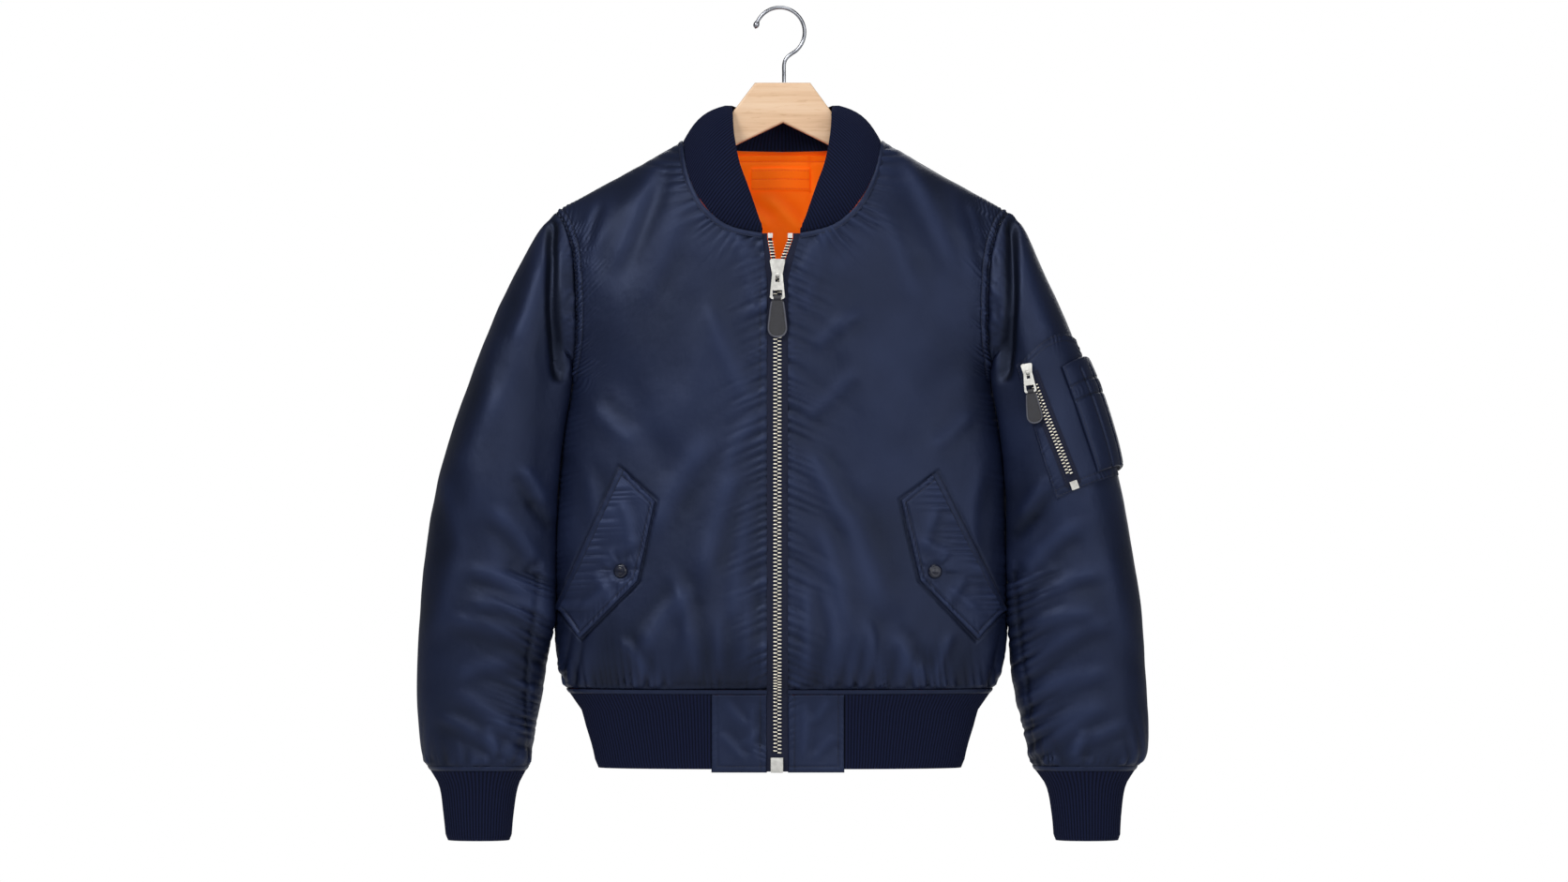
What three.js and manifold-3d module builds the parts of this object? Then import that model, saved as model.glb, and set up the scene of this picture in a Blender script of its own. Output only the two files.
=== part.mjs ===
// A zip-front bomber jacket hanging on a wooden hanger, in millimetres, +Z up.
// The front faces -Y and X runs to the viewer's right. The origin is the inside top of the hook.
// Heights in the tables are given as "down", the distance below the origin.
// Each cloth piece is a thin wall. Its outer points come from the garment's sizes, and its inner
// points lie one cloth thickness further in.
import * as THREE from 'three';
import Module from 'manifold-3d';
import { mergeVertices } from 'three/addons/utils/BufferGeometryUtils.js';

// Thicknesses and gaps
const CLOTH = 3.0;
const RIB_WALL = 3.0;
const SEAM_GAP = 0.3;
const HALF_GAP = SEAM_GAP / 2;

// Body of the garment: half width, sideways shift of its middle, and depth of front and back
const BODY_POWER = 2.5;
const BODY = [
  { down: 140, half: 247, shift: 0, front: 56, back: 47 },
  { down: 216, half: 247, shift: 0, front: 62, back: 56 },
  { down: 300, half: 244, shift: 0, front: 69, back: 64 },
  { down: 350, half: 236, shift: 0, front: 72, back: 68 },
  { down: 392, half: 226, shift: 0, front: 74, back: 71 },
  { down: 440, half: 232, shift: 0, front: 76, back: 74 },
  { down: 480, half: 237.5, shift: 0, front: 78, back: 76 },
  { down: 550, half: 241, shift: -1, front: 81, back: 78 },
  { down: 630, half: 242, shift: -1, front: 84, back: 80 },
  { down: 675, half: 240, shift: -1.5, front: 86, back: 81 },
  { down: 700, half: 236, shift: -2, front: 81, back: 77 },
  { down: 714, half: 231, shift: -2.5, front: 73, back: 69 },
  { down: 724, half: 227, shift: -2.5, front: 64, back: 60 },
  { down: 736, half: 218, shift: -2.5, front: 59, back: 55 },
  { down: 746, half: 210.5, shift: -2.5, front: 57, back: 53 },
  { down: 762, half: 206, shift: -2.5, front: 55.5, back: 52 },
  { down: 785, half: 199, shift: -2.5, front: 54, back: 50 },
  { down: 803, half: 195, shift: -2.5, front: 54, back: 50 },
  { down: 813, half: 193, shift: -2.5, front: 53.5, back: 49.5 },
];

// Shoulder seam, from the neck to the sleeve head, and how fast the cloth rounds away from it
const NECK_POINT = { x: 105, down: 141 };
const SHOULDER_POINT = { x: 241.5, down: 216 };
const SHOULDER_ROUND = 100;

// Outward directions where the cloth turns over the shoulder and beside the neck
const SHOULDER_LEAN = { side: 0.48, up: 0.877 };
const NECK_LEAN = { side: 0.55, up: 0.84 };

// Armhole seam, seen from the front, and how many steps it has from shoulder to underarm
const ARMHOLE = [
  { x: 241.5, down: 216 },
  { x: 232, down: 230 },
  { x: 223.5, down: 258 },
  { x: 220, down: 290 },
  { x: 219, down: 330 },
  { x: 221, down: 360 },
  { x: 224, down: 380 },
  { x: 226, down: 392 },
];
const ARMHOLE_STEPS = 8;

// Collar seam on one front, from the neck point to the zip, and its height at the middle back
const NECKLINE = [
  { x: 105, down: 141 },
  { x: 99, down: 174 },
  { x: 86, down: 203 },
  { x: 70, down: 221.5 },
  { x: 51, down: 233.5 },
  { x: 20, down: 240 },
];
const NECK_STEPS = 6;
const BACK_NECK_DOWN = 150;

// Free edge of the collar, from beside the neck to the zip, then from beside the neck to the back
const COLLAR_FRONT_EDGE = [
  { x: 54, y: 4, down: 101.5 },
  { x: 52.5, y: -15, down: 110 },
  { x: 50.5, y: -31, down: 134 },
  { x: 45, y: -46, down: 163 },
  { x: 36.5, y: -57, down: 187 },
  { x: 28.5, y: -63, down: 210 },
  { x: 21.5, y: -66, down: 231 },
];
const COLLAR_BACK_EDGE = [
  { x: 54, y: 4, down: 101.5 },
  { x: 47, y: 21, down: 103 },
  { x: 27, y: 33, down: 105 },
  { x: 0, y: 38, down: 106 },
];
const COLLAR_BULGE = 9;
const COLLAR_BACK_STEPS = 8;
const COLLAR_RIBS_PER_STEP = 4;
const COLLAR_ROWS = 4;
const COLLAR_FULL_WIDTH = 50;
const BINDING = { from: 0.5, width: 6, lift: 1.4, thick: 1.0 };

// Height of a rib's ridge over the plain wall
const RIB_RAISE = 1.0;

// Front edges beside the zip, on the viewer's left and right
const ZIP_X = -5;
const FRONT_EDGE = {
  left: { top: 21, below: 16.2 },
  right: { top: 19, below: 6.2 },
};
const UNDERARM_DOWN = 392;
const HEM_DOWN = 724;
const SIDE_ROWS = [438, 490, 545, 600, 648, 684, 707, HEM_DOWN];
const OPEN_DOWN = 290;
const CENTRE_ROWS = [OPEN_DOWN, UNDERARM_DOWN];
const FRONT_COLUMNS = 16;
const BACK_COLUMNS = 32;

// How the back's rows spread towards the hem, and over how many of them the neck's dip dies out
const BACK_ROWS = { spread: 1.15, dip: 7, dipPower: 1.5 };

// Gathers above the hem and the cuffs: how far up they reach, how far they stand out, and how fast
// their unevenness changes from one to the next
const HEM_GATHER = { reach: 44, foot: 10, raise: 3.2, change: 2.3 };
const CUFF_GATHER = { rows: 3, raise: 2.4, atSeam: 0.3, change: 1.9 };
const GATHER_EVEN = 0.7;
const GATHER_UNEVEN = 0.3;

// Largest folds on the body, as soft ridges (height above 0) or troughs (below 0) between two points,
// the share of its length at which each fades, and how soon they reach full height from the sides
const FOLD_FADE = 0.45;
const FOLD_RISE = 1.4;
const BODY_FOLDS = [
  { side: -1, x1: 118, down1: 160, x2: 176, down2: 300, width: 15, height: -3.5 },
  { side: -1, x1: 148, down1: 178, x2: 205, down2: 262, width: 12, height: 3.0 },
  { side: -1, x1: 60, down1: 300, x2: 112, down2: 470, width: 20, height: 3.0 },
  { side: -1, x1: 175, down1: 380, x2: 120, down2: 505, width: 18, height: -3.0 },
  { side: -1, x1: 70, down1: 560, x2: 84, down2: 690, width: 15, height: 3.5 },
  { side: -1, x1: 112, down1: 640, x2: 120, down2: 706, width: 13, height: -3.5 },
  { side: 1, x1: 120, down1: 158, x2: 186, down2: 285, width: 15, height: -3.5 },
  { side: 1, x1: 152, down1: 180, x2: 204, down2: 258, width: 12, height: 3.0 },
  { side: 1, x1: 55, down1: 290, x2: 100, down2: 455, width: 20, height: 3.0 },
  { side: 1, x1: 178, down1: 372, x2: 128, down2: 500, width: 18, height: -3.0 },
  { side: 1, x1: 66, down1: 575, x2: 88, down2: 694, width: 15, height: 3.5 },
  { side: 1, x1: 118, down1: 636, x2: 124, down2: 706, width: 13, height: -3.5 },
];
const BACK_FOLDS = [
  { side: -1, x1: 90, down1: 175, x2: 180, down2: 330, width: 18, height: -3.5 },
  { side: 1, x1: 96, down1: 172, x2: 172, down2: 318, width: 18, height: -3.5 },
  { side: -1, x1: 60, down1: 420, x2: 40, down2: 640, width: 22, height: 3.0 },
  { side: 1, x1: 74, down1: 440, x2: 52, down2: 668, width: 22, height: 3.0 },
  { side: 1, x1: 150, down1: 520, x2: 140, down2: 700, width: 18, height: -3.0 },
  { side: -1, x1: 156, down1: 540, x2: 138, down2: 700, width: 18, height: -3.0 },
];

// Sleeve sections from the armhole to the cuff: outer and inner edge as seen from the front, for
// the viewer's left and right, and half the depth
const SLEEVE_POWER = 2.2;
const SLEEVE_SEAM_ROWS = 2.5;
const SLEEVE_FOLD_ROWS = 1.5;
const SLEEVE = [
  { outLeft: 241.5, outRight: 241.5, outDown: 216, inLeft: 226, inRight: 226, inDown: 392, deep: 40 },
  { outLeft: 255.5, outRight: 256, outDown: 231, inLeft: 231, inRight: 231, inDown: 382, deep: 44 },
  { outLeft: 269, outRight: 267, outDown: 252, inLeft: 239, inRight: 238, inDown: 381, deep: 49 },
  { outLeft: 286, outRight: 281, outDown: 284, inLeft: 244, inRight: 242.5, inDown: 396, deep: 54 },
  { outLeft: 303, outRight: 298, outDown: 320, inLeft: 245, inRight: 243.5, inDown: 422, deep: 58 },
  { outLeft: 321, outRight: 315, outDown: 363, inLeft: 244, inRight: 243, inDown: 450, deep: 60 },
  { outLeft: 336, outRight: 329, outDown: 402, inLeft: 243.5, inRight: 243, inDown: 480, deep: 62 },
  { outLeft: 350, outRight: 342, outDown: 442, inLeft: 244, inRight: 243.5, inDown: 512, deep: 62 },
  { outLeft: 362, outRight: 354, outDown: 482, inLeft: 245.5, inRight: 244, inDown: 545, deep: 61 },
  { outLeft: 373.5, outRight: 365, outDown: 532, inLeft: 246.5, inRight: 244.5, inDown: 582, deep: 60 },
  { outLeft: 380.5, outRight: 374, outDown: 580, inLeft: 247, inRight: 244.5, inDown: 618, deep: 58 },
  { outLeft: 385.5, outRight: 382, outDown: 632, inLeft: 248, inRight: 244.5, inDown: 655, deep: 56 },
  { outLeft: 388, outRight: 386.5, outDown: 685, inLeft: 251, inRight: 243.5, inDown: 695, deep: 53 },
  { outLeft: 389, outRight: 389, outDown: 730, inLeft: 256, inRight: 248, inDown: 732, deep: 50 },
  { outLeft: 387.5, outRight: 390, outDown: 760, inLeft: 262, inRight: 255, inDown: 761, deep: 47 },
  { outLeft: 383.5, outRight: 388, outDown: 790, inLeft: 266.5, inRight: 261.5, inDown: 790, deep: 44 },
  { outLeft: 380, outRight: 381, outDown: 806, inLeft: 268.5, inRight: 265.5, inDown: 806, deep: 42 },
];

// Cuff sections, first the nylon band and then the knit rib
const CUFF_BAND = [
  { outLeft: 378, outRight: 379, inLeft: 270, inRight: 267, down: 806.3, deep: 41 },
  { outLeft: 375, outRight: 376, inLeft: 273, inRight: 270, down: 811.5, deep: 39 },
];
const CUFF = [
  { outLeft: 374, outRight: 375, inLeft: 274, inRight: 271, down: 811.8, deep: 38 },
  { outLeft: 365, outRight: 365.5, inLeft: 282, inRight: 282, down: 828, deep: 33 },
  { outLeft: 360.5, outRight: 361, inLeft: 287, inRight: 288, down: 858, deep: 30.5 },
  { outLeft: 357.5, outRight: 359.5, inLeft: 289.5, inRight: 290.5, down: 886, deep: 29.5 },
];
const CUFF_RIBS = 34;
const CUFF_INNER_STEPS = 17;
const CUFF_BAND_STEPS = 16;

// Soft folds across the sleeves, by angle round the sleeve and by row of the SLEEVE table
const SLEEVE_FOLDS = [
  { angle: 1.1, row: 3.5, width: 0.35, length: 1.6, height: -3.5 },
  { angle: 1.9, row: 5.5, width: 0.4, length: 1.2, height: -4 },
  { angle: 1.2, row: 8, width: 0.45, length: 1.0, height: 3 },
  { angle: 2.2, row: 9.2, width: 0.45, length: 0.7, height: -4 },
  { angle: 1.8, row: 11, width: 0.5, length: 0.7, height: 3 },
  { angle: 2.3, row: 12.6, width: 0.4, length: 0.8, height: -3 },
  { angle: 4.4, row: 4.5, width: 0.45, length: 1.4, height: -4 },
  { angle: 4.9, row: 8.5, width: 0.45, length: 1.1, height: 3 },
  { angle: 4.2, row: 10.4, width: 0.45, length: 0.8, height: -4 },
  { angle: 5.0, row: 12.4, width: 0.45, length: 0.9, height: -3 },
];

// Hem: nylon band, knit rib from tab to tab, and the two tabs beside the zip
const HEM_BAND = { top: 724.3, bottom: 729, proud: 0.8 };
const HEM_RIB = { top: 729.3, bottom: 808.5, rows: [729.3, 739, 762, 808.5] };
const HEM_RIBS = 104;
const HEM_BAND_STEPS = 44;
const HEM_RIB_OUT = 0.6;
const TAB_ROWS = [729.3, 739, 762, 812];
const TAB_COLUMNS = 3;
const TAB_PROUD = 0.6;
const HEM_TABS = {
  left: { inner: -16.2, outer: -75 },
  right: { inner: 6.2, outer: 66 },
};

// Lining inside the back, with its bare patch
const LINING = {
  top: 153, bottom: 430, half: 150, thick: 1.0, gap: 2.3, across: 8, along: 10, bunch: 1.4, belowShoulder: 34,
};
const PATCH = { left: -34, right: 30, top: 166, bottom: 191, thick: 0.8, gap: 1.0 };

// Main zip
const CHAIN = { half: 4.15, proud: 0.7, thick: 2.6, bottom: 795.5 };
const OPEN_CHAIN = { half: 2, tapeGap: 0.7, apart: 2.6, atStop: 0.5, belowSlider: 2 };
const TAPE = { gap: 0.3, deep: 0.9, thick: 1.0, bottom: 811 };
const STOP = { size: [5, 4.5, 5], down: 243, sunk: 0.5 };
const STOP_X = { left: -12.5, right: 8.5 };
const ZIP_BOX = { wide: 13, tall: 16, thick: 5.5, down: 804, aside: -0.5, sunk: 0.4 };
const SLIDER = { topWide: 16, bottomWide: 10.5, tall: 20, thick: 3.6, down: 278, corner: 2.5, clear: 0.7 };

// Metal tab and leather pull: lengths hang from the hinge axis
const PULL = {
  archInner: 1.6, archOuter: 3.0, archWide: 3.0, axisOut: 2.6,
  tabTop: 5.5, tabBottom: 8, tabLong: 26, tabThick: 1.4, tabCorner: 2, bar: 1.0,
  eyeHalf: 2.2, eyeLong: 8, windowHalf: 5, windowLong: 7, barBottom: 2.5,
  loopInner: 1.9, loopOuter: 3.1, loopHalf: 4,
  leatherTop: 6, leatherWide: 9.5, leatherLong: 41, leatherThick: 2.6, leatherStart: 0.55, roundFrom: 0.78,
};
const MAIN_PULL = { x: ZIP_X, down: 284.5, scale: 1.0, lean: 0 };

// Front pockets: corners of each flap in the order welt top, flap top, flap corner, tip, welt bottom
const FLAP = { lift: 1.3, thick: 2.4, along: 8, across: 4 };
const WELT = { width: 6.5, lift: 1.2, thick: 1.6 };
const FLAPS = {
  left: {
    weltTop: [-166, 492], flapTop: [-133.4, 524], corner: [-152, 609], tip: [-213, 670],
    weltBottom: [-234, 641], snap: [-169.5, 598],
  },
  right: {
    weltTop: [158, 497], flapTop: [125, 523], corner: [145, 608], tip: [206, 671],
    weltBottom: [231, 642.6], snap: [160.5, 598.4],
  },
};
const SNAP = { radius: 7.75, thick: 3.4, lift: 0.4, sides: 14 };

// Sleeve pocket on the viewer's right, as seen from the front, and the pen pocket on it
const POCKET = {
  topLeft: [249, 380], bottomLeft: [290, 522], rightAngle: 0.28, topRightDown: 352, bottomRightDown: 497,
  lift: 1.8, thick: 1.8, along: 8, across: 6,
};
const PEN = {
  topLeft: [294, 383], bottomLeft: [331, 494], rightAngle: -0.3, topRightDown: 380, bottomRightDown: 493,
  lift: 4.2, thick: 3.0, dome: 4.5, domeAcross: 0.6, domeAlong: 0.5, edge: 0.04, along: 8, across: 6,
};
const SLEEVE_ZIP = {
  top: [262, 384], bottom: [308, 507], chainHalf: 3.4, tapeHalf: 8, lift: 4.5, tapeThick: 0.8,
  chainThick: 2.0, chainFrom: 0.12, chainTo: 0.92, tapeFrom: 0.03, along: 8,
};
const SLEEVE_SLIDER = { topWide: 12, bottomWide: 9, tall: 13, thick: 3.0, at: 0.03, corner: 2 };
const SLEEVE_BOX = { wide: 8, tall: 9, thick: 3.6, at: 1.0, clear: 0.4, lean: -0.35 };
const SLEEVE_PULL = { scale: 0.82, lean: 0.16, rise: 3, clear: 1.4 };

// Hanger: flat wooden shape, and the wire hook
const HANGER_THICK = 13;
const HANGER_TOP = [
  [-29, 78.5], [30, 78.5], [53, 110], [77, 132], [106, 152.5], [220, 213], [224, 218], [221, 224],
];
const HANGER_BOTTOM = [
  [214, 225], [48, 144], [1, 121], [-47, 144], [-214, 225],
];
const HANGER_LEFT = [
  [-221, 224], [-224, 218], [-220, 213], [-106, 152.5], [-77, 132], [-53, 110],
];
const HANGER_BEVEL = 2;
const HOOK = {
  wire: 2.0, loop: 26.3, centreX: -2.4, centreDown: 24.3, from: 172, to: -50, step: 18.5, rings: 32, sides: 8,
};
const HOOK_SHAFT = [[5.5, 51], [2.2, 58], [2, 68], [2, 78]];

// Radius of the hook's first rings, which make the ball at its free tip, and the share of its length
// from one to the next
const HOOK_BALL = [0.4, 0.9, 1.8, 2.4, 2.9, 3.2, 3.3, 3.1, 2.7, 2.2];
const HOOK_BALL_STEP = 0.0032;

// Colours taken by eye from the photograph
const NYLON = { color: 0x2a3150, roughness: 0.42, metalness: 0 };
const KNIT = { color: 0x0f1630, roughness: 0.9, metalness: 0 };
const ORANGE = { color: 0xff6a10, roughness: 0.5, metalness: 0 };
const METAL = { color: 0xc9c6bb, roughness: 0.3, metalness: 1 };
const LEATHER = { color: 0x24242c, roughness: 0.55, metalness: 0 };
const SNAP_METAL = { color: 0x1b2138, roughness: 0.3, metalness: 0.3 };
const WOOD = { color: 0xe9c79b, roughness: 0.5, metalness: 0 };
const WIRE = { color: 0xb9babd, roughness: 0.25, metalness: 1 };
const TAPE_CLOTH = { color: 0x1c2440, roughness: 0.8, metalness: 0 };

const wasm = await Module();
wasm.setup();

const jacket = new THREE.Group();

function addPiece(name, geometry, finish) {
  const mesh = new THREE.Mesh(geometry, new THREE.MeshStandardMaterial(finish));
  mesh.name = name;
  jacket.add(mesh);
  return mesh;
}

const vector = (x, y, z) => new THREE.Vector3(x, y, z);
const mix = (a, b, t) => a + (b - a) * t;
const clamp = (value, low, high) => Math.min(Math.max(value, low), high);
const shoulderOut = (side) => vector(side * SHOULDER_LEAN.side, 0, SHOULDER_LEAN.up);
const neckOut = (side) => vector(side * NECK_LEAN.side, 0, NECK_LEAN.up);
const gatherShare = (place) => GATHER_EVEN + GATHER_UNEVEN * Math.sin(place);

// A smooth curve through a table's rows: at names the column looked up, value the one returned
function through(rows, at, value) {
  const xs = rows.map((row) => row[at]);
  const ys = rows.map((row) => row[value]);
  const last = xs.length - 1;
  const slopes = xs.map((x, i) => {
    const before = Math.max(i - 1, 0);
    const after = Math.min(i + 1, last);
    return (ys[after] - ys[before]) / (xs[after] - xs[before]);
  });
  return (x) => {
    const wanted = clamp(x, xs[0], xs[last]);
    let i = 0;
    while (i < last - 1 && wanted > xs[i + 1]) i += 1;
    const span = xs[i + 1] - xs[i];
    const t = (wanted - xs[i]) / span;
    const rise = t * t * (3 - 2 * t);
    const start = t * (1 - t) * (1 - t);
    const end = t * t * (t - 1);
    return mix(ys[i], ys[i + 1], rise) + span * (slopes[i] * start + slopes[i + 1] * end);
  };
}

const halfAt = through(BODY, 'down', 'half');
const shiftAt = through(BODY, 'down', 'shift');
const frontAt = through(BODY, 'down', 'front');
const backAt = through(BODY, 'down', 'back');
const armholeX = through(ARMHOLE, 'down', 'x');

// Height of the shoulder line, carried on straight over the neck
function shoulderDown(x) {
  const slope = (SHOULDER_POINT.down - NECK_POINT.down) / (SHOULDER_POINT.x - NECK_POINT.x);
  return NECK_POINT.down + (Math.abs(x) - NECK_POINT.x) * slope;
}

// Sum of the folds at a point: each is a Gaussian across its line, fading at both ends
function foldHeight(folds, x, down) {
  let sum = 0;
  for (const fold of folds) {
    const alongX = fold.x2 - fold.x1;
    const alongDown = fold.down2 - fold.down1;
    const length = Math.hypot(alongX, alongDown);
    const dx = x * fold.side - fold.x1;
    const dd = down - fold.down1;
    const t = (dx * alongX + dd * alongDown) / (length * length);
    const off = (dx * alongDown - dd * alongX) / length;
    const along = Math.exp(-(((t - 0.5) / FOLD_FADE) ** 4));
    sum += fold.height * along * Math.exp(-((off / fold.width) ** 2));
  }
  return sum;
}

// Depth of the body's outer face: a rounded box section, closed in along the shoulder by a
// quarter round, plus the folds
function bodyDepth(x, down, facing) {
  const half = halfAt(down);
  const side = Math.min(Math.abs(x - shiftAt(down)) / half, 1);
  const section = (1 - side ** BODY_POWER) ** (1 / BODY_POWER);
  const t = clamp((down - shoulderDown(x)) / SHOULDER_ROUND, 0, 1);
  const shoulder = Math.sqrt(1 - (1 - t) * (1 - t));
  const full = facing < 0 ? frontAt(down) : backAt(down);
  const folds = foldHeight(facing < 0 ? BODY_FOLDS : BACK_FOLDS, x, down);
  const share = section * shoulder;
  return facing * (full * share + folds * Math.min(1, share * FOLD_RISE));
}

const bodyPoint = (x, down, facing) => vector(x, bodyDepth(x, down, facing), -down);

// Outward direction of the body's face, from two short steps along it
function bodyNormal(x, down, facing) {
  const step = 1;
  const across = bodyPoint(x + step, down, facing).sub(bodyPoint(x - step, down, facing));
  const fall = bodyPoint(x, down + step, facing).sub(bodyPoint(x, down - step, facing));
  const normal = fall.cross(across).normalize();
  return normal.y * facing < 0 ? normal.negate() : normal;
}

// Outward directions of a grid of points, from its neighbours
function gridNormals(grid, closed) {
  const rows = grid.length;
  const cols = grid[0].length;
  return grid.map((row, r) => row.map((point, c) => {
    const left = closed ? row[(c + cols - 1) % cols] : row[Math.max(c - 1, 0)];
    const right = closed ? row[(c + 1) % cols] : row[Math.min(c + 1, cols - 1)];
    const above = grid[Math.max(r - 1, 0)][c];
    const below = grid[Math.min(r + 1, rows - 1)][c];
    return right.clone().sub(left).cross(below.clone().sub(above)).normalize();
  }));
}

// Closes an outer and an inner grid into one wall. The outer grid may have a whole number of
// columns for each inner one; the rims join them as fans.
function wallGeometry(outer, inner, closed) {
  const rows = outer.length;
  const outCols = outer[0].length;
  const inCols = inner[0].length;
  const outSteps = closed ? outCols : outCols - 1;
  const inSteps = closed ? inCols : inCols - 1;
  const ratio = outSteps / inSteps;
  const positions = [...outer.flat(), ...inner.flat()].flatMap((p) => [p.x, p.y, p.z]);
  const outId = (r, c) => r * outCols + (c % outCols);
  const inId = (r, c) => rows * outCols + r * inCols + (c % inCols);
  const faces = [];
  const quad = (a, b, c, d) => faces.push(a, b, c, a, c, d);
  for (let r = 0; r < rows - 1; r += 1) {
    for (let c = 0; c < outSteps; c += 1) {
      quad(outId(r, c), outId(r, c + 1), outId(r + 1, c + 1), outId(r + 1, c));
    }
    for (let c = 0; c < inSteps; c += 1) {
      quad(inId(r, c), inId(r + 1, c), inId(r + 1, c + 1), inId(r, c + 1));
    }
    if (!closed) {
      quad(outId(r, 0), outId(r + 1, 0), inId(r + 1, 0), inId(r, 0));
      quad(outId(r, outSteps), inId(r, inSteps), inId(r + 1, inSteps), outId(r + 1, outSteps));
    }
  }
  for (let c = 0; c < inSteps; c += 1) {
    const first = c * ratio;
    const middle = first + Math.ceil(ratio / 2);
    for (let k = first; k < first + ratio; k += 1) {
      const foot = k < middle ? c : c + 1;
      faces.push(outId(0, k + 1), outId(0, k), inId(0, foot));
      faces.push(outId(rows - 1, k), outId(rows - 1, k + 1), inId(rows - 1, foot));
    }
    faces.push(inId(0, c), inId(0, c + 1), outId(0, middle));
    faces.push(inId(rows - 1, c + 1), inId(rows - 1, c), outId(rows - 1, middle));
  }
  return facingOut(positions, faces);
}

// Makes the geometry, turning every triangle round if the enclosed volume comes out negative
function facingOut(positions, faces) {
  let volume = 0;
  const corner = (i) => vector(positions[3 * i], positions[3 * i + 1], positions[3 * i + 2]);
  for (let i = 0; i < faces.length; i += 3) {
    volume += corner(faces[i]).dot(corner(faces[i + 1]).cross(corner(faces[i + 2])));
  }
  if (volume < 0) {
    for (let i = 0; i < faces.length; i += 3) {
      [faces[i + 1], faces[i + 2]] = [faces[i + 2], faces[i + 1]];
    }
  }
  const geometry = new THREE.BufferGeometry();
  geometry.setAttribute('position', new THREE.Float32BufferAttribute(positions, 3));
  geometry.setIndex(faces);
  return geometry;
}

// Inner points: each outer point moved in by the thickness against the given directions
const movedIn = (grid, normals, thick) => grid.map((row, r) => row.map(
  (point, c) => point.clone().addScaledVector(normals[r][c], -thick),
));

// Joins closed geometries into one solid
function joined(...geometries) {
  const solids = geometries.map((geometry) => {
    const plain = geometry.clone();
    plain.deleteAttribute('normal');
    plain.deleteAttribute('uv');
    const merged = mergeVertices(plain, 1e-4);
    const vertProperties = new Float32Array(merged.attributes.position.array);
    const triVerts = new Uint32Array(merged.index.array);
    return new wasm.Manifold(new wasm.Mesh({ numProp: 3, vertProperties, triVerts }));
  });
  const whole = solids.reduce((a, b) => a.add(b)).getMesh();
  const geometry = new THREE.BufferGeometry();
  geometry.setAttribute('position', new THREE.Float32BufferAttribute(whole.vertProperties, 3));
  geometry.setIndex([...whole.triVerts]);
  return geometry;
}

// One point of a seam: its place, its outward direction, and the direction across the seam. A rim
// is moved half a gap to its own side. Where front and back meet, the seam runs along Y.
function seamFrames(points, outward, towards) {
  return points.map((point, i) => {
    const before = points[Math.max(i - 1, 0)];
    const after = points[Math.min(i + 1, points.length - 1)];
    const along = after.clone().sub(before).normalize();
    if (point.y === 0) along.set(0, 1, 0);
    const out = outward[i].clone().addScaledVector(along, -outward[i].dot(along)).normalize();
    const across = along.clone().cross(out).normalize();
    if (across.dot(towards[i]) < 0) across.negate();
    return { point, out, across };
  });
}

// Armhole seam on one side (-1 viewer's left, 1 right) and one face (-1 front, 1 back)
function armholeSeam(side, facing) {
  const points = [];
  const outward = [];
  const towards = [];
  const overShoulder = shoulderOut(side);
  const overChest = vector(side * 0.1, facing, 0);
  const overSide = vector(side, 0, 0);
  for (let i = 0; i <= ARMHOLE_STEPS; i += 1) {
    const angle = (Math.PI * i) / ARMHOLE_STEPS;
    const down = mix(SHOULDER_POINT.down, UNDERARM_DOWN, (1 - Math.cos(angle)) / 2);
    const end = i === 0 || i === ARMHOLE_STEPS;
    const x = side * armholeX(down);
    points.push(end ? vector(x, 0, -down) : bodyPoint(x, down, facing));
    const start = angle < Math.PI / 2 ? overShoulder : overSide;
    outward.push(overChest.clone().multiplyScalar(Math.sin(angle))
      .addScaledVector(start, Math.abs(Math.cos(angle))).normalize());
    towards.push(i === ARMHOLE_STEPS ? vector(0, 0, 1) : vector(side, 0, 0));
  }
  return seamFrames(points, outward, towards);
}

// Collar seam on one front, from the neck point to the zip
function neckSeam(side) {
  const curve = new THREE.SplineCurve(NECKLINE.map((p) => new THREE.Vector2(p.x, p.down)));
  const top = FRONT_EDGE[side < 0 ? 'left' : 'right'].top;
  const spaced = curve.getSpacedPoints(NECK_STEPS);
  const overShoulder = neckOut(side);
  const overChest = vector(side * 0.12, -1, 0.12);
  const narrowed = top / NECKLINE.at(-1).x;
  const points = spaced.map((p, i) => {
    const x = side * mix(p.x, p.x * narrowed, i / NECK_STEPS);
    return i === 0 ? vector(x, 0, -p.y) : bodyPoint(x, p.y, -1);
  });
  const outward = spaced.map((p, i) => {
    const turn = (Math.PI / 2) * (i / NECK_STEPS) ** 0.4;
    return overShoulder.clone().multiplyScalar(Math.cos(turn))
      .addScaledVector(overChest, Math.sin(turn)).normalize();
  });
  const towards = spaced.map(() => vector(-side, 0, 0.8));
  return seamFrames(points, outward, towards);
}

// Collar seam at the back, from the neck point on the viewer's left to the one on the right
function backNeckSeam() {
  const points = [];
  const outward = [];
  const overBack = vector(0, 1, 0.18);
  for (let i = 0; i <= COLLAR_BACK_STEPS; i += 1) {
    const angle = mix(-Math.PI / 2, Math.PI / 2, i / COLLAR_BACK_STEPS);
    const x = NECK_POINT.x * Math.sin(angle);
    const down = mix(NECK_POINT.down, BACK_NECK_DOWN, Math.cos(angle));
    const end = i === 0 || i === COLLAR_BACK_STEPS;
    points.push(end ? vector(x, 0, -down) : bodyPoint(x, down, 1));
    const turn = (Math.PI / 2) * Math.cos(angle) ** 0.6;
    const over = vector(Math.sign(x) * NECK_LEAN.side, 0, NECK_LEAN.up);
    outward.push(over.multiplyScalar(Math.cos(turn))
      .addScaledVector(overBack, Math.sin(turn)).normalize());
  }
  return seamFrames(points, outward, points.map(() => vector(0, 0, 1)));
}

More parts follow.
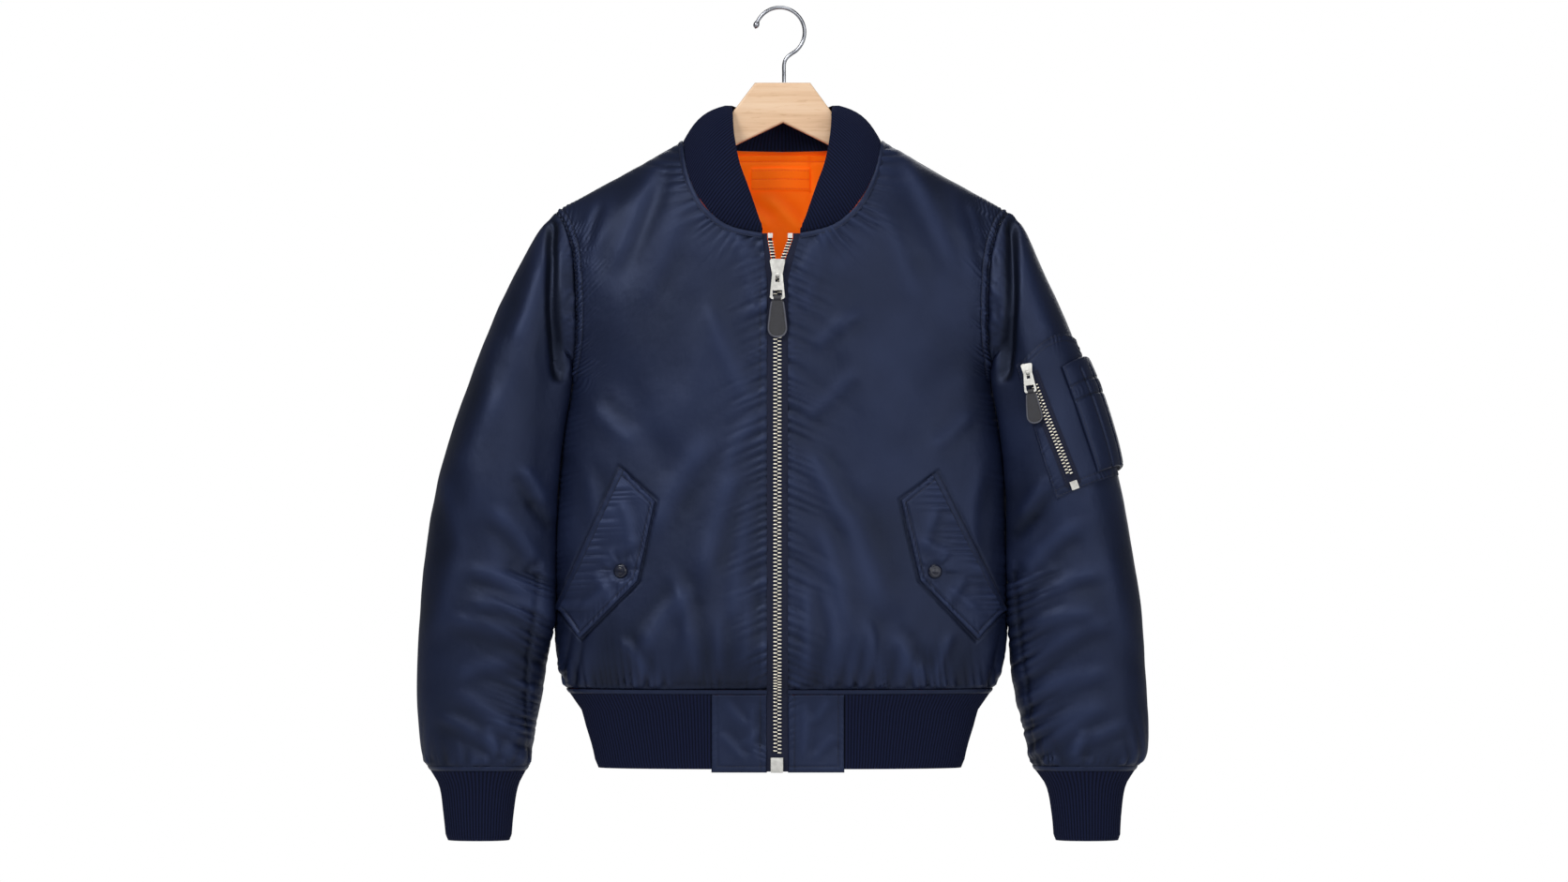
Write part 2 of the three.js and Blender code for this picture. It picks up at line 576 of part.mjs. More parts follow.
const ARM_SEAMS = {};
for (const side of [-1, 1]) {
  for (const facing of [-1, 1]) ARM_SEAMS[`${side},${facing}`] = armholeSeam(side, facing);
}
const NECK_SEAMS = { '-1': neckSeam(-1), 1: neckSeam(1) };
const BACK_NECK = backNeckSeam();

// Shares along a row that bunch its points where the section turns towards the side
function rowShares(from, to, down, steps) {
  const half = Math.max(halfAt(down), Math.abs(to));
  const angleOf = (x) => Math.acos(clamp(Math.abs(x) / half, 0, 1) ** (BODY_POWER / 2));
  const start = angleOf(from);
  const end = angleOf(to);
  const place = (u) => Math.cos(mix(start, end, u)) ** (2 / BODY_POWER);
  const shares = [];
  for (let i = 0; i <= steps; i += 1) {
    shares.push((place(i / steps) - place(0)) / (place(1) - place(0)));
  }
  return shares;
}

// Stand of the gathers over the hem seam: every other column, uneven from one to the next
function hemGather(column, down) {
  const fade = clamp((down - HEM_DOWN) / HEM_GATHER.reach + 1, 0, 1);
  const foot = clamp((HEM_DOWN - down) / HEM_GATHER.foot, 0, 1);
  const uneven = gatherShare(HEM_GATHER.change * column);
  return (column % 2 ? 1 : -1) * HEM_GATHER.raise * uneven * fade * foot;
}

// Rows of a body panel on one side and face: for each, its inner end, its outer end, and how both
// rims are moved
function outerEnds(side, facing) {
  const arm = ARM_SEAMS[`${side},${facing}`];
  const ends = arm.map((frame, i) => {
    const point = frame.point.clone().addScaledVector(frame.across, -HALF_GAP);
    if (i === 0 || i === ARMHOLE_STEPS) point.y = facing * HALF_GAP;
    return { point, out: frame.out };
  });
  for (const down of SIDE_ROWS) {
    const x = shiftAt(down) + side * halfAt(down);
    ends.push({ point: vector(x, facing * HALF_GAP, -down), out: vector(side, 0, 0) });
  }
  return ends;
}

function frontInnerEnds(side) {
  const seam = NECK_SEAMS[side];
  const edge = FRONT_EDGE[side < 0 ? 'left' : 'right'];
  const ends = seam.map((frame, i) => {
    const point = frame.point.clone().addScaledVector(frame.across, -HALF_GAP);
    if (i === 0) point.y = -HALF_GAP;
    return { point, out: frame.out };
  });
  for (const down of [...CENTRE_ROWS, ...SIDE_ROWS]) {
    const x = side * edge.below;
    ends.push({ point: bodyPoint(x, down, -1), out: vector(0, -1, 0) });
  }
  return ends;
}

// One front panel: straight rows from its inner to its outer end, lifted onto the body's face
function frontPanel(side) {
  const inner = frontInnerEnds(side);
  const outer = outerEnds(side, -1);
  const grid = outer.map((end, r) => {
    const from = inner[r].point;
    const to = end.point;
    const shares = rowShares(from.x, to.x, -to.z, FRONT_COLUMNS);
    return shares.map((share, c) => {
      if (c === 0) return from.clone();
      if (c === FRONT_COLUMNS) return to.clone();
      const x = mix(from.x, to.x, share);
      const down = -mix(from.z, to.z, share);
      if (r === 0) return vector(x, -HALF_GAP, -down);
      const point = bodyPoint(x, down, -1);
      point.y = Math.min(point.y - hemGather(c, down), -HALF_GAP);
      return point;
    });
  });
  return finishPanel(grid, inner.map((end) => end.out), outer.map((end) => end.out), -1);
}

// The back panel: its top edge runs along both shoulders and dips to the back of the neck
function backPanel() {
  const left = outerEnds(-1, 1);
  const right = outerEnds(1, 1);
  const rows = left.length;
  const topPoints = backTopEdge();
  const grid = left.map((end, r) => {
    const from = end.point;
    const to = right[r].point;
    const centreDown = mix(BACK_NECK_DOWN, HEM_DOWN, (r / (rows - 1)) ** BACK_ROWS.spread);
    const sideDown = -from.z;
    const shares = rowShares(0, from.x, sideDown, BACK_COLUMNS / 2);
    return topPoints.map((top, c) => {
      if (c === 0) return from.clone();
      if (c === BACK_COLUMNS) return to.clone();
      if (r === 0) return top.point.clone();
      const half = Math.abs(c - BACK_COLUMNS / 2);
      const sideways = Math.sign(c - BACK_COLUMNS / 2);
      const edge = sideways < 0 ? from : to;
      const topShare = Math.abs(top.point.x) / SHOULDER_POINT.x;
      const settle = clamp(r / ARMHOLE_STEPS, 0, 1);
      const share = mix(topShare, shares[half], settle);
      const middleX = shiftAt(centreDown) * settle;
      const x = mix(middleX, edge.x, share);
      const plain = mix(centreDown, sideDown, share);
      const dip = -top.point.z - mix(BACK_NECK_DOWN, SHOULDER_POINT.down, topShare);
      const down = plain + dip * Math.max(0, 1 - r / BACK_ROWS.dip) ** BACK_ROWS.dipPower;
      const point = bodyPoint(x, down, 1);
      point.y = Math.max(point.y + hemGather(c, down), HALF_GAP);
      return point;
    });
  });
  return finishPanel(grid, left.map((end) => end.out), right.map((end) => end.out), 1, topPoints);
}

// Points of the back's top edge, with their outward directions
function backTopEdge() {
  const neckColumns = COLLAR_BACK_STEPS;
  const shoulderColumns = (BACK_COLUMNS - neckColumns) / 2;
  const edge = [];
  const alongShoulder = (side, t) => vector(
    side * mix(SHOULDER_POINT.x, NECK_POINT.x, t), HALF_GAP, -mix(SHOULDER_POINT.down, NECK_POINT.down, t),
  );
  for (let i = 0; i < shoulderColumns; i += 1) {
    edge.push({ point: alongShoulder(-1, i / shoulderColumns), out: shoulderOut(-1) });
  }
  for (let i = 0; i <= neckColumns; i += 1) {
    const frame = BACK_NECK[i];
    const point = frame.point.clone().addScaledVector(frame.across, -HALF_GAP);
    if (i === 0 || i === neckColumns) point.y = HALF_GAP;
    edge.push({ point, out: frame.out });
  }
  for (let i = 1; i <= shoulderColumns; i += 1) {
    edge.push({ point: alongShoulder(1, 1 - i / shoulderColumns), out: shoulderOut(1) });
  }
  return edge;
}

// Gives a panel's grid its thickness. Its rims use the seams' own directions, so that two pieces
// that meet at a seam stay parallel there.
function finishPanel(grid, startOut, endOut, facing, topEdge) {
  const normals = gridNormals(grid, false).map((row) => row.map(
    (normal) => (normal.y * facing < 0 ? normal.negate() : normal),
  ));
  const last = grid.length - 1;
  normals.forEach((row, r) => {
    row[0] = startOut[r].clone();
    row[row.length - 1] = endOut[r].clone();
    if (r === last) row.forEach((normal) => normal.setZ(0).normalize());
    if (r > 0) return;
    for (let c = 1; c < row.length - 1; c += 1) {
      row[c] = topEdge ? topEdge[c].out.clone() : shoulderOut(Math.sign(grid[0][c].x));
    }
  });
  return wallGeometry(grid, movedIn(grid, normals, CLOTH), false);
}

// Sleeve: sections of a rounded shape between its outer and inner edges
function sleeveColumns(side) {
  const key = side < 0 ? 'Left' : 'Right';
  const rows = SLEEVE.map((row, at) => ({ ...row, at }));
  return {
    out: through(rows, 'at', `out${key}`),
    outDown: through(rows, 'at', 'outDown'),
    in: through(rows, 'at', `in${key}`),
    inDown: through(rows, 'at', 'inDown'),
    deep: through(rows, 'at', 'deep'),
  };
}
const SLEEVE_SHAPE = { '-1': sleeveColumns(-1), 1: sleeveColumns(1) };

const rounded = (value, power) => Math.sign(value) * Math.abs(value) ** (2 / power);

function plainSection(out, outDown, inner, inDown, deep, angle, side) {
  const swing = rounded(Math.cos(angle), SLEEVE_POWER);
  const x = mix(inner, out, (1 + swing) / 2);
  const down = mix(inDown, outDown, (1 + swing) / 2);
  return vector(side * x, -deep * rounded(Math.sin(angle), SLEEVE_POWER), -down);
}

function plainSleeve(side, angle, row) {
  const shape = SLEEVE_SHAPE[side];
  return plainSection(
    shape.out(row), shape.outDown(row), shape.in(row), shape.inDown(row), shape.deep(row), angle, side,
  );
}

// How far the armhole seam lies from the sleeve's plain first section, at any angle round it
function seamPull(side, angle) {
  const turn = ((angle % (2 * Math.PI)) + 2 * Math.PI) % (2 * Math.PI);
  const facing = turn <= Math.PI ? -1 : 1;
  const along = (turn <= Math.PI ? turn : 2 * Math.PI - turn) / Math.PI;
  const seam = ARM_SEAMS[`${side},${facing}`];
  const place = clamp(along * ARMHOLE_STEPS, 0, ARMHOLE_STEPS);
  const index = Math.min(Math.floor(place), ARMHOLE_STEPS - 1);
  const pullAt = (i) => {
    const at = facing < 0 ? (Math.PI * i) / ARMHOLE_STEPS : 2 * Math.PI - (Math.PI * i) / ARMHOLE_STEPS;
    const frame = seam[i];
    return frame.point.clone().addScaledVector(frame.across, HALF_GAP).sub(plainSleeve(side, at, 0));
  };
  return pullAt(index).lerp(pullAt(index + 1), place - index);
}

function sleevePoint(side, angle, row) {
  const point = plainSleeve(side, angle, row);
  const pull = clamp(1 - row / SLEEVE_SEAM_ROWS, 0, 1);
  if (pull > 0) point.addScaledVector(seamPull(side, angle), pull * pull * (3 - 2 * pull));
  const turn = ((angle % (2 * Math.PI)) + 2 * Math.PI) % (2 * Math.PI);
  const last = SLEEVE.length - 1;
  const hold = clamp(row / SLEEVE_FOLD_ROWS, 0, 1) * clamp((last - row) / SLEEVE_FOLD_ROWS, 0, 1);
  for (const fold of SLEEVE_FOLDS) {
    const across = Math.exp(-(((row - fold.row) / fold.length) ** 2));
    const round = Math.exp(-(((turn - fold.angle) / (fold.width * 2)) ** 2));
    point.y += -Math.sign(Math.sin(turn)) * fold.height * across * round * hold;
  }
  return point;
}

function sleeveNormal(side, angle, row) {
  const step = 0.02;
  const round = sleevePoint(side, angle + step, row).sub(sleevePoint(side, angle - step, row));
  const along = sleevePoint(side, angle, row + step).sub(sleevePoint(side, angle, row - step));
  const normal = round.cross(along).normalize();
  const middle = plainSleeve(side, 0, row).add(plainSleeve(side, Math.PI, row)).multiplyScalar(0.5);
  const outward = sleevePoint(side, angle, row).sub(middle);
  return normal.dot(outward) < 0 ? normal.negate() : normal;
}

function sleeve(side) {
  const steps = 2 * ARMHOLE_STEPS;
  const last = SLEEVE.length - 1;
  const nudge = 0.05;
  const grid = [];
  const normals = [];
  for (let row = 0; row <= last; row += 1) {
    const line = [];
    const out = [];
    for (let c = 0; c < steps; c += 1) {
      const angle = (2 * Math.PI * c) / steps;
      const point = sleevePoint(side, angle, row);
      const normal = sleeveNormal(side, angle, clamp(row, nudge, last - nudge));
      const fade = clamp(1 - (last - row) / CUFF_GATHER.rows, 0, 1) * (row === last ? CUFF_GATHER.atSeam : 1);
      const uneven = gatherShare(CUFF_GATHER.change * c);
      point.addScaledVector(normal, (c % 2 ? 1 : -1) * CUFF_GATHER.raise * uneven * fade);
      if (row === 0) {
        const facing = c <= ARMHOLE_STEPS ? -1 : 1;
        const index = c <= ARMHOLE_STEPS ? c : steps - c;
        normal.copy(ARM_SEAMS[`${side},${facing}`][index].out);
      }
      if (row === last) {
        point.z = -SLEEVE[last].outDown;
        normal.setZ(0).normalize();
      }
      line.push(point);
      out.push(normal);
    }
    grid.push(line);
    normals.push(out);
  }
  return wallGeometry(grid, movedIn(grid, normals, CLOTH), true);
}

// A tube of level sections, with ridges raised in its outer points
function ribbedTube(table, side, ribs, innerSteps, raise) {
  const key = side < 0 ? 'Left' : 'Right';
  const outerSteps = ribs ? ribs * 2 : innerSteps;
  const level = (row, steps, inset, ridge) => {
    const line = [];
    for (let c = 0; c < steps; c += 1) {
      const angle = (2 * Math.PI * c) / steps;
      const grow = (ridge && c % 2 ? raise : 0) - inset;
      line.push(plainSection(
        row[`out${key}`] + grow, row.down, row[`in${key}`] - grow, row.down, row.deep + grow, angle, side,
      ));
    }
    return line;
  };
  const outer = table.map((row, r) => level(row, outerSteps, 0, ribs > 0 && r > 0));
  const inner = table.map((row) => level(row, innerSteps, RIB_WALL, false));
  return wallGeometry(outer, inner, true);
}

// Level outline of the body at one height, between two places of the way round it. A place is an
// angle: 0 at the middle of the front, growing towards the viewer's right, then round the back.
function hemPoint(down, angle, inset) {
  const half = halfAt(down) - inset;
  const across = rounded(Math.sin(angle), BODY_POWER) * half;
  const facing = Math.cos(angle) > 0 ? -1 : 1;
  const deep = (facing < 0 ? frontAt(down) : backAt(down)) - inset;
  return vector(shiftAt(down) + across, -rounded(Math.cos(angle), BODY_POWER) * deep, -down);
}

function hemAngle(x, down) {
  const share = (x - shiftAt(down)) / halfAt(down);
  return Math.asin(rounded(share, 4 / BODY_POWER));
}

// A band of the hem that runs round the back, from x at its right end to x at its left end
function hemWall(downs, right, left, steps, ratio, raise, proud) {
  const line = (down, count, inset, ridge) => {
    const start = hemAngle(right, down);
    const end = 2 * Math.PI + hemAngle(left, down);
    const points = [];
    for (let c = 0; c <= count; c += 1) {
      const lift = ridge && c % 2 ? raise : 0;
      const point = hemPoint(down, mix(start, end, c / count), inset - lift);
      if (c === 0) point.x = right;
      if (c === count) point.x = left;
      points.push(point);
    }
    return points;
  };
  const outer = downs.map((down, r) => line(down, steps * ratio, -proud, raise > 0 && r > 0));
  const inner = downs.map((down) => line(down, steps, RIB_WALL, false));
  return wallGeometry(outer, inner, false);
}

// A flat tab of the hem at the front, between two x
function hemTab(from, to) {
  const layer = (inset) => TAB_ROWS.map((down) => {
    const points = [];
    for (let c = 0; c <= TAB_COLUMNS; c += 1) {
      const x = mix(from, to, c / TAB_COLUMNS);
      points.push(vector(x, bodyDepth(x, down, -1) + inset, -down));
    }
    return points;
  });
  return wallGeometry(layer(-TAB_PROUD), layer(CLOTH), false);
}

// A four-sided patch laid on a face: place(u, v) gives a point and its outward direction
function patchGeometry(place, lift, thick, across, along) {
  const layer = (height) => {
    const rows = [];
    for (let r = 0; r <= along; r += 1) {
      const line = [];
      for (let c = 0; c <= across; c += 1) {
        const { point, out } = place(c / across, r / along);
        const high = typeof height === 'function' ? height(c / across, r / along) : height;
        line.push(point.clone().addScaledVector(out, high));
      }
      rows.push(line);
    }
    return rows;
  };
  const top = typeof thick === 'function' ? (u, v) => lift + thick(u, v) : lift + thick;
  return wallGeometry(layer(top), layer(lift), false);
}

const onFront = (x, down) => ({ point: bodyPoint(x, down, -1), out: bodyNormal(x, down, -1) });

// Collar: a section from each seam point to the free edge, bowed outwards
function collar() {
  const edgePoints = (rows, side) => new THREE.CatmullRomCurve3(
    rows.map((row) => vector(side * row.x, row.y, -row.down)),
  );
  const stations = [];
  const front = (side) => {
    const curve = edgePoints(COLLAR_FRONT_EDGE, side);
    return NECK_SEAMS[side].map((frame, i) => ({ ...frame, edge: curve.getPoint(i / NECK_STEPS) }));
  };
  const backEdge = new THREE.CatmullRomCurve3([
    ...COLLAR_BACK_EDGE.map((row) => vector(-row.x, row.y, -row.down)),
    ...COLLAR_BACK_EDGE.slice(0, -1).reverse().map((row) => vector(row.x, row.y, -row.down)),
  ]);
  stations.push(...front(-1).reverse());
  for (let i = 1; i < COLLAR_BACK_STEPS; i += 1) {
    stations.push({ ...BACK_NECK[i], edge: backEdge.getPoint(i / COLLAR_BACK_STEPS) });
  }
  stations.push(...front(1));
  const section = (station, v) => {
    const start = station.point.clone().addScaledVector(station.across, HALF_GAP);
    const width = start.distanceTo(station.edge);
    const bulge = COLLAR_BULGE * Math.min(1, width / COLLAR_FULL_WIDTH);
    return start.lerp(station.edge, v).addScaledVector(station.out, bulge * Math.sin(Math.PI * v));
  };
  const base = [];
  for (let r = 0; r <= COLLAR_ROWS; r += 1) {
    base.push(stations.map((station) => section(station, r / COLLAR_ROWS)));
  }
  const normals = gridNormals(base, false);
  normals.forEach((row, r) => row.forEach((normal, c) => {
    if (normal.dot(stations[c].out) < 0) normal.negate();
    if (r === 0) normal.copy(stations[c].out);
  }));
  const ratio = COLLAR_RIBS_PER_STEP * 2;
  const outer = base.map((row, r) => {
    const line = [];
    for (let c = 0; c <= (row.length - 1) * ratio; c += 1) {
      const index = Math.min(Math.floor(c / ratio), row.length - 2);
      const t = c / ratio - index;
      const point = row[index].clone().lerp(row[index + 1], t);
      const out = normals[r][index].clone().lerp(normals[r][index + 1], t);
      if (r > 0) point.addScaledVector(out, c % 2 ? RIB_RAISE : 0);
      line.push(point);
    }
    return line;
  });
  return wallGeometry(outer, movedIn(base, normals, RIB_WALL), false);
}

// Binding: a narrow band on the body's side of the collar seam
function collarBinding() {
  const frames = [
    ...[...NECK_SEAMS[-1]].reverse(),
    ...BACK_NECK.slice(1, -1),
    ...NECK_SEAMS[1],
  ];
  const layer = (height) => [BINDING.from, BINDING.width].map((away) => frames.map(
    (frame) => frame.point.clone().addScaledVector(frame.across, -away).addScaledVector(frame.out, height),
  ));
  return wallGeometry(layer(BINDING.lift + BINDING.thick), layer(BINDING.lift), false);
}

// Lining: lies inside the back panel, one cloth thickness and a gap in
function lining() {
  const place = (u, v) => {
    const x = mix(-LINING.half, LINING.half, u);
    const dip = mix(LINING.top, LINING.bottom, v ** LINING.bunch);
    const down = Math.max(dip, shoulderDown(x) + LINING.belowShoulder);
    return { point: bodyPoint(x, down, 1), out: bodyNormal(x, down, 1) };
  };
  const inward = CLOTH + LINING.gap + LINING.thick;
  return patchGeometry(place, -inward, LINING.thick, LINING.across, LINING.along);
}

function liningPatch() {
  const place = (u, v) => {
    const x = mix(PATCH.left, PATCH.right, u);
    const down = mix(PATCH.top, PATCH.bottom, v);
    return { point: bodyPoint(x, down, 1), out: bodyNormal(x, down, 1) };
  };
  const inward = CLOTH + LINING.gap + LINING.thick + PATCH.gap + PATCH.thick;
  return patchGeometry(place, -inward, PATCH.thick, 4, 2);
}

// Middle line of one open half of the chain, from the slider to its top stop
function openLine(side, share) {
  const name = side < 0 ? 'left' : 'right';
  const x = mix(ZIP_X + side * OPEN_CHAIN.apart, STOP_X[name] + side * OPEN_CHAIN.atStop, share);
  const high = STOP.down + STOP.size[2] / 2 + SEAM_GAP;
  return [x, mix(SLIDER.down - OPEN_CHAIN.belowSlider, high, share)];
}

// A strip of the zip between two x at each height, set into the front's depth
function zipStrip(rows, proud, thick, columns) {
  const place = (u, v) => {
    const at = v * (rows.length - 1);
    const index = Math.min(Math.floor(at), rows.length - 2);
    const t = at - index;
    const a = rows[index];
    const b = rows[index + 1];
    const x = mix(mix(a.from, a.to, u), mix(b.from, b.to, u), t);
    const down = mix(a.down, b.down, t);
    return { point: bodyPoint(x, down, -1), out: vector(0, -1, 0) };
  };
  return patchGeometry(place, proud - thick, thick, columns, rows.length - 1);
}

const ZIP_LEVELS = [...CENTRE_ROWS, ...SIDE_ROWS, ...TAB_ROWS.slice(1, -1)];

function zipTape(side) {
  const edge = FRONT_EDGE[side < 0 ? 'left' : 'right'];
  const neckEnd = NECKLINE.at(-1).down;
  const rows = [1, 0.5, 0].map((share) => {
    const [x, down] = openLine(side, share);
    const opened = mix(edge.top, edge.below, (down - neckEnd) / (OPEN_DOWN - neckEnd));
    const from = x + side * (OPEN_CHAIN.half + OPEN_CHAIN.tapeGap);
    return { from, to: side * (opened - 2 * SEAM_GAP), down };
  });
  for (const down of [...ZIP_LEVELS, TAPE.bottom]) {
    const from = ZIP_X + side * (CHAIN.half + TAPE.gap);
    rows.push({ from, to: side * (edge.below - TAPE.gap), down });
  }
  return zipStrip(rows, -TAPE.deep, TAPE.thick, 1);
}

function chain() {
  const rows = [SLIDER.down + OPEN_CHAIN.belowSlider, ...ZIP_LEVELS, CHAIN.bottom].map((down) => ({
    from: ZIP_X - CHAIN.half, to: ZIP_X + CHAIN.half, down,
  }));
  return zipStrip(rows, CHAIN.proud, CHAIN.thick, 1);
}

function openChain(side) {
  const rows = [0, 0.5, 1].map((share) => {
    const [x, down] = openLine(side, share);
    return { from: x - OPEN_CHAIN.half, to: x + OPEN_CHAIN.half, down };
  });
  return zipStrip(rows, CHAIN.proud, CHAIN.thick, 1);
}

// A plate with round corners, tapering from top to bottom, as an outline about its own middle
function plateShape(topWide, bottomWide, tall, corner) {
  const shape = new THREE.Shape();
  const top = topWide / 2;
  const low = bottomWide / 2;
  const half = tall / 2;
  shape.moveTo(-top + corner, half);
  shape.lineTo(top - corner, half);
  shape.quadraticCurveTo(top, half, top, half - corner);
  shape.lineTo(low, -half + corner);
  shape.quadraticCurveTo(low, -half, low - corner, -half);
  shape.lineTo(-low + corner, -half);
  shape.quadraticCurveTo(-low, -half, -low, -half + corner);
  shape.lineTo(-top, half - corner);
  shape.quadraticCurveTo(-top, half, -top + corner, half);
  return shape;
}

// Extrudes an outline drawn in X and Z so that its front is at -thick and its back at 0
function upright(shape, thick) {
  const geometry = new THREE.ExtrudeGeometry(shape, { depth: thick, bevelEnabled: false, curveSegments: 4 });
  return geometry.rotateX(Math.PI / 2);
}

// Part of a ring about the X axis, drawn in Y and Z and extruded evenly to both sides. With feet,
// both of its ends run straight on along Y to that distance.
function hoop(inner, outer, halfWide, start, end, steps, feet = 0) {
  const points = [];
  for (let i = 0; i <= steps; i += 1) {
    const angle = mix(start, end, i / steps);
    points.push([outer * Math.cos(angle), outer * Math.sin(angle)]);
  }
  if (feet > 0) {
    points.unshift([feet, outer * Math.sin(start)]);
    points.push([feet, outer * Math.sin(end)], [feet, inner * Math.sin(end)]);
  }
  for (let i = steps; i >= 0; i -= 1) {
    const angle = mix(start, end, i / steps);
    points.push([inner * Math.cos(angle), inner * Math.sin(angle)]);
  }
  if (feet > 0) points.push([feet, inner * Math.sin(start)]);
  const shape = new THREE.Shape(points.map(([y, z]) => new THREE.Vector2(y, z)));
  const geometry = new THREE.ExtrudeGeometry(shape, { depth: halfWide * 2, bevelEnabled: false });
  geometry.translate(0, 0, -halfWide);
  return geometry.applyMatrix4(new THREE.Matrix4().makeBasis(
    vector(0, 1, 0), vector(0, 0, 1), vector(1, 0, 0),
  ));
}

// Slider: a tapered plate with an arch over the hinge axis. The axis lies on the group's origin.
function sliderGeometry(size, scale, rise) {
  const gap = PULL.axisOut * scale;
  const plate = upright(plateShape(size.topWide, size.bottomWide, size.tall, size.corner), size.thick);
  plate.translate(0, gap + size.thick, rise);
  const arch = hoop(
    PULL.archInner * scale, PULL.archOuter * scale, (PULL.archWide / 2) * scale,
    Math.PI * 0.5, Math.PI * 1.5, 8, gap + size.thick / 2,
  );
  return joined(plate, arch);
}

// Metal tab: a plate with an eye round the arch and a window for the leather
function tabGeometry(scale) {
  const shape = new THREE.Shape();
  const long = PULL.tabLong;
  shape.moveTo(-PULL.tabTop, PULL.bar);
  shape.lineTo(PULL.tabTop, PULL.bar);
  shape.lineTo(PULL.tabBottom, -long + PULL.tabCorner);
  shape.lineTo(PULL.tabBottom - PULL.tabCorner, -long);
  shape.lineTo(-PULL.tabBottom + PULL.tabCorner, -long);
  shape.lineTo(-PULL.tabBottom, -long + PULL.tabCorner);
  const hole = (half, top, bottom) => {
    const path = new THREE.Path();
    path.moveTo(-half, top);
    path.lineTo(-half, bottom);
    path.lineTo(half, bottom);
    path.lineTo(half, top);
    return path;
  };
  const windowBottom = -long + PULL.barBottom;
  shape.holes.push(hole(PULL.eyeHalf, -PULL.bar, -PULL.eyeLong));
  shape.holes.push(hole(PULL.windowHalf, windowBottom + PULL.windowLong, windowBottom));
  const plate = upright(shape, PULL.tabThick);
  plate.translate(0, PULL.tabThick / 2, 0);
  return plate.scale(scale, scale, scale);
}

// Leather pull: a loop round the tab's lower bar and a tongue below it
function leatherGeometry(scale) {
  const ring = hoop(PULL.loopInner, PULL.loopOuter, PULL.loopHalf, -Math.PI * 0.45, Math.PI * 1.45, 14);
  const shape = new THREE.Shape();
  const long = PULL.leatherLong;
  const top = -(PULL.loopInner + PULL.leatherStart);
  shape.moveTo(-PULL.leatherTop, top);
  shape.lineTo(PULL.leatherTop, top);
  shape.lineTo(PULL.leatherWide, -long * PULL.roundFrom);
  shape.quadraticCurveTo(PULL.leatherWide, -long, 0, -long);
  shape.quadraticCurveTo(-PULL.leatherWide, -long, -PULL.leatherWide, -long * PULL.roundFrom);
  const tongue = upright(shape, PULL.leatherThick);
  tongue.translate(0, PULL.leatherThick / 2, 0);
  return joined(ring, tongue).scale(scale, scale, scale);
}

// A slider with its tab and leather, with the hinge axis at the given place
function zipPull(prefix, size, place, scale, lean, rise) {
  const axisOf = (mesh) => {
    mesh.position.copy(place);
    mesh.rotation.y = lean;
    return mesh;
  };
  axisOf(addPiece(`${prefix}_slider`, sliderGeometry(size, scale, rise), METAL));
  axisOf(addPiece(`${prefix}_tab`, tabGeometry(scale), METAL));
  const leather = axisOf(addPiece(`${prefix}_leather`, leatherGeometry(scale), LEATHER));
  const drop = (PULL.tabLong - PULL.barBottom / 2) * scale;
  leather.position.add(vector(0, 0, -drop).applyAxisAngle(vector(0, 1, 0), lean));
}

// Flap: rows run from the welt's line to the flap's free edge, whose corner lies between two rows
function flapPlace(flap) {
  return (u, v) => {
    const welt = [mix(flap.weltTop[0], flap.weltBottom[0], v), mix(flap.weltTop[1], flap.weltBottom[1], v)];
    const bend = 0.5;
    const first = v < bend ? flap.flapTop : flap.corner;
    const second = v < bend ? flap.corner : flap.tip;
    const t = v < bend ? v / bend : (v - bend) / (1 - bend);
    const edge = [mix(first[0], second[0], t), mix(first[1], second[1], t)];
    return onFront(mix(welt[0], edge[0], u), mix(welt[1], edge[1], u));
  };
}

function weltGeometry(flap, side) {
  const alongX = flap.weltBottom[0] - flap.weltTop[0];
  const alongDown = flap.weltBottom[1] - flap.weltTop[1];
  const length = Math.hypot(alongX, alongDown);
  const offX = (side * alongDown) / length;
  const offDown = (-side * alongX) / length;
  const place = (u, v) => {
    const away = SEAM_GAP + WELT.width * u;
    const x = mix(flap.weltTop[0], flap.weltBottom[0], v) + offX * away;
    const down = mix(flap.weltTop[1], flap.weltBottom[1], v) + offDown * away;
    const inside = shiftAt(down) + clamp(x - shiftAt(down), 1 - halfAt(down), halfAt(down) - 1);
    return onFront(inside, down);
  };
  return patchGeometry(place, WELT.lift, WELT.thick, 2, FLAP.along);
}

function snapGeometry() {
  const radius = SNAP.radius;
  const profile = [
    [0, 0], [radius - 0.5, 0], [radius, 0.6], [radius - 1.2, 2.4], [radius - 3, 3.1], [0, SNAP.thick],
  ];
  return new THREE.LatheGeometry(profile.map(([r, y]) => new THREE.Vector2(r, y)), SNAP.sides);
}

// Finds the angle and row of the sleeve's face that show at a place seen from the front
function sleeveAt(x, down) {
  let angle = 1.4;
  let row = 6;
  for (let step = 0; step < 12; step += 1) {
    const here = sleevePoint(1, angle, row);
    const missX = x - here.x;
    const missZ = -down - here.z;
    const byAngle = sleevePoint(1, angle + 0.01, row).sub(here).multiplyScalar(100);
    const byRow = sleevePoint(1, angle, row + 0.01).sub(here).multiplyScalar(100);
    const area = byAngle.x * byRow.z - byAngle.z * byRow.x;
    angle += (missX * byRow.z - missZ * byRow.x) / area;
    row += (byAngle.x * missZ - byAngle.z * missX) / area;
    angle = clamp(angle, 0.1, Math.PI - 0.1);
    row = clamp(row, 0, SLEEVE.length - 1);
  }
  return [angle, row];
}

// Row of the sleeve's outer edge at a height
function outerRowAt(down) {
  let row = 0;
  while (SLEEVE_SHAPE[1].outDown(row) < down) row += 0.02;
  return row;
}

const onSleeve = (angle, row) => ({
  point: sleevePoint(1, angle, row), out: sleeveNormal(1, angle, row),
});

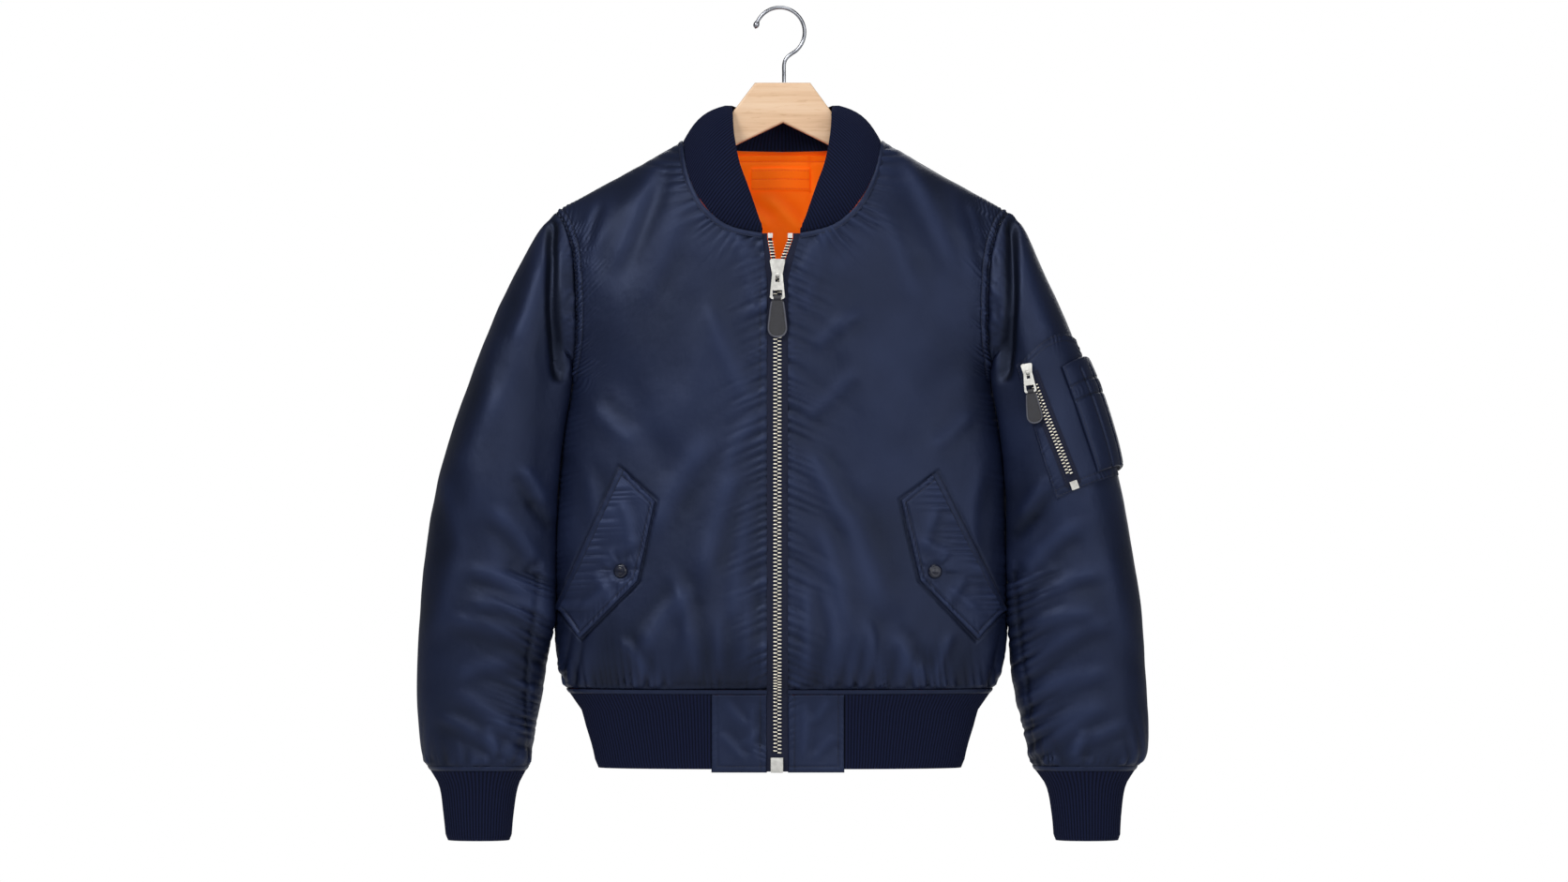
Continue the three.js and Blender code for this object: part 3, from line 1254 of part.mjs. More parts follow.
// A patch on the sleeve between two left corners and the outer edge
function sleevePatch(patch) {
  const topLeft = sleeveAt(...patch.topLeft);
  const bottomLeft = sleeveAt(...patch.bottomLeft);
  const topRight = [patch.rightAngle, outerRowAt(patch.topRightDown)];
  const bottomRight = [patch.rightAngle, outerRowAt(patch.bottomRightDown)];
  return (u, v) => {
    const left = [mix(topLeft[0], bottomLeft[0], v), mix(topLeft[1], bottomLeft[1], v)];
    const right = [mix(topRight[0], bottomRight[0], v), mix(topRight[1], bottomRight[1], v)];
    return onSleeve(mix(left[0], right[0], u), mix(left[1], right[1], u));
  };
}

// A strip on the sleeve pocket along its zip, between two distances off the zip's line
function sleeveZipPlace(from, to, start, end) {
  const [topX, topDown] = SLEEVE_ZIP.top;
  const [lowX, lowDown] = SLEEVE_ZIP.bottom;
  const length = Math.hypot(lowX - topX, lowDown - topDown);
  const offX = (lowDown - topDown) / length;
  const offDown = -(lowX - topX) / length;
  return (u, v) => {
    const t = mix(start, end, v);
    const away = mix(from, to, u);
    return onSleeve(...sleeveAt(mix(topX, lowX, t) + offX * away, mix(topDown, lowDown, t) + offDown * away));
  };
}

// Turns a mesh so that its own -Y points along a direction, leaning its length by an angle
function faceAlong(mesh, point, out, lean) {
  const up = vector(Math.sin(lean), 0, Math.cos(lean));
  up.addScaledVector(out, -up.dot(out)).normalize();
  const back = out.clone().negate();
  const right = back.clone().cross(up).normalize();
  mesh.quaternion.setFromRotationMatrix(new THREE.Matrix4().makeBasis(right, back, up));
  mesh.position.copy(point);
}

function hangerGeometry() {
  const outline = [...HANGER_TOP, ...HANGER_BOTTOM, ...HANGER_LEFT];
  const shape = new THREE.Shape(outline.map(([x, down]) => new THREE.Vector2(x, -down)));
  const geometry = new THREE.ExtrudeGeometry(shape, {
    depth: HANGER_THICK - 2 * HANGER_BEVEL,
    bevelEnabled: true,
    bevelSize: HANGER_BEVEL,
    bevelThickness: HANGER_BEVEL,
    bevelOffset: -HANGER_BEVEL,
    bevelSegments: 2,
  });
  geometry.translate(0, 0, HANGER_BEVEL - HANGER_THICK / 2);
  return geometry.rotateX(Math.PI / 2);
}

// Hook: a wire swept along its loop and shaft, growing to a small ball at the free tip
function hookGeometry() {
  const line = [];
  for (let degrees = HOOK.from; degrees >= HOOK.to; degrees -= HOOK.step) {
    const angle = THREE.MathUtils.degToRad(degrees);
    line.push(vector(
      HOOK.centreX + HOOK.loop * Math.cos(angle), 0, -HOOK.centreDown + HOOK.loop * Math.sin(angle),
    ));
  }
  line.push(...HOOK_SHAFT.map(([x, down]) => vector(x, 0, -down)));
  const curve = new THREE.CatmullRomCurve3(line);
  const grid = [];
  const normal = vector(0, 1, 0);
  const ballRings = HOOK_BALL.length - 1;
  const ballEnd = ballRings * HOOK_BALL_STEP;
  for (let i = 0; i <= HOOK.rings; i += 1) {
    const shaft = (i - ballRings) / (HOOK.rings - ballRings);
    const t = i < ballRings ? i * HOOK_BALL_STEP : mix(ballEnd, 1, shaft);
    const centre = curve.getPointAt(Math.min(t, 1));
    const along = curve.getTangentAt(Math.min(t, 1));
    const side = along.clone().cross(normal).normalize();
    const radius = i < HOOK_BALL.length ? HOOK_BALL[i] : HOOK.wire;
    const ring = [];
    for (let c = 0; c < HOOK.sides; c += 1) {
      const angle = (2 * Math.PI * c) / HOOK.sides;
      ring.push(centre.clone().addScaledVector(side, radius * Math.cos(angle))
        .addScaledVector(normal, radius * Math.sin(angle)));
    }
    grid.push(ring);
  }
  return closedRod(grid);
}

// Closes a stack of rings with a fan at each end
function closedRod(grid) {
  const sides = grid[0].length;
  const positions = grid.flat().flatMap((p) => [p.x, p.y, p.z]);
  const faces = [];
  const id = (r, c) => r * sides + (c % sides);
  for (let r = 0; r < grid.length - 1; r += 1) {
    for (let c = 0; c < sides; c += 1) {
      faces.push(id(r, c), id(r, c + 1), id(r + 1, c + 1), id(r, c), id(r + 1, c + 1), id(r + 1, c));
    }
  }
  const last = grid.length - 1;
  for (let c = 1; c < sides - 1; c += 1) {
    faces.push(id(0, 0), id(0, c + 1), id(0, c));
    faces.push(id(last, 0), id(last, c), id(last, c + 1));
  }
  return facingOut(positions, faces);
}

// Cloth panels
addPiece('front_left', frontPanel(-1), NYLON);
addPiece('front_right', frontPanel(1), NYLON);
addPiece('back', backPanel(), NYLON);
for (const side of [-1, 1]) {
  const name = side < 0 ? 'left' : 'right';
  addPiece(`sleeve_${name}`, sleeve(side), NYLON);
  addPiece(`cuff_band_${name}`, ribbedTube(CUFF_BAND, side, 0, CUFF_BAND_STEPS, 0), NYLON);
  addPiece(`cuff_rib_${name}`, ribbedTube(CUFF, side, CUFF_RIBS, CUFF_INNER_STEPS, RIB_RAISE), KNIT);
}
addPiece('collar_rib', collar(), KNIT);
addPiece('collar_binding', collarBinding(), NYLON);

// Hem
const bandLevels = [HEM_BAND.top, HEM_BAND.bottom];
addPiece('hem_band', hemWall(
  bandLevels, FRONT_EDGE.right.below, -FRONT_EDGE.left.below, HEM_BAND_STEPS, 1, 0, HEM_BAND.proud,
), NYLON);
const ribRight = HEM_TABS.right.outer + SEAM_GAP;
const ribLeft = HEM_TABS.left.outer - SEAM_GAP;
addPiece('hem_rib', hemWall(
  HEM_RIB.rows, ribRight, ribLeft, HEM_RIBS / 2, 4, RIB_RAISE, HEM_RIB_OUT,
), KNIT);
addPiece('hem_tab_left', hemTab(HEM_TABS.left.inner, HEM_TABS.left.outer), NYLON);
addPiece('hem_tab_right', hemTab(HEM_TABS.right.inner, HEM_TABS.right.outer), NYLON);

// Lining
addPiece('lining_back', lining(), ORANGE);
addPiece('lining_label', liningPatch(), ORANGE);

// Main zip
addPiece('zip_tape_left', zipTape(-1), TAPE_CLOTH);
addPiece('zip_tape_right', zipTape(1), TAPE_CLOTH);
addPiece('zip_chain', chain(), METAL);
for (const side of [-1, 1]) {
  const name = side < 0 ? 'left' : 'right';
  addPiece(`zip_open_${name}`, openChain(side), METAL);
  const stop = addPiece(`zip_stop_${name}`, new THREE.BoxGeometry(...STOP.size), METAL);
  const x = STOP_X[name];
  stop.position.copy(bodyPoint(x, STOP.down, -1)).add(vector(0, STOP.sunk, 0));
}
const box = addPiece('zip_box', new THREE.BoxGeometry(ZIP_BOX.wide, ZIP_BOX.thick, ZIP_BOX.tall), METAL);
box.position.copy(bodyPoint(ZIP_X + ZIP_BOX.aside, ZIP_BOX.down, -1));
box.position.y += ZIP_BOX.sunk - ZIP_BOX.thick / 2;

const sliderFace = bodyDepth(ZIP_X, SLIDER.down + SLIDER.tall / 2, -1) - CHAIN.proud - SLIDER.clear;
const mainAxis = vector(MAIN_PULL.x, sliderFace - SLIDER.thick - PULL.axisOut, -MAIN_PULL.down);
zipPull('zip', SLIDER, mainAxis, MAIN_PULL.scale, MAIN_PULL.lean, MAIN_PULL.down - SLIDER.down);

// Front pockets
for (const side of [-1, 1]) {
  const name = side < 0 ? 'left' : 'right';
  const flap = FLAPS[name];
  addPiece(`pocket_flap_${name}`, patchGeometry(
    flapPlace(flap), FLAP.lift, FLAP.thick, FLAP.across, FLAP.along,
  ), NYLON);
  addPiece(`pocket_welt_${name}`, weltGeometry(flap, side), NYLON);
  const snap = addPiece(`snap_${name}`, snapGeometry().rotateX(Math.PI), SNAP_METAL);
  const { point, out } = onFront(...flap.snap);
  faceAlong(snap, point.addScaledVector(out, FLAP.lift + FLAP.thick + SNAP.lift), out, 0);
}

// Sleeve pocket
addPiece('sleeve_pocket', patchGeometry(
  sleevePatch(POCKET), POCKET.lift, POCKET.thick, POCKET.across, POCKET.along,
), NYLON);
const penThick = (u, v) => {
  const across = Math.sin(Math.PI * u) ** PEN.domeAcross;
  const along = Math.sin(Math.PI * mix(PEN.edge, 1 - PEN.edge, v)) ** PEN.domeAlong;
  return PEN.thick + PEN.dome * across * along;
};
addPiece('pen_pocket', patchGeometry(sleevePatch(PEN), PEN.lift, penThick, PEN.across, PEN.along), NYLON);
const tapeStrip = sleeveZipPlace(-SLEEVE_ZIP.tapeHalf, SLEEVE_ZIP.tapeHalf, SLEEVE_ZIP.tapeFrom, 1);
addPiece('sleeve_zip_tape', patchGeometry(
  tapeStrip, SLEEVE_ZIP.lift, SLEEVE_ZIP.tapeThick, 2, SLEEVE_ZIP.along,
), TAPE_CLOTH);
const chainLift = SLEEVE_ZIP.lift + SLEEVE_ZIP.tapeThick + SEAM_GAP;
const chainStrip = sleeveZipPlace(
  -SLEEVE_ZIP.chainHalf, SLEEVE_ZIP.chainHalf, SLEEVE_ZIP.chainFrom, SLEEVE_ZIP.chainTo,
);
addPiece('sleeve_zip_chain', patchGeometry(
  chainStrip, chainLift, SLEEVE_ZIP.chainThick, 1, SLEEVE_ZIP.along,
), METAL);

const sliderSpot = sleeveZipPlace(0, 0, SLEEVE_SLIDER.at, SLEEVE_SLIDER.at)(0, 0);
const pullScale = SLEEVE_PULL.scale;
const pocketOut = chainLift + SLEEVE_SLIDER.thick + (PULL.axisOut + SLEEVE_PULL.clear) * pullScale;
zipPull(
  'sleeve_zip', SLEEVE_SLIDER, sliderSpot.point.clone().addScaledVector(sliderSpot.out, pocketOut),
  pullScale, -SLEEVE_PULL.lean, SLEEVE_PULL.rise,
);
const boxSpot = sleeveZipPlace(0, 0, SLEEVE_BOX.at, SLEEVE_BOX.at)(0, 0);
const boxLift = chainLift + SLEEVE_BOX.thick / 2 + SLEEVE_BOX.clear;
const endBox = addPiece('sleeve_zip_box', new THREE.BoxGeometry(
  SLEEVE_BOX.wide, SLEEVE_BOX.thick, SLEEVE_BOX.tall,
), METAL);
faceAlong(endBox, boxSpot.point.clone().addScaledVector(boxSpot.out, boxLift), boxSpot.out, SLEEVE_BOX.lean);

// Hanger and hook
addPiece('hanger', hangerGeometry(), WOOD);
addPiece('hook', hookGeometry(), WIRE);

export default jacket;
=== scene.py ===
"""Looks of a zip-front bomber jacket on a wooden hanger.

Every new surface is a function of two parameters on a grid, worked out with numpy as whole arrays.
Lengths are millimetres: x grows to the viewer's right, y to the back of the garment, and down is
the distance below the inside top of the hook. Only put_mesh turns them into metres.
"""

import math

import bpy
import numpy as np
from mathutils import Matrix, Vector


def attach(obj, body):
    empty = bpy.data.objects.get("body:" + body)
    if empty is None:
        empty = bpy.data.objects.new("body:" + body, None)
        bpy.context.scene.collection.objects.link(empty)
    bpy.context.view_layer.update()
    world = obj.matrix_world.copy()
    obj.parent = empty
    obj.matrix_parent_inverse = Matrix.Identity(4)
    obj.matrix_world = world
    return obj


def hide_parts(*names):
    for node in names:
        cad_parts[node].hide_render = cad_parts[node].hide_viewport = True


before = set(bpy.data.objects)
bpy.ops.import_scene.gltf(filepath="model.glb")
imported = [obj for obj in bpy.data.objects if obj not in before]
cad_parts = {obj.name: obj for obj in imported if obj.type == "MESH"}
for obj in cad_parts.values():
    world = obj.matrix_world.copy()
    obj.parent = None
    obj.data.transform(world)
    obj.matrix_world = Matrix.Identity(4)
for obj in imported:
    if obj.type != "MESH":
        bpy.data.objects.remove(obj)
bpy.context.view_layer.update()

# Picture frame and camera
PICTURE = (1672, 941)
AXIS_PIXEL = 834
TOP_PIXEL = 10
CAMERA_AWAY = 8.0
SENSOR = 36.0

# Cloth and gaps
MM = 0.001
CLOTH = 2.6
RIB_WALL = 2.6
SEAM_GAP = 0.3
HALF_GAP = SEAM_GAP / 2

# Body: half width, sideways shift, and depth of front and back at each height
BODY_POWER = 2.5
BODY = {
    "down": (140, 216, 300, 350, 392, 440, 480, 550, 630, 675, 700, 714, 724, 736, 746, 762, 785, 803, 813),
    "half": (
        247, 247, 244, 236, 226, 232, 237.5, 241, 242, 240, 236, 231, 227, 218, 210.5, 206, 199, 195, 193,
    ),
    "shift": (0, 0, 0, 0, 0, 0, 0, -1, -1, -1.5, -2, -2.5, -2.5, -2.5, -2.5, -2.5, -2.5, -2.5, -2.5),
    "front": (56, 62, 69, 72, 74, 76, 78, 81, 84, 86, 81, 73, 64, 59, 57, 55.5, 54, 54, 53.5),
    "back": (47, 56, 64, 68, 71, 74, 76, 78, 80, 81, 77, 69, 60, 55, 53, 52, 50, 50, 49.5),
}
NECK_POINT = (105, 141)
SHOULDER_POINT = (241.5, 216)
SHOULDER_ROUND = 100
ARMHOLE = {
    "down": (216, 230, 258, 290, 330, 360, 380, 392),
    "x": (241.5, 232, 223.5, 220, 219, 221, 224, 226),
}
NECKLINE = ((105, 141), (99, 174), (86, 203), (70, 221.5), (51, 233.5), (20, 240))
BACK_NECK_DOWN = 150
UNDERARM_DOWN = 392
HEM_DOWN = 724
OPEN_DOWN = 290
FRONT_EDGE = {-1: (21, 16.2), 1: (19, 6.2)}
SIDE_NAME = {-1: "left", 1: "right"}

# Largest folds, the same as in the solids: side, x1, down1, x2, down2, width, height
BODY_FOLDS = (
    (-1, 118, 160, 176, 300, 15, -3.5),
    (-1, 148, 178, 205, 262, 12, 3.0),
    (-1, 60, 300, 112, 470, 20, 3.0),
    (-1, 175, 380, 120, 505, 18, -3.0),
    (-1, 70, 560, 84, 690, 15, 3.5),
    (-1, 112, 640, 120, 706, 13, -3.5),
    (1, 120, 158, 186, 285, 15, -3.5),
    (1, 152, 180, 204, 258, 12, 3.0),
    (1, 55, 290, 100, 455, 20, 3.0),
    (1, 178, 372, 128, 500, 18, -3.0),
    (1, 66, 575, 88, 694, 15, 3.5),
    (1, 118, 636, 124, 706, 13, -3.5),
)
BACK_FOLDS = (
    (-1, 90, 175, 180, 330, 18, -3.5),
    (1, 96, 172, 172, 318, 18, -3.5),
    (-1, 60, 420, 40, 640, 22, 3.0),
    (1, 74, 440, 52, 668, 22, 3.0),
    (1, 150, 520, 140, 700, 18, -3.0),
    (-1, 156, 540, 138, 700, 18, -3.0),
)

# Sleeve sections from the armhole to the cuff, as seen from the front
SLEEVE_POWER = 2.2
SLEEVE = {
    "row": tuple(range(17)),
    "outLeft": (
        241.5, 255.5, 269, 286, 303, 321, 336, 350, 362, 373.5, 380.5, 385.5, 388, 389, 387.5, 383.5, 380,
    ),
    "outRight": (241.5, 256, 267, 281, 298, 315, 329, 342, 354, 365, 374, 382, 386.5, 389, 390, 388, 381),
    "outDown": (216, 231, 252, 284, 320, 363, 402, 442, 482, 532, 580, 632, 685, 730, 760, 790, 806),
    "inLeft": (226, 231, 239, 244, 245, 244, 243.5, 244, 245.5, 246.5, 247, 248, 251, 256, 262, 266.5, 268.5),
    "inRight": (
        226, 231, 238, 242.5, 243.5, 243, 243, 243.5, 244, 244.5, 244.5, 244.5, 243.5, 248, 255, 261.5, 265.5,
    ),
    "inDown": (392, 382, 381, 396, 422, 450, 480, 512, 545, 582, 618, 655, 695, 732, 761, 790, 806),
    "reachLeft": (0, 3.5, 10, 14.2, 12.8, 8.6, 4.2, 1.9, 2.0, 2.3, 2.6, 3.8, 1, 0, 0, 0, 0),
    "reachRight": (0, 3.5, 9, 12.7, 11.3, 7.6, 3.8, 2.4, 2.2, 2.2, 2.2, 2.8, 0.5, 0, 0, 0, 0),
    "deep": (40, 44, 49, 54, 58, 60, 62, 62, 61, 60, 58, 56, 53, 50, 47, 44, 42),
}
LAST_ROW = 16
REACH_SHARE = 0.3
TUCK = {"deep": 8.5, "more": 4.5, "more_row": 3.2, "angle": 2.7, "spread": 0.28}
SLEEVE_FOLDS = (
    (1.1, 3.5, 0.35, 1.6, -3.5),
    (1.9, 5.5, 0.4, 1.2, -4),
    (1.2, 8, 0.45, 1.0, 3),
    (2.2, 9.2, 0.45, 0.7, -4),
    (1.8, 11, 0.5, 0.7, 3),
    (2.3, 12.6, 0.4, 0.8, -3),
    (4.4, 4.5, 0.45, 1.4, -4),
    (4.9, 8.5, 0.45, 1.1, 3),
    (4.2, 10.4, 0.45, 0.8, -4),
    (5.0, 12.4, 0.45, 0.9, -3),
)
CUFF_BAND = {
    "down": (806.3, 811.5),
    "outLeft": (378, 375), "outRight": (379, 376), "inLeft": (270, 273), "inRight": (267, 270),
    "deep": (41, 39),
}
CUFF = {
    "down": (811.8, 828, 858, 886),
    "outLeft": (374, 365, 360.5, 357.5), "outRight": (375, 365.5, 361, 359.5),
    "inLeft": (274, 282, 287, 289.5), "inRight": (271, 282, 288, 290.5),
    "deep": (38, 33, 30.5, 29.5),
}

# Collar: free edge from beside the neck to the zip, then from beside the neck to the middle back
COLLAR_FRONT_EDGE = (
    (54, 4, 101.5), (52.5, -15, 110), (50.5, -31, 134), (45, -46, 163), (36.5, -57, 187),
    (28.5, -63, 210), (21.5, -66, 231),
)
COLLAR_BACK_EDGE = ((54, 4, 101.5), (47, 21, 103), (27, 33, 105), (0, 38, 106))
COLLAR_BULGE = 9
BINDING_WIDTH = 6

# Hem
HEM_BAND = (724.3, 729)
HEM_RIB = (729.3, 808.5)
TAB_BOTTOM = 812
HEM_TABS = {-1: (-16.2, -75), 1: (6.2, 66)}
RIB_PITCH = 3.3
RIB_HEIGHT = 0.75

# Main zip
ZIP_X = -5
CHAIN_HALF = 4.15
TAPE_BOTTOM = 811
STOP_X = {-1: -12.5, 1: 8.5}
TEETH_PITCH = 4.0

# Stitches, in millimetres
STITCH = {"long": 2.3, "pitch": 3.1, "wide": 0.62, "high": 0.5}

# Lights: name, place, size and power
LIGHTS = (
    ("key light", (-2.2, -3.4, 1.9), 1.6, 98),
    ("fill light", (2.9, -3.2, 0.2), 2.2, 34),
    ("front light", (0.7, -5.4, 0.7), 2.6, 62),
    ("top light", (0.2, -1.0, 2.4), 1.6, 30),
    ("back light", (0.6, 3.8, 0.9), 2.8, 45),
)
FLOOR_LEVEL = -1.2
FLOOR_SIZE = 6.0
MIDDLE_LEVEL = -0.46

# Seams as rows of nine numbers: place, outward direction, and direction across the seam
ARM_ROWS = 8
NECK_ROWS = 6
SEAM_STEPS = 120
SHOULDER_LEAN = (0.48, 0.877)
NECK_LEAN = (0.55, 0.84)

# Creases on each front: two ends and a bend between them, width and height
FRONT_CREASES = {
    -1: (
        (-129, 155, -150, 215, -184, 285, 9, 1.6),
        (-100, 205, -128, 260, -150, 330, 10, 1.0),
        (-194, 200, -208, 222, -214, 256, 5, 1.2),
        (-176, 190, -196, 230, -206, 300, 8, 1.0),
        (-72, 224, -30, 245, -22, 300, 6, 1.4),
        (-58, 236, -36, 262, -30, 330, 6, 1.0),
        (-84, 300, -64, 380, -26, 430, 9, 1.1),
        (-75, 452, -112, 500, -142, 566, 12, 2.2),
        (-44, 476, -72, 540, -88, 618, 11, 2.2),
        (-30, 500, -50, 590, -52, 660, 9, 1.8),
        (-22, 430, -44, 450, -66, 500, 7, 1.2),
        (-120, 590, -96, 650, -92, 716, 8, 1.9),
        (-152, 690, -128, 640, -88, 612, 9, 1.7),
        (-176, 668, -150, 690, -140, 718, 6, 1.6),
        (-66, 640, -70, 690, -62, 716, 6, 1.5),
        (-38, 600, -34, 660, -42, 715, 6, 1.4),
        (-205, 420, -180, 450, -150, 462, 9, 1.2),
        (-212, 480, -190, 540, -196, 600, 8, 1.2),
    ),
    1: (
        (127, 152, 152, 212, 186, 280, 9, 1.6),
        (98, 200, 124, 262, 148, 326, 10, 1.0),
        (196, 202, 208, 226, 212, 258, 5, 1.2),
        (178, 188, 196, 232, 204, 304, 8, 1.0),
        (70, 222, 30, 246, 16, 300, 6, 1.4),
        (56, 238, 34, 266, 22, 336, 6, 1.0),
        (92, 322, 60, 330, 30, 366, 8, 1.3),
        (80, 380, 50, 420, 16, 440, 8, 1.2),
        (27, 470, 48, 510, 66, 548, 10, 2.0),
        (60, 520, 90, 590, 106, 640, 12, 2.2),
        (36, 540, 60, 600, 66, 664, 9, 1.8),
        (118, 660, 132, 700, 154, 717, 8, 2.4),
        (86, 640, 100, 690, 98, 716, 7, 1.6),
        (182, 660, 166, 690, 160, 717, 6, 1.6),
        (24, 600, 28, 660, 24, 716, 6, 1.4),
        (206, 424, 180, 452, 152, 470, 9, 1.2),
        (212, 480, 196, 540, 200, 596, 8, 1.2),
        (54, 690, 60, 660, 44, 620, 6, 1.3),
    ),
}
BACK_CREASES = (
    (-96, 176, -140, 220, -188, 300, 11, 1.7),
    (100, 174, 138, 224, 184, 296, 11, 1.7),
    (-60, 180, -84, 240, -120, 330, 12, 1.2),
    (64, 182, 80, 244, 116, 322, 12, 1.2),
    (-200, 360, -150, 400, -110, 470, 12, 1.6),
    (204, 366, 156, 398, 112, 462, 12, 1.6),
    (-40, 430, -62, 520, -50, 620, 12, 1.8),
    (58, 440, 40, 540, 62, 640, 12, 1.8),
    (-150, 480, -128, 570, -140, 660, 11, 1.6),
    (148, 500, 126, 590, 132, 668, 11, 1.6),
    (-100, 600, -88, 660, -98, 716, 8, 1.6),
    (0, 590, 12, 650, 4, 714, 8, 1.6),
    (104, 604, 92, 664, 98, 716, 8, 1.6),
    (-196, 560, -186, 630, -190, 700, 9, 1.4),
    (196, 566, 186, 632, 192, 700, 9, 1.4),
    (-20, 300, 0, 380, -10, 460, 14, 1.1),
)

# Creases on each sleeve, as seen from the front, with x outwards
SLEEVE_CREASES = {
    -1: (
        (246, 250, 262, 300, 290, 372, 9, 1.5),
        (262, 300, 276, 350, 296, 430, 10, 1.2),
        (279, 486, 262, 500, 250, 533, 7, 2.4),
        (268, 520, 252, 546, 241, 558, 8, -1.5),
        (315, 531, 276, 548, 257, 598, 9, 2.6),
        (298, 588, 278, 606, 258, 612, 8, -1.3),
        (339, 598, 300, 596, 262, 622, 8, 2.0),
        (334, 634, 300, 628, 264, 648, 8, 1.8),
        (360, 650, 310, 650, 270, 674, 9, 1.8),
        (350, 712, 310, 690, 272, 700, 9, 1.7),
        (352, 726, 310, 740, 280, 780, 9, 1.6),
        (372, 752, 330, 760, 300, 792, 7, 1.7),
        (316, 760, 306, 774, 304, 800, 6, 2.2),
        (300, 400, 320, 460, 350, 500, 14, 1.2),
        (340, 560, 350, 620, 372, 680, 12, 1.3),
        (366, 480, 352, 540, 330, 590, 10, 1.2),
    ),
    1: (
        (246, 246, 264, 300, 288, 366, 9, 1.5),
        (288, 500, 266, 512, 252, 546, 7, 2.2),
        (270, 534, 252, 556, 241, 568, 8, -1.5),
        (322, 546, 278, 562, 254, 606, 9, 2.4),
        (302, 600, 276, 618, 252, 628, 8, -1.3),
        (345, 600, 300, 600, 254, 634, 8, 2.0),
        (338, 644, 300, 638, 256, 662, 8, 1.8),
        (356, 650, 300, 660, 262, 692, 9, 1.8),
        (350, 706, 306, 706, 268, 732, 9, 1.7),
        (350, 740, 306, 750, 276, 786, 9, 1.6),
        (372, 760, 336, 768, 300, 794, 7, 1.6),
        (322, 764, 312, 778, 310, 800, 6, 2.0),
        (340, 560, 352, 620, 370, 690, 12, 1.3),
    ),
}
SLEEVE_BACK_CREASES = (
    (248, 260, 270, 330, 300, 400, 10, 1.6),
    (246, 420, 290, 440, 340, 500, 11, 1.9),
    (250, 500, 296, 500, 350, 540, 10, 1.9),
    (252, 570, 300, 560, 352, 590, 10, 1.8),
    (258, 650, 300, 630, 356, 646, 10, 1.8),
    (266, 720, 306, 696, 356, 706, 9, 1.7),
    (280, 786, 312, 752, 352, 744, 8, 1.6),
)

# Trough beside each armhole and ruched seam of each sleeve, as lines x, down with x outwards
ARM_TROUGH = ((246, 216), (244.5, 262), (243, 320), (238.5, 372), (236, 402))
RUCHED_SEAM = {
    -1: ((259, 600), (262, 640), (267, 678), (270, 712), (271, 748), (269, 800)),
    1: ((247, 600), (249, 640), (253, 676), (258, 706), (262, 740), (266, 800)),
}

# Least and greatest height of the relief, and grid steps down and across
BODY_LIMITS = (-2.4, 6)
PANEL_STEPS = {"front": (370, 140), "back": (250, 170), "sleeve": (300, 128)}

# Grid points for each rib, and rows of the collar
RIB_POINTS = 6
COLLAR_ROWS = 10

# Heights at which the hem and the cuffs are measured round, and grid points round their bands
HEM_BAND_MIDDLE = 727.0
HEM_RIB_MIDDLE = 768.0
CUFF_MIDDLE = 850.0
CUFF_BAND_MIDDLE = 809.0
HEM_BAND_POINTS = 701
CUFF_BAND_POINTS = 240

# Creases on each hem tab
TAB_CREASES = {
    -1: (
        (-30, 735, -36, 765, -28, 800, 5, 1.3),
        (-60, 732, -52, 752, -34, 766, 5, 1.1),
        (-70, 770, -54, 780, -40, 800, 5, 0.9),
        (-22, 762, -30, 778, -48, 786, 5, 1.0),
    ),
    1: (
        (22, 735, 28, 765, 20, 800, 5, 1.3),
        (50, 732, 42, 750, 26, 762, 5, 1.1),
        (60, 772, 44, 780, 30, 802, 5, 0.9),
    ),
}

# Wire hook: loop, points of the shaft, and the tip as distance along the wire and radius
HOOK_LOOP = {"radius": 26.3, "x": -2.4, "down": 24.3, "start": 172, "end": -50}
HOOK_SHAFT = ((5.5, 51), (2.2, 58), (2, 68), (2, 78))
HOOK_TIP = (
    (0.0, 0.4), (0.3, 0.9), (0.9, 1.8), (1.5, 2.4), (2.3, 2.9),
    (3.3, 3.2), (4.3, 3.3), (5.6, 3.1), (6.8, 2.7), (8, 2.1),
)

# Lining inside the back, its patch and its creases
LINING_SIZE = {"top": 153, "bottom": 430, "half": 150, "below": 34, "behind": 5.3, "thick": 1.0}
PATCH = {"left": -34, "right": 30, "top": 166, "bottom": 191, "behind": 7.3, "thick": 0.8}
LINING_SEAM_X = 30
LINING_ROW_DOWN = 159.0
PATCH_ROW_DOWN = 178.0
LINING_CREASES = (
    (-60, 196, -40, 216, -8, 232, 7, 1.5),
    (-20, 198, 6, 214, 22, 240, 6, 1.4),
    (44, 180, 40, 214, 18, 236, 7, 1.4),
    (-46, 172, -44, 200, -30, 226, 6, 1.1),
    (70, 176, 60, 214, 50, 240, 8, 1.3),
)

# Open and closed chain
OPEN_CHAIN = {
    "half": 2.9, "apart": 2.6, "at_stop": 0.5, "start": 276, "end": 245.8,
    "pitch": 3.2, "core": 0.7, "points": 24,
}
CHAIN_DOWN = (280, 795.5)
CHAIN_PROUD = 0.7
CHAIN_POINTS = 260
CHAIN_THICK = 2.6
CHAIN_CORE = 1.085
TAPE_TOP = 240.6
TAPE_UNDER = 0.1

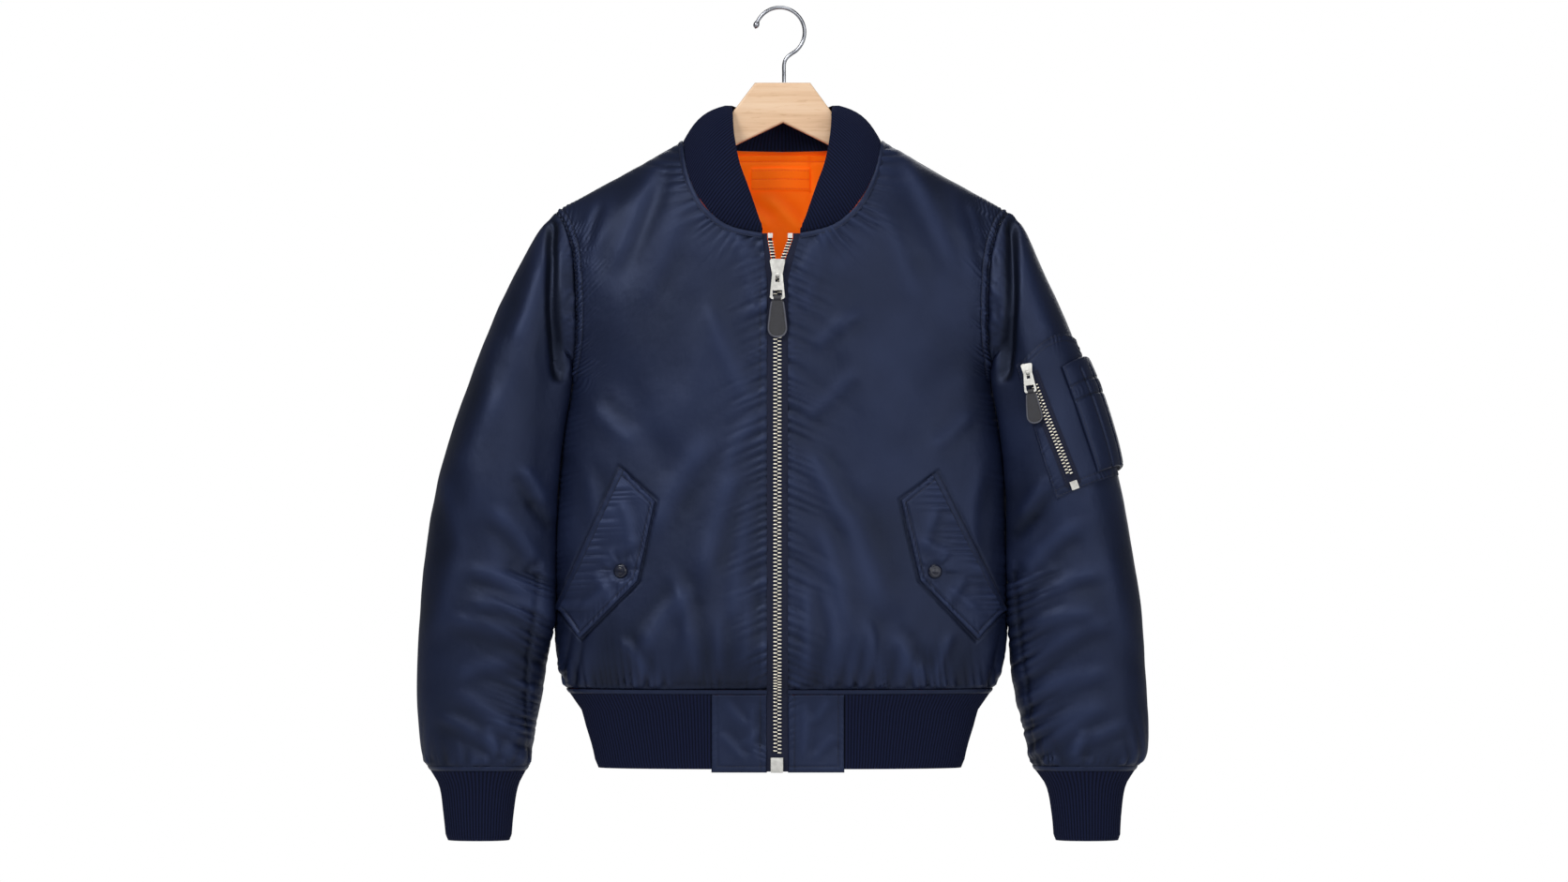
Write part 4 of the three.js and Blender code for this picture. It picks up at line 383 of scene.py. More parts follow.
# Slanted pockets: ends of the welt line and the flap's three free corners, and the snap
FLAPS = {
    -1: {
        "welt": ((-166, 492), (-234, 641)),
        "edge": ((-133.4, 524), (-152, 609), (-213, 670)),
        "snap": (-169.5, 598),
    },
    1: {
        "welt": ((158, 497), (231, 642.6)),
        "edge": ((125, 523), (145, 608), (206, 671)),
        "snap": (160.5, 598.4),
    },
}
FLAP_STEPS = (144, 72)
FLAP_STITCH = 5.5
FLAP_LIFT = 1.3
FLAP_THICK = 2.4
WELT = {"width": 6.5, "lift": 1.2, "thick": 1.6}
SNAP_OUT = 4.1
SNAP_PROFILE = (
    (7.25, 0), (7.6, 0.2), (7.75, 0.6), (7.4, 1.3), (6.9, 1.9), (6.55, 2.4),
    (6.0, 2.75), (4.75, 3.1), (4.2, 2.9), (3.6, 3.05), (1.8, 3.32), (0.4, 3.4),
)

# Creases on each flap
FLAP_CREASES = {
    -1: (
        (-172, 520, -160, 545, -158, 580, 6, 1.3),
        (-200, 600, -184, 616, -176, 640, 6, 1.3),
        (-150, 560, -160, 575, -186, 580, 6, 1.0),
        (-214, 640, -196, 628, -180, 612, 5, 1.0),
    ),
    1: (
        (166, 524, 154, 548, 150, 580, 6, 1.3),
        (196, 604, 178, 618, 170, 642, 6, 1.3),
        (142, 560, 152, 574, 180, 580, 6, 1.0),
        (208, 642, 190, 630, 172, 612, 5, 1.0),
    ),
}

# Sleeve pocket, pen pocket and their zip, as places x, down on the sleeve
SLEEVE_POCKET = {
    "top": (249, 380), "bottom": (290, 522), "angle": 0.28, "downs": (352, 497), "lift": 1.8, "thick": 1.8,
    "rows": (2.2, 7.5),
}
PEN_POCKET = {"top": (294, 383), "bottom": (331, 494), "angle": -0.3, "downs": (380, 493), "lift": 4.2}
SLEEVE_ZIP = {
    "top": (262, 384), "bottom": (308, 507), "tape": 8, "chain": 3.4, "lift": 4.5, "chain_lift": 5.6,
}
SLEEVE_COVER = ((240, 372), (262, 352), (300, 338), (420, 318), (420, 520), (312, 538), (284, 534))
SLEEVE_POCKET_STEPS = (104, 90)
NEWTON_STEPS = 14
PEN_POCKET_STEPS = 98
PEN_SLOTS = (0.27, 0.5, 0.73)
PEN_ROWS = (0.20, 0.34)

# Leather pulls: half width and height below the loop, in the pull's own plane
LEATHER_OUTLINE = (
    (6.0, -4.0), (7.3, -12), (8.5, -22), (9.4, -31), (8.9, -35.6), (6.4, -39.2), (2.6, -40.8), (0, -41),
)

# Where each leather pull hangs, and how far the sleeve one leans
MAIN_LEATHER = (-5, -75.672, -309.25)
SLEEVE_LEATHER = (262.873, -65.746, -408.01)
SLEEVE_PULL_LEAN = 0.16
SLEEVE_PULL_SCALE = 0.82


def mix(a, b, t):
    """Value a share t of the way from a to b."""
    return a + (b - a) * t


def fade(t):
    """Smooth step: 0 up to t 0, 1 from t 1, level at both."""
    t = np.clip(t, 0.0, 1.0)
    return t * t * (3 - 2 * t)


def bell(distance, width):
    """Gaussian: 1 at no distance, fading over the width."""
    return np.exp(-((distance / width) ** 2))


def arched(share, start, end):
    """Rounded back of a folded strip: part of a sine arch between two shares of it."""
    return np.sin(np.pi * mix(start, end, share)) ** 0.6


def turned_down(away, reach):
    """How far an edge is turned down: 1 at the edge itself, 0 from that reach on."""
    return np.clip(1 - away / reach, 0, 1) ** 2


def shares(rows, cols):
    """Shares across and down a grid, as a row and a column."""
    return np.linspace(0, 1, cols)[None], np.linspace(0, 1, rows)[:, None]


def through(table, at, value):
    """Smooth curve through two columns: a cubic between rows, with slopes taken from the neighbours."""
    xs = np.array(table[at], float)
    ys = np.array(table[value], float)
    last = len(xs) - 1
    before = np.maximum(np.arange(last + 1) - 1, 0)
    after = np.minimum(np.arange(last + 1) + 1, last)
    slopes = (ys[after] - ys[before]) / (xs[after] - xs[before])

    def curve(x):
        wanted = np.clip(x, xs[0], xs[last])
        i = np.clip(np.searchsorted(xs, wanted, side="left") - 1, 0, last - 1)
        span = xs[i + 1] - xs[i]
        t = (wanted - xs[i]) / span
        plain = mix(ys[i], ys[i + 1], t * t * (3 - 2 * t))
        return plain + span * (slopes[i] * t * (1 - t) ** 2 + slopes[i + 1] * t * t * (t - 1))

    return curve


half_at = through(BODY, "down", "half")
shift_at = through(BODY, "down", "shift")
front_at = through(BODY, "down", "front")
back_at = through(BODY, "down", "back")
armhole_x = through(ARMHOLE, "down", "x")


def shoulder_down(x):
    """Height of the shoulder line, carried on straight over the neck."""
    slope = (SHOULDER_POINT[1] - NECK_POINT[1]) / (SHOULDER_POINT[0] - NECK_POINT[0])
    return NECK_POINT[1] + (np.abs(x) - NECK_POINT[0]) * slope


def fold_height(folds, x, down):
    """Sum of the large folds: each is a Gaussian across its line that fades at both ends."""
    total = np.zeros(np.broadcast(x, down).shape)
    for side, x1, down1, x2, down2, width, height in folds:
        length = math.hypot(x2 - x1, down2 - down1)
        across, fall = (x2 - x1) / length, (down2 - down1) / length
        dx, dd = x * side - x1, down - down1
        t = (dx * across + dd * fall) / length
        off = dx * fall - dd * across
        total = total + height * np.exp(-(((t - 0.5) / 0.45) ** 4)) * bell(off, width)
    return total


def body_depth(x, down, facing):
    """Depth of the body's face: a rounded box section, a quarter round under the shoulder, and folds."""
    side = np.minimum(np.abs(x - shift_at(down)) / half_at(down), 1)
    section = (1 - side**BODY_POWER) ** (1 / BODY_POWER)
    t = np.clip((down - shoulder_down(x)) / SHOULDER_ROUND, 0, 1)
    share = section * np.sqrt(1 - (1 - t) ** 2)
    full = front_at(down) if facing < 0 else back_at(down)
    folds = fold_height(BODY_FOLDS if facing < 0 else BACK_FOLDS, x, down)
    return facing * (full * share + folds * np.minimum(1, share * 1.4))


def points_of(x, y, down):
    """Stack of three arrays as points, with down turned to z."""
    x, y, down = np.broadcast_arrays(x, y, down)
    return np.stack([x, y, -down], axis=-1).astype(float)


def on_body(x, down, facing=-1):
    """Points of the body's plain face."""
    return points_of(x, body_depth(x, down, facing), down)


def unit(vectors):
    """Vectors brought to length 1."""
    return vectors / np.maximum(np.linalg.norm(vectors, axis=-1, keepdims=True), 1e-9)


def body_normal(x, down, facing=-1):
    """Outward direction of the body's plain face, from two short steps along it."""
    across = on_body(x + 1, down, facing) - on_body(x - 1, down, facing)
    fall = on_body(x, down + 1, facing) - on_body(x, down - 1, facing)
    normal = unit(np.cross(fall, across))
    return normal * np.sign(normal[..., 1:2] * facing + 1e-12)


def grid_normals(points, closed=False):
    """Directions square to a grid, from each point's neighbours."""
    if closed:
        wrapped = np.concatenate([points[:, -1:], points, points[:, :1]], axis=1)
        across = wrapped[:, 2:] - wrapped[:, :-2]
    else:
        across = np.gradient(points, axis=1)
    return unit(np.cross(across, np.gradient(points, axis=0)))


def turned_to(normals, outward):
    """Directions turned round where they point away from outward."""
    return normals * np.where((normals * outward).sum(axis=-1, keepdims=True) < 0, -1.0, 1.0)


def arc_lengths(points):
    """Distance along a line of points, from its start."""
    steps = np.linalg.norm(np.diff(points, axis=0), axis=1)
    return np.concatenate([[0], np.cumsum(steps)])


def at_lengths(wanted, along, points):
    """Points at distances along a line of points."""
    return np.stack([np.interp(wanted, along, column) for column in points.T], axis=-1)


def even_line(points, count):
    """Points at even distances along a line of points."""
    along = arc_lengths(points)
    wanted = np.linspace(0, along[-1], count)
    return at_lengths(wanted, along, points)


def smooth_line(points, count):
    """Smooth curve through a few points, at even distances: cubics with slopes taken from the neighbours."""
    points = np.array(points, float)
    last = len(points) - 1
    place = np.linspace(0, last, 24 * last + 1)
    i = np.minimum(place.astype(int), last - 1)
    t = (place - i)[:, None]
    start, end = points[i], points[i + 1]
    slope_start = (end - points[np.maximum(i - 1, 0)]) / 2
    slope_end = (points[np.minimum(i + 2, last)] - start) / 2
    rise = t * t * (3 - 2 * t)
    curve = mix(start, end, rise) + slope_start * t * (1 - t) ** 2 + slope_end * t * t * (t - 1)
    return even_line(curve, count)


def near_line(x, down, line):
    """How far every place lies along a flat line, and its signed distance from the nearest stretch."""
    best = np.full(np.shape(x), 1e9)
    along = np.zeros(np.shape(x))
    off = np.zeros(np.shape(x))
    start = 0.0
    for (ax, ad), (bx, bd) in zip(line[:-1], line[1:]):
        ux, ud = bx - ax, bd - ad
        length = math.hypot(ux, ud)
        t = np.clip(((x - ax) * ux + (down - ad) * ud) / length**2, 0, 1)
        dx, dd = x - ax - t * ux, down - ad - t * ud
        distance = np.hypot(dx, dd)
        closer = distance < best
        best = np.where(closer, distance, best)
        along = np.where(closer, start + t * length, along)
        off = np.where(closer, distance * np.sign(dx * ud - dd * ux), off)
        start += length
    return along, off


def uneven(s, step, seed):
    """Smooth random values from -1 to 1 along s, with a new one every step."""
    values = np.random.default_rng(1000 + seed).uniform(-1, 1, 509)
    place = np.asarray(s, float) / step
    index = np.floor(place).astype(int)
    return mix(values[index % 509], values[(index + 1) % 509], fade(place - index))


def rolling(x, down, size, seed):
    """Smooth random heights from -1 to 1 over a plane, on a square lattice of that size."""
    values = np.random.default_rng(1000 + seed).uniform(-1, 1, (67, 67))
    px, pd = np.asarray(x, float) / size, np.asarray(down, float) / size
    i, j = np.floor(px).astype(int), np.floor(pd).astype(int)
    tx, td = fade(px - i), fade(pd - j)
    top = mix(values[i % 67, j % 67], values[(i + 1) % 67, j % 67], tx)
    low = mix(values[i % 67, (j + 1) % 67], values[(i + 1) % 67, (j + 1) % 67], tx)
    return mix(top, low, td)


def puckers(along, away, height, reach, step, lean, seed):
    """Gathers beside a seam: rounded tops and sharp valleys, uneven, leaning, and dying out away from it."""
    reach_here = reach * (0.75 + 0.45 * uneven(along, 1.3 * step, seed + 2))
    place = along + lean * away
    wave = np.sin(np.pi * (place / step + 0.8 * uneven(place, 2.3 * step, seed)))
    wave = wave * (0.7 + 0.5 * uneven(place, 1.6 * step, seed + 1))
    puffed = 1.5 * np.sqrt(wave**2 + 0.012) - 0.7
    return height * puffed * np.exp(-((np.abs(away) / reach_here) ** 1.5))


def creases(table, x, down):
    """Listed creases: each is a ridge along a bent line with a shallower trough on one side."""
    total = np.zeros(np.shape(x))
    for x1, down1, bend_x, bend_down, x2, down2, width, height in table:
        t = np.linspace(0, 1, 9)[:, None]
        ends = (1 - t) ** 2 * np.array([x1, down1]) + t**2 * np.array([x2, down2])
        line = ends + 2 * t * (1 - t) * np.array([bend_x, bend_down])
        along, off = near_line(x, down, line)
        share = along / arc_lengths(line)[-1]
        ends_off = bell(np.maximum(np.abs(share - 0.5) - 0.25, 0), 0.16)
        beyond = np.where((share <= 0) | (share >= 1), bell(off, width), 1)
        ridge = bell(off, width) - 0.55 * bell(off - 1.7 * width, 1.1 * width)
        total = total + height * ridge * ends_off * beyond
    return total


def rim(outer, inner, ratio):
    """Triangles that join an outer edge to an inner one, as fans: ratio outer steps meet each inner step."""
    outer, inner = np.asarray(outer), np.asarray(inner)
    k = np.arange(len(outer) - 1)
    cell = k // ratio
    middle = cell * ratio + (ratio + 1) // 2
    foot = inner[np.where(k < middle, cell, cell + 1)]
    first = np.stack([outer[k + 1], outer[k], foot], axis=1)
    c = np.arange(len(inner) - 1)
    second = np.stack([inner[c], inner[c + 1], outer[c * ratio + (ratio + 1) // 2]], axis=1)
    return np.concatenate([first, second])


def grid_quads(ids):
    """Four-sided faces of a grid of point numbers."""
    quads = np.stack([ids[:-1, :-1], ids[:-1, 1:], ids[1:, 1:], ids[1:, :-1]], axis=-1)
    return quads.reshape(-1, 4)


def put_mesh(name, points, faces, finishes, parts=None, uv=None, values=None, body="root", sharp=60):
    """Makes an object from points in millimetres and a list of face arrays.

    parts gives each array's material, uv a place on the cloth in metres for each point, and values
    the named numbers that a material reads.
    """
    mesh = bpy.data.meshes.new(name)
    mesh.vertices.add(len(points))
    mesh.vertices.foreach_set("co", (np.asarray(points, float) * MM).astype(np.float32).ravel())
    loops = np.concatenate([np.asarray(array).ravel() for array in faces])
    sizes = np.concatenate([np.full(len(array), np.asarray(array).shape[1]) for array in faces])
    mesh.loops.add(len(loops))
    mesh.loops.foreach_set("vertex_index", loops.astype(np.int32))
    mesh.polygons.add(len(sizes))
    mesh.polygons.foreach_set("loop_start", (np.cumsum(sizes) - sizes).astype(np.int32))
    if parts is not None:
        slots = np.concatenate([np.full(len(array), part) for array, part in zip(faces, parts)])
        mesh.polygons.foreach_set("material_index", slots.astype(np.int32))
    for key, numbers in (values or {}).items():
        attribute = mesh.attributes.new(key, "FLOAT", "POINT")
        attribute.data.foreach_set("value", np.asarray(numbers, float).astype(np.float32).ravel())
    if uv is not None:
        layer = mesh.uv_layers.new(name="cloth")
        layer.uv.foreach_set("vector", np.asarray(uv, float)[loops].astype(np.float32).ravel())
    for finish in finishes:
        mesh.materials.append(finish)
    mesh.update(calc_edges=True)
    mesh.validate()
    mesh.shade_smooth()
    mesh.set_sharp_from_angle(angle=math.radians(sharp))
    piece = bpy.data.objects.new(name, mesh)
    bpy.context.scene.collection.objects.link(piece)
    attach(piece, body)
    return piece


def volume_of(points, triangles):
    """Six times the volume inside a closed surface of triangles."""
    a, b, c = (points[triangles[:, i]] for i in range(3))
    return float((a * np.cross(b, c)).sum())


def split(quads):
    """Each four-sided face as two triangles."""
    return np.concatenate([quads[:, [0, 1, 2]], quads[:, [0, 2, 3]]])


def shell(outer, inner, closed=False):
    """Closes an outer and an inner grid into one wall, with its rims as fans.

    The outer grid may have a whole number of steps for each inner one. Returns points and three
    face arrays: the outer face, the inner face and the rims.
    """
    rows, cols = outer.shape[:2]
    in_rows, in_cols = inner.shape[:2]
    down_ratio = (rows - 1) // (in_rows - 1)
    out_ids = np.arange(rows * cols).reshape(rows, cols)
    in_ids = rows * cols + np.arange(in_rows * in_cols).reshape(in_rows, in_cols)
    if closed:
        across_ratio = cols // in_cols
        out_ids = np.concatenate([out_ids, out_ids[:, :1]], axis=1)
        in_ids = np.concatenate([in_ids, in_ids[:, :1]], axis=1)
    else:
        across_ratio = (cols - 1) // (in_cols - 1)
    rims = [
        rim(out_ids[0], in_ids[0], across_ratio),
        rim(out_ids[-1], in_ids[-1], across_ratio)[:, ::-1],
    ]
    if not closed:
        rims.append(rim(out_ids[:, 0], in_ids[:, 0], down_ratio)[:, ::-1])
        rims.append(rim(out_ids[:, -1], in_ids[:, -1], down_ratio))
    faces = [grid_quads(out_ids), grid_quads(in_ids)[:, ::-1], np.concatenate(rims)]
    points = np.concatenate([outer.reshape(-1, 3), inner.reshape(-1, 3)])
    triangles = np.concatenate([split(faces[0]), split(faces[1]), faces[2]])
    if volume_of(points, triangles) < 0:
        faces = [array[:, ::-1] for array in faces]
    return points, faces


def cloth_uv(grid, closed=False):
    """Place of each grid point on the flat cloth, in metres: distance across it and distance down it."""
    across = np.linalg.norm(np.diff(grid, axis=1), axis=2)
    across = np.concatenate([np.zeros((len(grid), 1)), np.cumsum(across, axis=1)], axis=1)
    if not closed:
        across = across - across.mean(axis=1, keepdims=True)
    fall = np.linalg.norm(np.diff(grid, axis=0), axis=2).mean(axis=1)
    fall = np.concatenate([[0], np.cumsum(fall)])
    return np.stack([across, np.broadcast_to(fall[:, None], across.shape)], axis=-1) * MM


def put_wall(name, base, height, normals, thick, ratio, finishes, closed=False, relief=None, sharp=60):
    """A cloth wall: its outer face is the base moved out by height, its inner face a coarser grid."""
    outer = base + normals * height[..., None]
    coarse = (slice(None, None, ratio[0]), slice(None, None, ratio[1]))
    low = lowest_near(height, ratio, closed)[coarse]
    inner = base[coarse] + normals[coarse] * (np.minimum(low, 0) - thick)[..., None]
    points, faces = shell(outer, inner, closed)
    uv = np.concatenate([cloth_uv(base, closed).reshape(-1, 2), cloth_uv(inner, closed).reshape(-1, 2)])
    # The stored relief is what the cloth materials turn into painted shade in troughs and painted highlight
    # on ridges.
    shown = height if relief is None else relief
    values = {"relief": np.concatenate([shown.ravel(), np.zeros(inner.shape[0] * inner.shape[1])])}
    inside = min(1, len(finishes) - 1)
    return put_mesh(name, points, faces, finishes, (0, inside, 0), uv, values, sharp=sharp)


def joined_copies(points, faces, frames):
    """Many copies of one small shape as one mesh: frames are (n, 4, 3), with three axes and an origin."""
    moved = np.einsum("pk,nkj->npj", points, frames[:, :3]) + frames[:, None, 3]
    step = len(points) * np.arange(len(frames))[:, None, None]
    return moved.reshape(-1, 3), [(array + step).reshape(-1, array.shape[1]) for array in faces]


def frames_along(points, outward):
    """For each point of a line: directions along, across and outwards, and the point itself."""
    along = unit(np.gradient(points, axis=0))
    out = unit(outward - along * (outward * along).sum(axis=1, keepdims=True))
    return np.stack([along, np.cross(out, along), out, points], axis=1)


def lozenge(long, wide, high, sides=6):
    """A small pillow for a stitch: rings of a flattened section that narrow at both ends."""
    share = np.array([-1.0, -0.6, 0.6, 1.0])
    swell = np.array([0.35, 1.0, 1.0, 0.35])
    turn = 2 * np.pi * np.arange(sides) / sides
    x = np.repeat(share * long / 2, sides)
    y = np.outer(swell, np.cos(turn) * wide / 2).ravel()
    z = np.outer(swell, np.sin(turn) * high / 2).ravel()
    ids = np.arange(4 * sides).reshape(4, sides)
    ids = np.concatenate([ids, ids[:, :1]], axis=1)
    caps = np.stack([ids[0, :sides][::-1], ids[-1, :sides]])
    return np.stack([x, y, z], axis=1), [grid_quads(ids)[:, ::-1], caps]


STITCH_ROWS = []


def stitch(points, outward, sink=0.05):
    """Adds a row of stitches along a line on the cloth, for put_stitches to make."""
    points = np.asarray(points, float)
    count = max(int(arc_lengths(points)[-1] / STITCH["pitch"]), 2)
    both = even_line(np.concatenate([points, outward], axis=1), 4 * count)
    line = even_line(points, count)
    along = arc_lengths(both[:, :3])
    wanted = np.linspace(0, along[-1], count)
    out = np.stack([np.interp(wanted, along, both[:, 3 + k]) for k in range(3)], axis=-1)
    STITCH_ROWS.append(frames_along(line - unit(out) * sink, unit(out)))


def put_stitches(name, finish, body="root", scale=1.0):
    """One mesh of all stitches added so far."""
    shape, faces = lozenge(STITCH["long"] * scale, STITCH["wide"] * scale, STITCH["high"] * scale)
    points, faces = joined_copies(shape, faces, np.concatenate(STITCH_ROWS))
    STITCH_ROWS.clear()
    piece = put_mesh(name, points, faces, [finish], body=body)


def add(tree, kind, inputs=None, **settings):
    """A node with its settings; each input is a number or colour, or another node's output to join to it."""
    made = tree.nodes.new(kind)
    for key, value in settings.items():
        setattr(made, key, value)
    for key, value in (inputs or {}).items():
        if isinstance(value, bpy.types.NodeSocket):
            tree.links.new(value, made.inputs[key])
        else:
            made.inputs[key].default_value = value
    return made


def new_finish(name, **sockets):
    """A material, its node tree and its main shader, with the shader's own sockets set."""
    material = bpy.data.materials.new(name)
    material.use_nodes = True
    tree = material.node_tree
    shader = tree.nodes["Principled BSDF"]
    for key, value in sockets.items():
        shader.inputs[key.replace("_", " ")].default_value = value
    return material, tree, shader


def colour(red, green, blue):
    """A screen colour from 0 to 255 as the linear colour that a shader takes."""
    scaled = np.array([red, green, blue]) / 255
    linear = np.where(scaled <= 0.04045, scaled / 12.92, ((scaled + 0.055) / 1.055) ** 2.4)
    return (*(float(value) for value in linear), 1.0)


def ramp(tree, factor, stops):
    """A ramp of colours, or of grey values where a stop is one number."""
    made = add(tree, "ShaderNodeValToRGB", {"Fac": factor})
    elements = made.color_ramp.elements
    while len(elements) < len(stops):
        elements.new(0.5)
    for element, (place, value) in zip(elements, stops):
        element.position = place
        element.color = value if isinstance(value, tuple) else (value, value, value, 1.0)
    return made.outputs["Color"]


def cloth_place(tree):
    """Place on the flat cloth, in metres."""
    return add(tree, "ShaderNodeUVMap", uv_map="cloth").outputs["UV"]


def object_place(tree):
    """Place in the garment's own frame, in metres."""
    return add(tree, "ShaderNodeTexCoord").outputs["Object"]


def noise(tree, place, scale, detail=2.0, stretch=None):
    """Noise at a place, stretched along one axis where that is wanted."""
    if stretch is not None:
        place = add(tree, "ShaderNodeMapping", {"Vector": place, "Scale": stretch}).outputs["Vector"]
    return add(tree, "ShaderNodeTexNoise", {"Vector": place, "Scale": scale, "Detail": detail}).outputs["Fac"]


def threads(tree, place, pitch, direction):
    """Even bands of one thread each. A band pattern of scale 1 repeats every pi / 10."""
    scale = math.pi / 10 / pitch
    made = add(tree, "ShaderNodeTexWave", {"Vector": place, "Scale": scale}, bands_direction=direction)
    return made.outputs["Fac"]


def calc(tree, operation, a, b):
    """Sum, product or the like of two values."""
    return add(tree, "ShaderNodeMath", {0: a, 1: b}, operation=operation).outputs[0]


def bump(tree, shader, *layers):
    """Stacks bumps: each layer is a height, its depth in metres and its strength."""
    normal = None
    for height, depth, strength in layers:
        inputs = {"Height": height, "Distance": depth, "Strength": strength}
        if normal is not None:
            inputs["Normal"] = normal
        normal = add(tree, "ShaderNodeBump", inputs).outputs["Normal"]
    tree.links.new(normal, shader.inputs["Normal"])


def attribute(tree, name):
    """A number stored on the mesh's points."""
    return add(tree, "ShaderNodeAttribute", attribute_name=name).outputs["Fac"]


def satin_cloth(name, dark, middle, light, roughness, wrinkle, gloss=(1.0, 1.0, 1.0, 1.0), glow=0.0):
    """Plain-weave satin: two crossed sets of threads, small wrinkles, and a tone of random patches plus
    painted shade in the relief's troughs and painted highlight on its ridges. glow is painted light: an
    emission of the middle colour.
    """
    # Emission of the middle colour at strength glow is painted light.
    material, tree, shader = new_finish(
        name, Emission_Color=middle, Emission_Strength=glow, Sheen_Weight=0.04, Sheen_Roughness=0.45,
        Sheen_Tint=light, Specular_IOR_Level=0.42, Specular_Tint=gloss,
    )
    cloth = cloth_place(tree)
    place = object_place(tree)
    patchy = noise(tree, place, 7.0, 3.0)
    height = add(tree, "ShaderNodeMapRange", {
        "Value": attribute(tree, "relief"), "From Min": -3.0, "From Max": 3.0,
    }).outputs["Result"]
    # Tone: random patches, plus the relief as painted shade in troughs and painted highlight on ridges.
    tone = calc(tree, "ADD", calc(tree, "MULTIPLY", patchy, 0.35), calc(tree, "MULTIPLY", height, 0.65))
    stops = [(0.25, dark), (0.5, middle), (0.78, light)]
    tree.links.new(ramp(tree, tone, stops), shader.inputs["Base Color"])
    shine = ramp(tree, noise(tree, place, 15.0, 4.0), [(0.3, roughness - 0.04), (0.7, roughness + 0.05)])
    tree.links.new(shine, shader.inputs["Roughness"])
    weave = calc(tree, "MULTIPLY", threads(tree, cloth, 0.00045, "X"), threads(tree, cloth, 0.00045, "Y"))
    bump(
        tree, shader,
        (noise(tree, cloth, 34.0, 3.0, (1.0, 0.55, 1.0)), 0.004, wrinkle),
        (noise(tree, cloth, 120.0, 3.0), 0.0008, 0.25),
        (weave, 0.00008, 0.35),
    )
    return material


def knit_cloth():
    """Rib knit: fine courses across the ribs, fuzz, and painted shade that darkens the valleys between the
    ribs.
    """
    material, tree, shader = new_finish(
        "rib knit", Sheen_Weight=0.08, Sheen_Roughness=0.5, Sheen_Tint=colour(60, 72, 120), Roughness=0.9,
        Specular_IOR_Level=0.15,
    )
    cloth = cloth_place(tree)
    courses = threads(tree, cloth, 0.0011, "Y")
    fuzz = noise(tree, cloth, 900.0, 3.0)
    valley = add(tree, "ShaderNodeMapRange", {
        "Value": attribute(tree, "relief"), "From Min": 0.0, "From Max": 0.8,
    }).outputs["Result"]
    # Tone: painted shade, darker in the valleys between the ribs, plus random fuzz.
    tone = calc(tree, "ADD", calc(tree, "MULTIPLY", valley, 0.7), calc(tree, "MULTIPLY", fuzz, 0.3))
    stops = [(0.1, colour(2, 4, 13)), (0.55, colour(9, 14, 36)), (0.95, colour(17, 25, 54))]
    tree.links.new(ramp(tree, tone, stops), shader.inputs["Base Color"])
    bump(tree, shader, (courses, 0.0003, 0.5), (fuzz, 0.0002, 0.5))
    return material


def tape_cloth():
    """Zip tape: a close herringbone of fine threads."""
    material, tree, shader = new_finish("zip tape", Roughness=0.8, Specular_IOR_Level=0.3)
    cloth = cloth_place(tree)
    slanted = add(tree, "ShaderNodeMapping", {"Vector": cloth, "Rotation": (0.0, 0.0, 0.7)}).outputs["Vector"]
    twill = threads(tree, slanted, 0.0007, "X")
    stops = [(0.0, colour(8, 12, 30)), (1.0, colour(19, 26, 54))]
    tree.links.new(ramp(tree, twill, stops), shader.inputs["Base Color"])
    bump(tree, shader, (twill, 0.0002, 0.6), (noise(tree, cloth, 600.0), 0.0001, 0.4))
    return material


def thread_finish():
    """Sewing thread: twisted and a little glossy, navy, and darker than the cloth as painted shade of the
    dimple at each stitch.
    """
    material, tree, shader = new_finish("sewing thread", Roughness=0.5, Specular_IOR_Level=0.4)
    place = object_place(tree)
    grain = noise(tree, place, 1500.0, 1.0)
    # The thread's own navy, darkened below the cloth as painted shade of the stitch dimples.
    stops = [(0.3, colour(5, 8, 22)), (0.7, colour(15, 21, 44))]
    tree.links.new(ramp(tree, grain, stops), shader.inputs["Base Color"])
    bump(tree, shader, (grain, 0.0001, 0.5))
    return material


def worn_metal(name, dark, light, roughness, scale, grain=0.3):
    """Plated metal: an uneven tone, fine scratches along one way, and roughness that varies with them."""
    material, tree, shader = new_finish(name, Metallic=1.0)
    place = object_place(tree)
    cloudy = noise(tree, place, scale, 4.0)
    scratches = noise(tree, place, scale * 4, 5.0, (1.0, 1.0, 0.12))
    tree.links.new(ramp(tree, cloudy, [(0.3, dark), (0.7, light)]), shader.inputs["Base Color"])
    shine = ramp(tree, scratches, [(0.3, roughness - 0.06), (0.7, roughness + 0.1)])
    tree.links.new(shine, shader.inputs["Roughness"])
    bump(tree, shader, (scratches, 0.00008, grain))
    return material


def pull_leather(name, dark, middle, light):
    """Smooth dark leather: fine pebbled grain, paler where its edge is raised."""
    material, tree, shader = new_finish(name, Specular_IOR_Level=0.45, Coat_Weight=0.15, Coat_Roughness=0.4)
    place = object_place(tree)
    cells = add(tree, "ShaderNodeTexVoronoi", {"Vector": place, "Scale": 1100.0}).outputs["Distance"]
    cloudy = noise(tree, place, 130.0, 4.0)
    edge = calc(tree, "MULTIPLY", attribute(tree, "relief"), 0.6)
    tone = calc(tree, "ADD", calc(tree, "MULTIPLY", cloudy, 0.5), edge)
    stops = [(0.15, dark), (0.45, middle), (0.95, light)]
    tree.links.new(ramp(tree, tone, stops), shader.inputs["Base Color"])
    tree.links.new(ramp(tree, cloudy, [(0.3, 0.42), (0.7, 0.56)]), shader.inputs["Roughness"])
    bump(tree, shader, (cells, 0.0002, 0.35), (cloudy, 0.0003, 0.3))
    return material


def snap_enamel():
    """Snap cap: glossy enamel over metal."""
    material, tree, shader = new_finish(
        "snap enamel", Coat_Weight=0.3, Coat_Roughness=0.08, Specular_IOR_Level=0.3,
    )
    cloudy = noise(tree, object_place(tree), 260.0, 3.0)
    stops = [(0.3, colour(8, 12, 28)), (0.7, colour(15, 21, 42))]
    tree.links.new(ramp(tree, cloudy, stops), shader.inputs["Base Color"])
    tree.links.new(ramp(tree, cloudy, [(0.3, 0.26), (0.7, 0.36)]), shader.inputs["Roughness"])
    bump(tree, shader, (cloudy, 0.0001, 0.2))
    return material


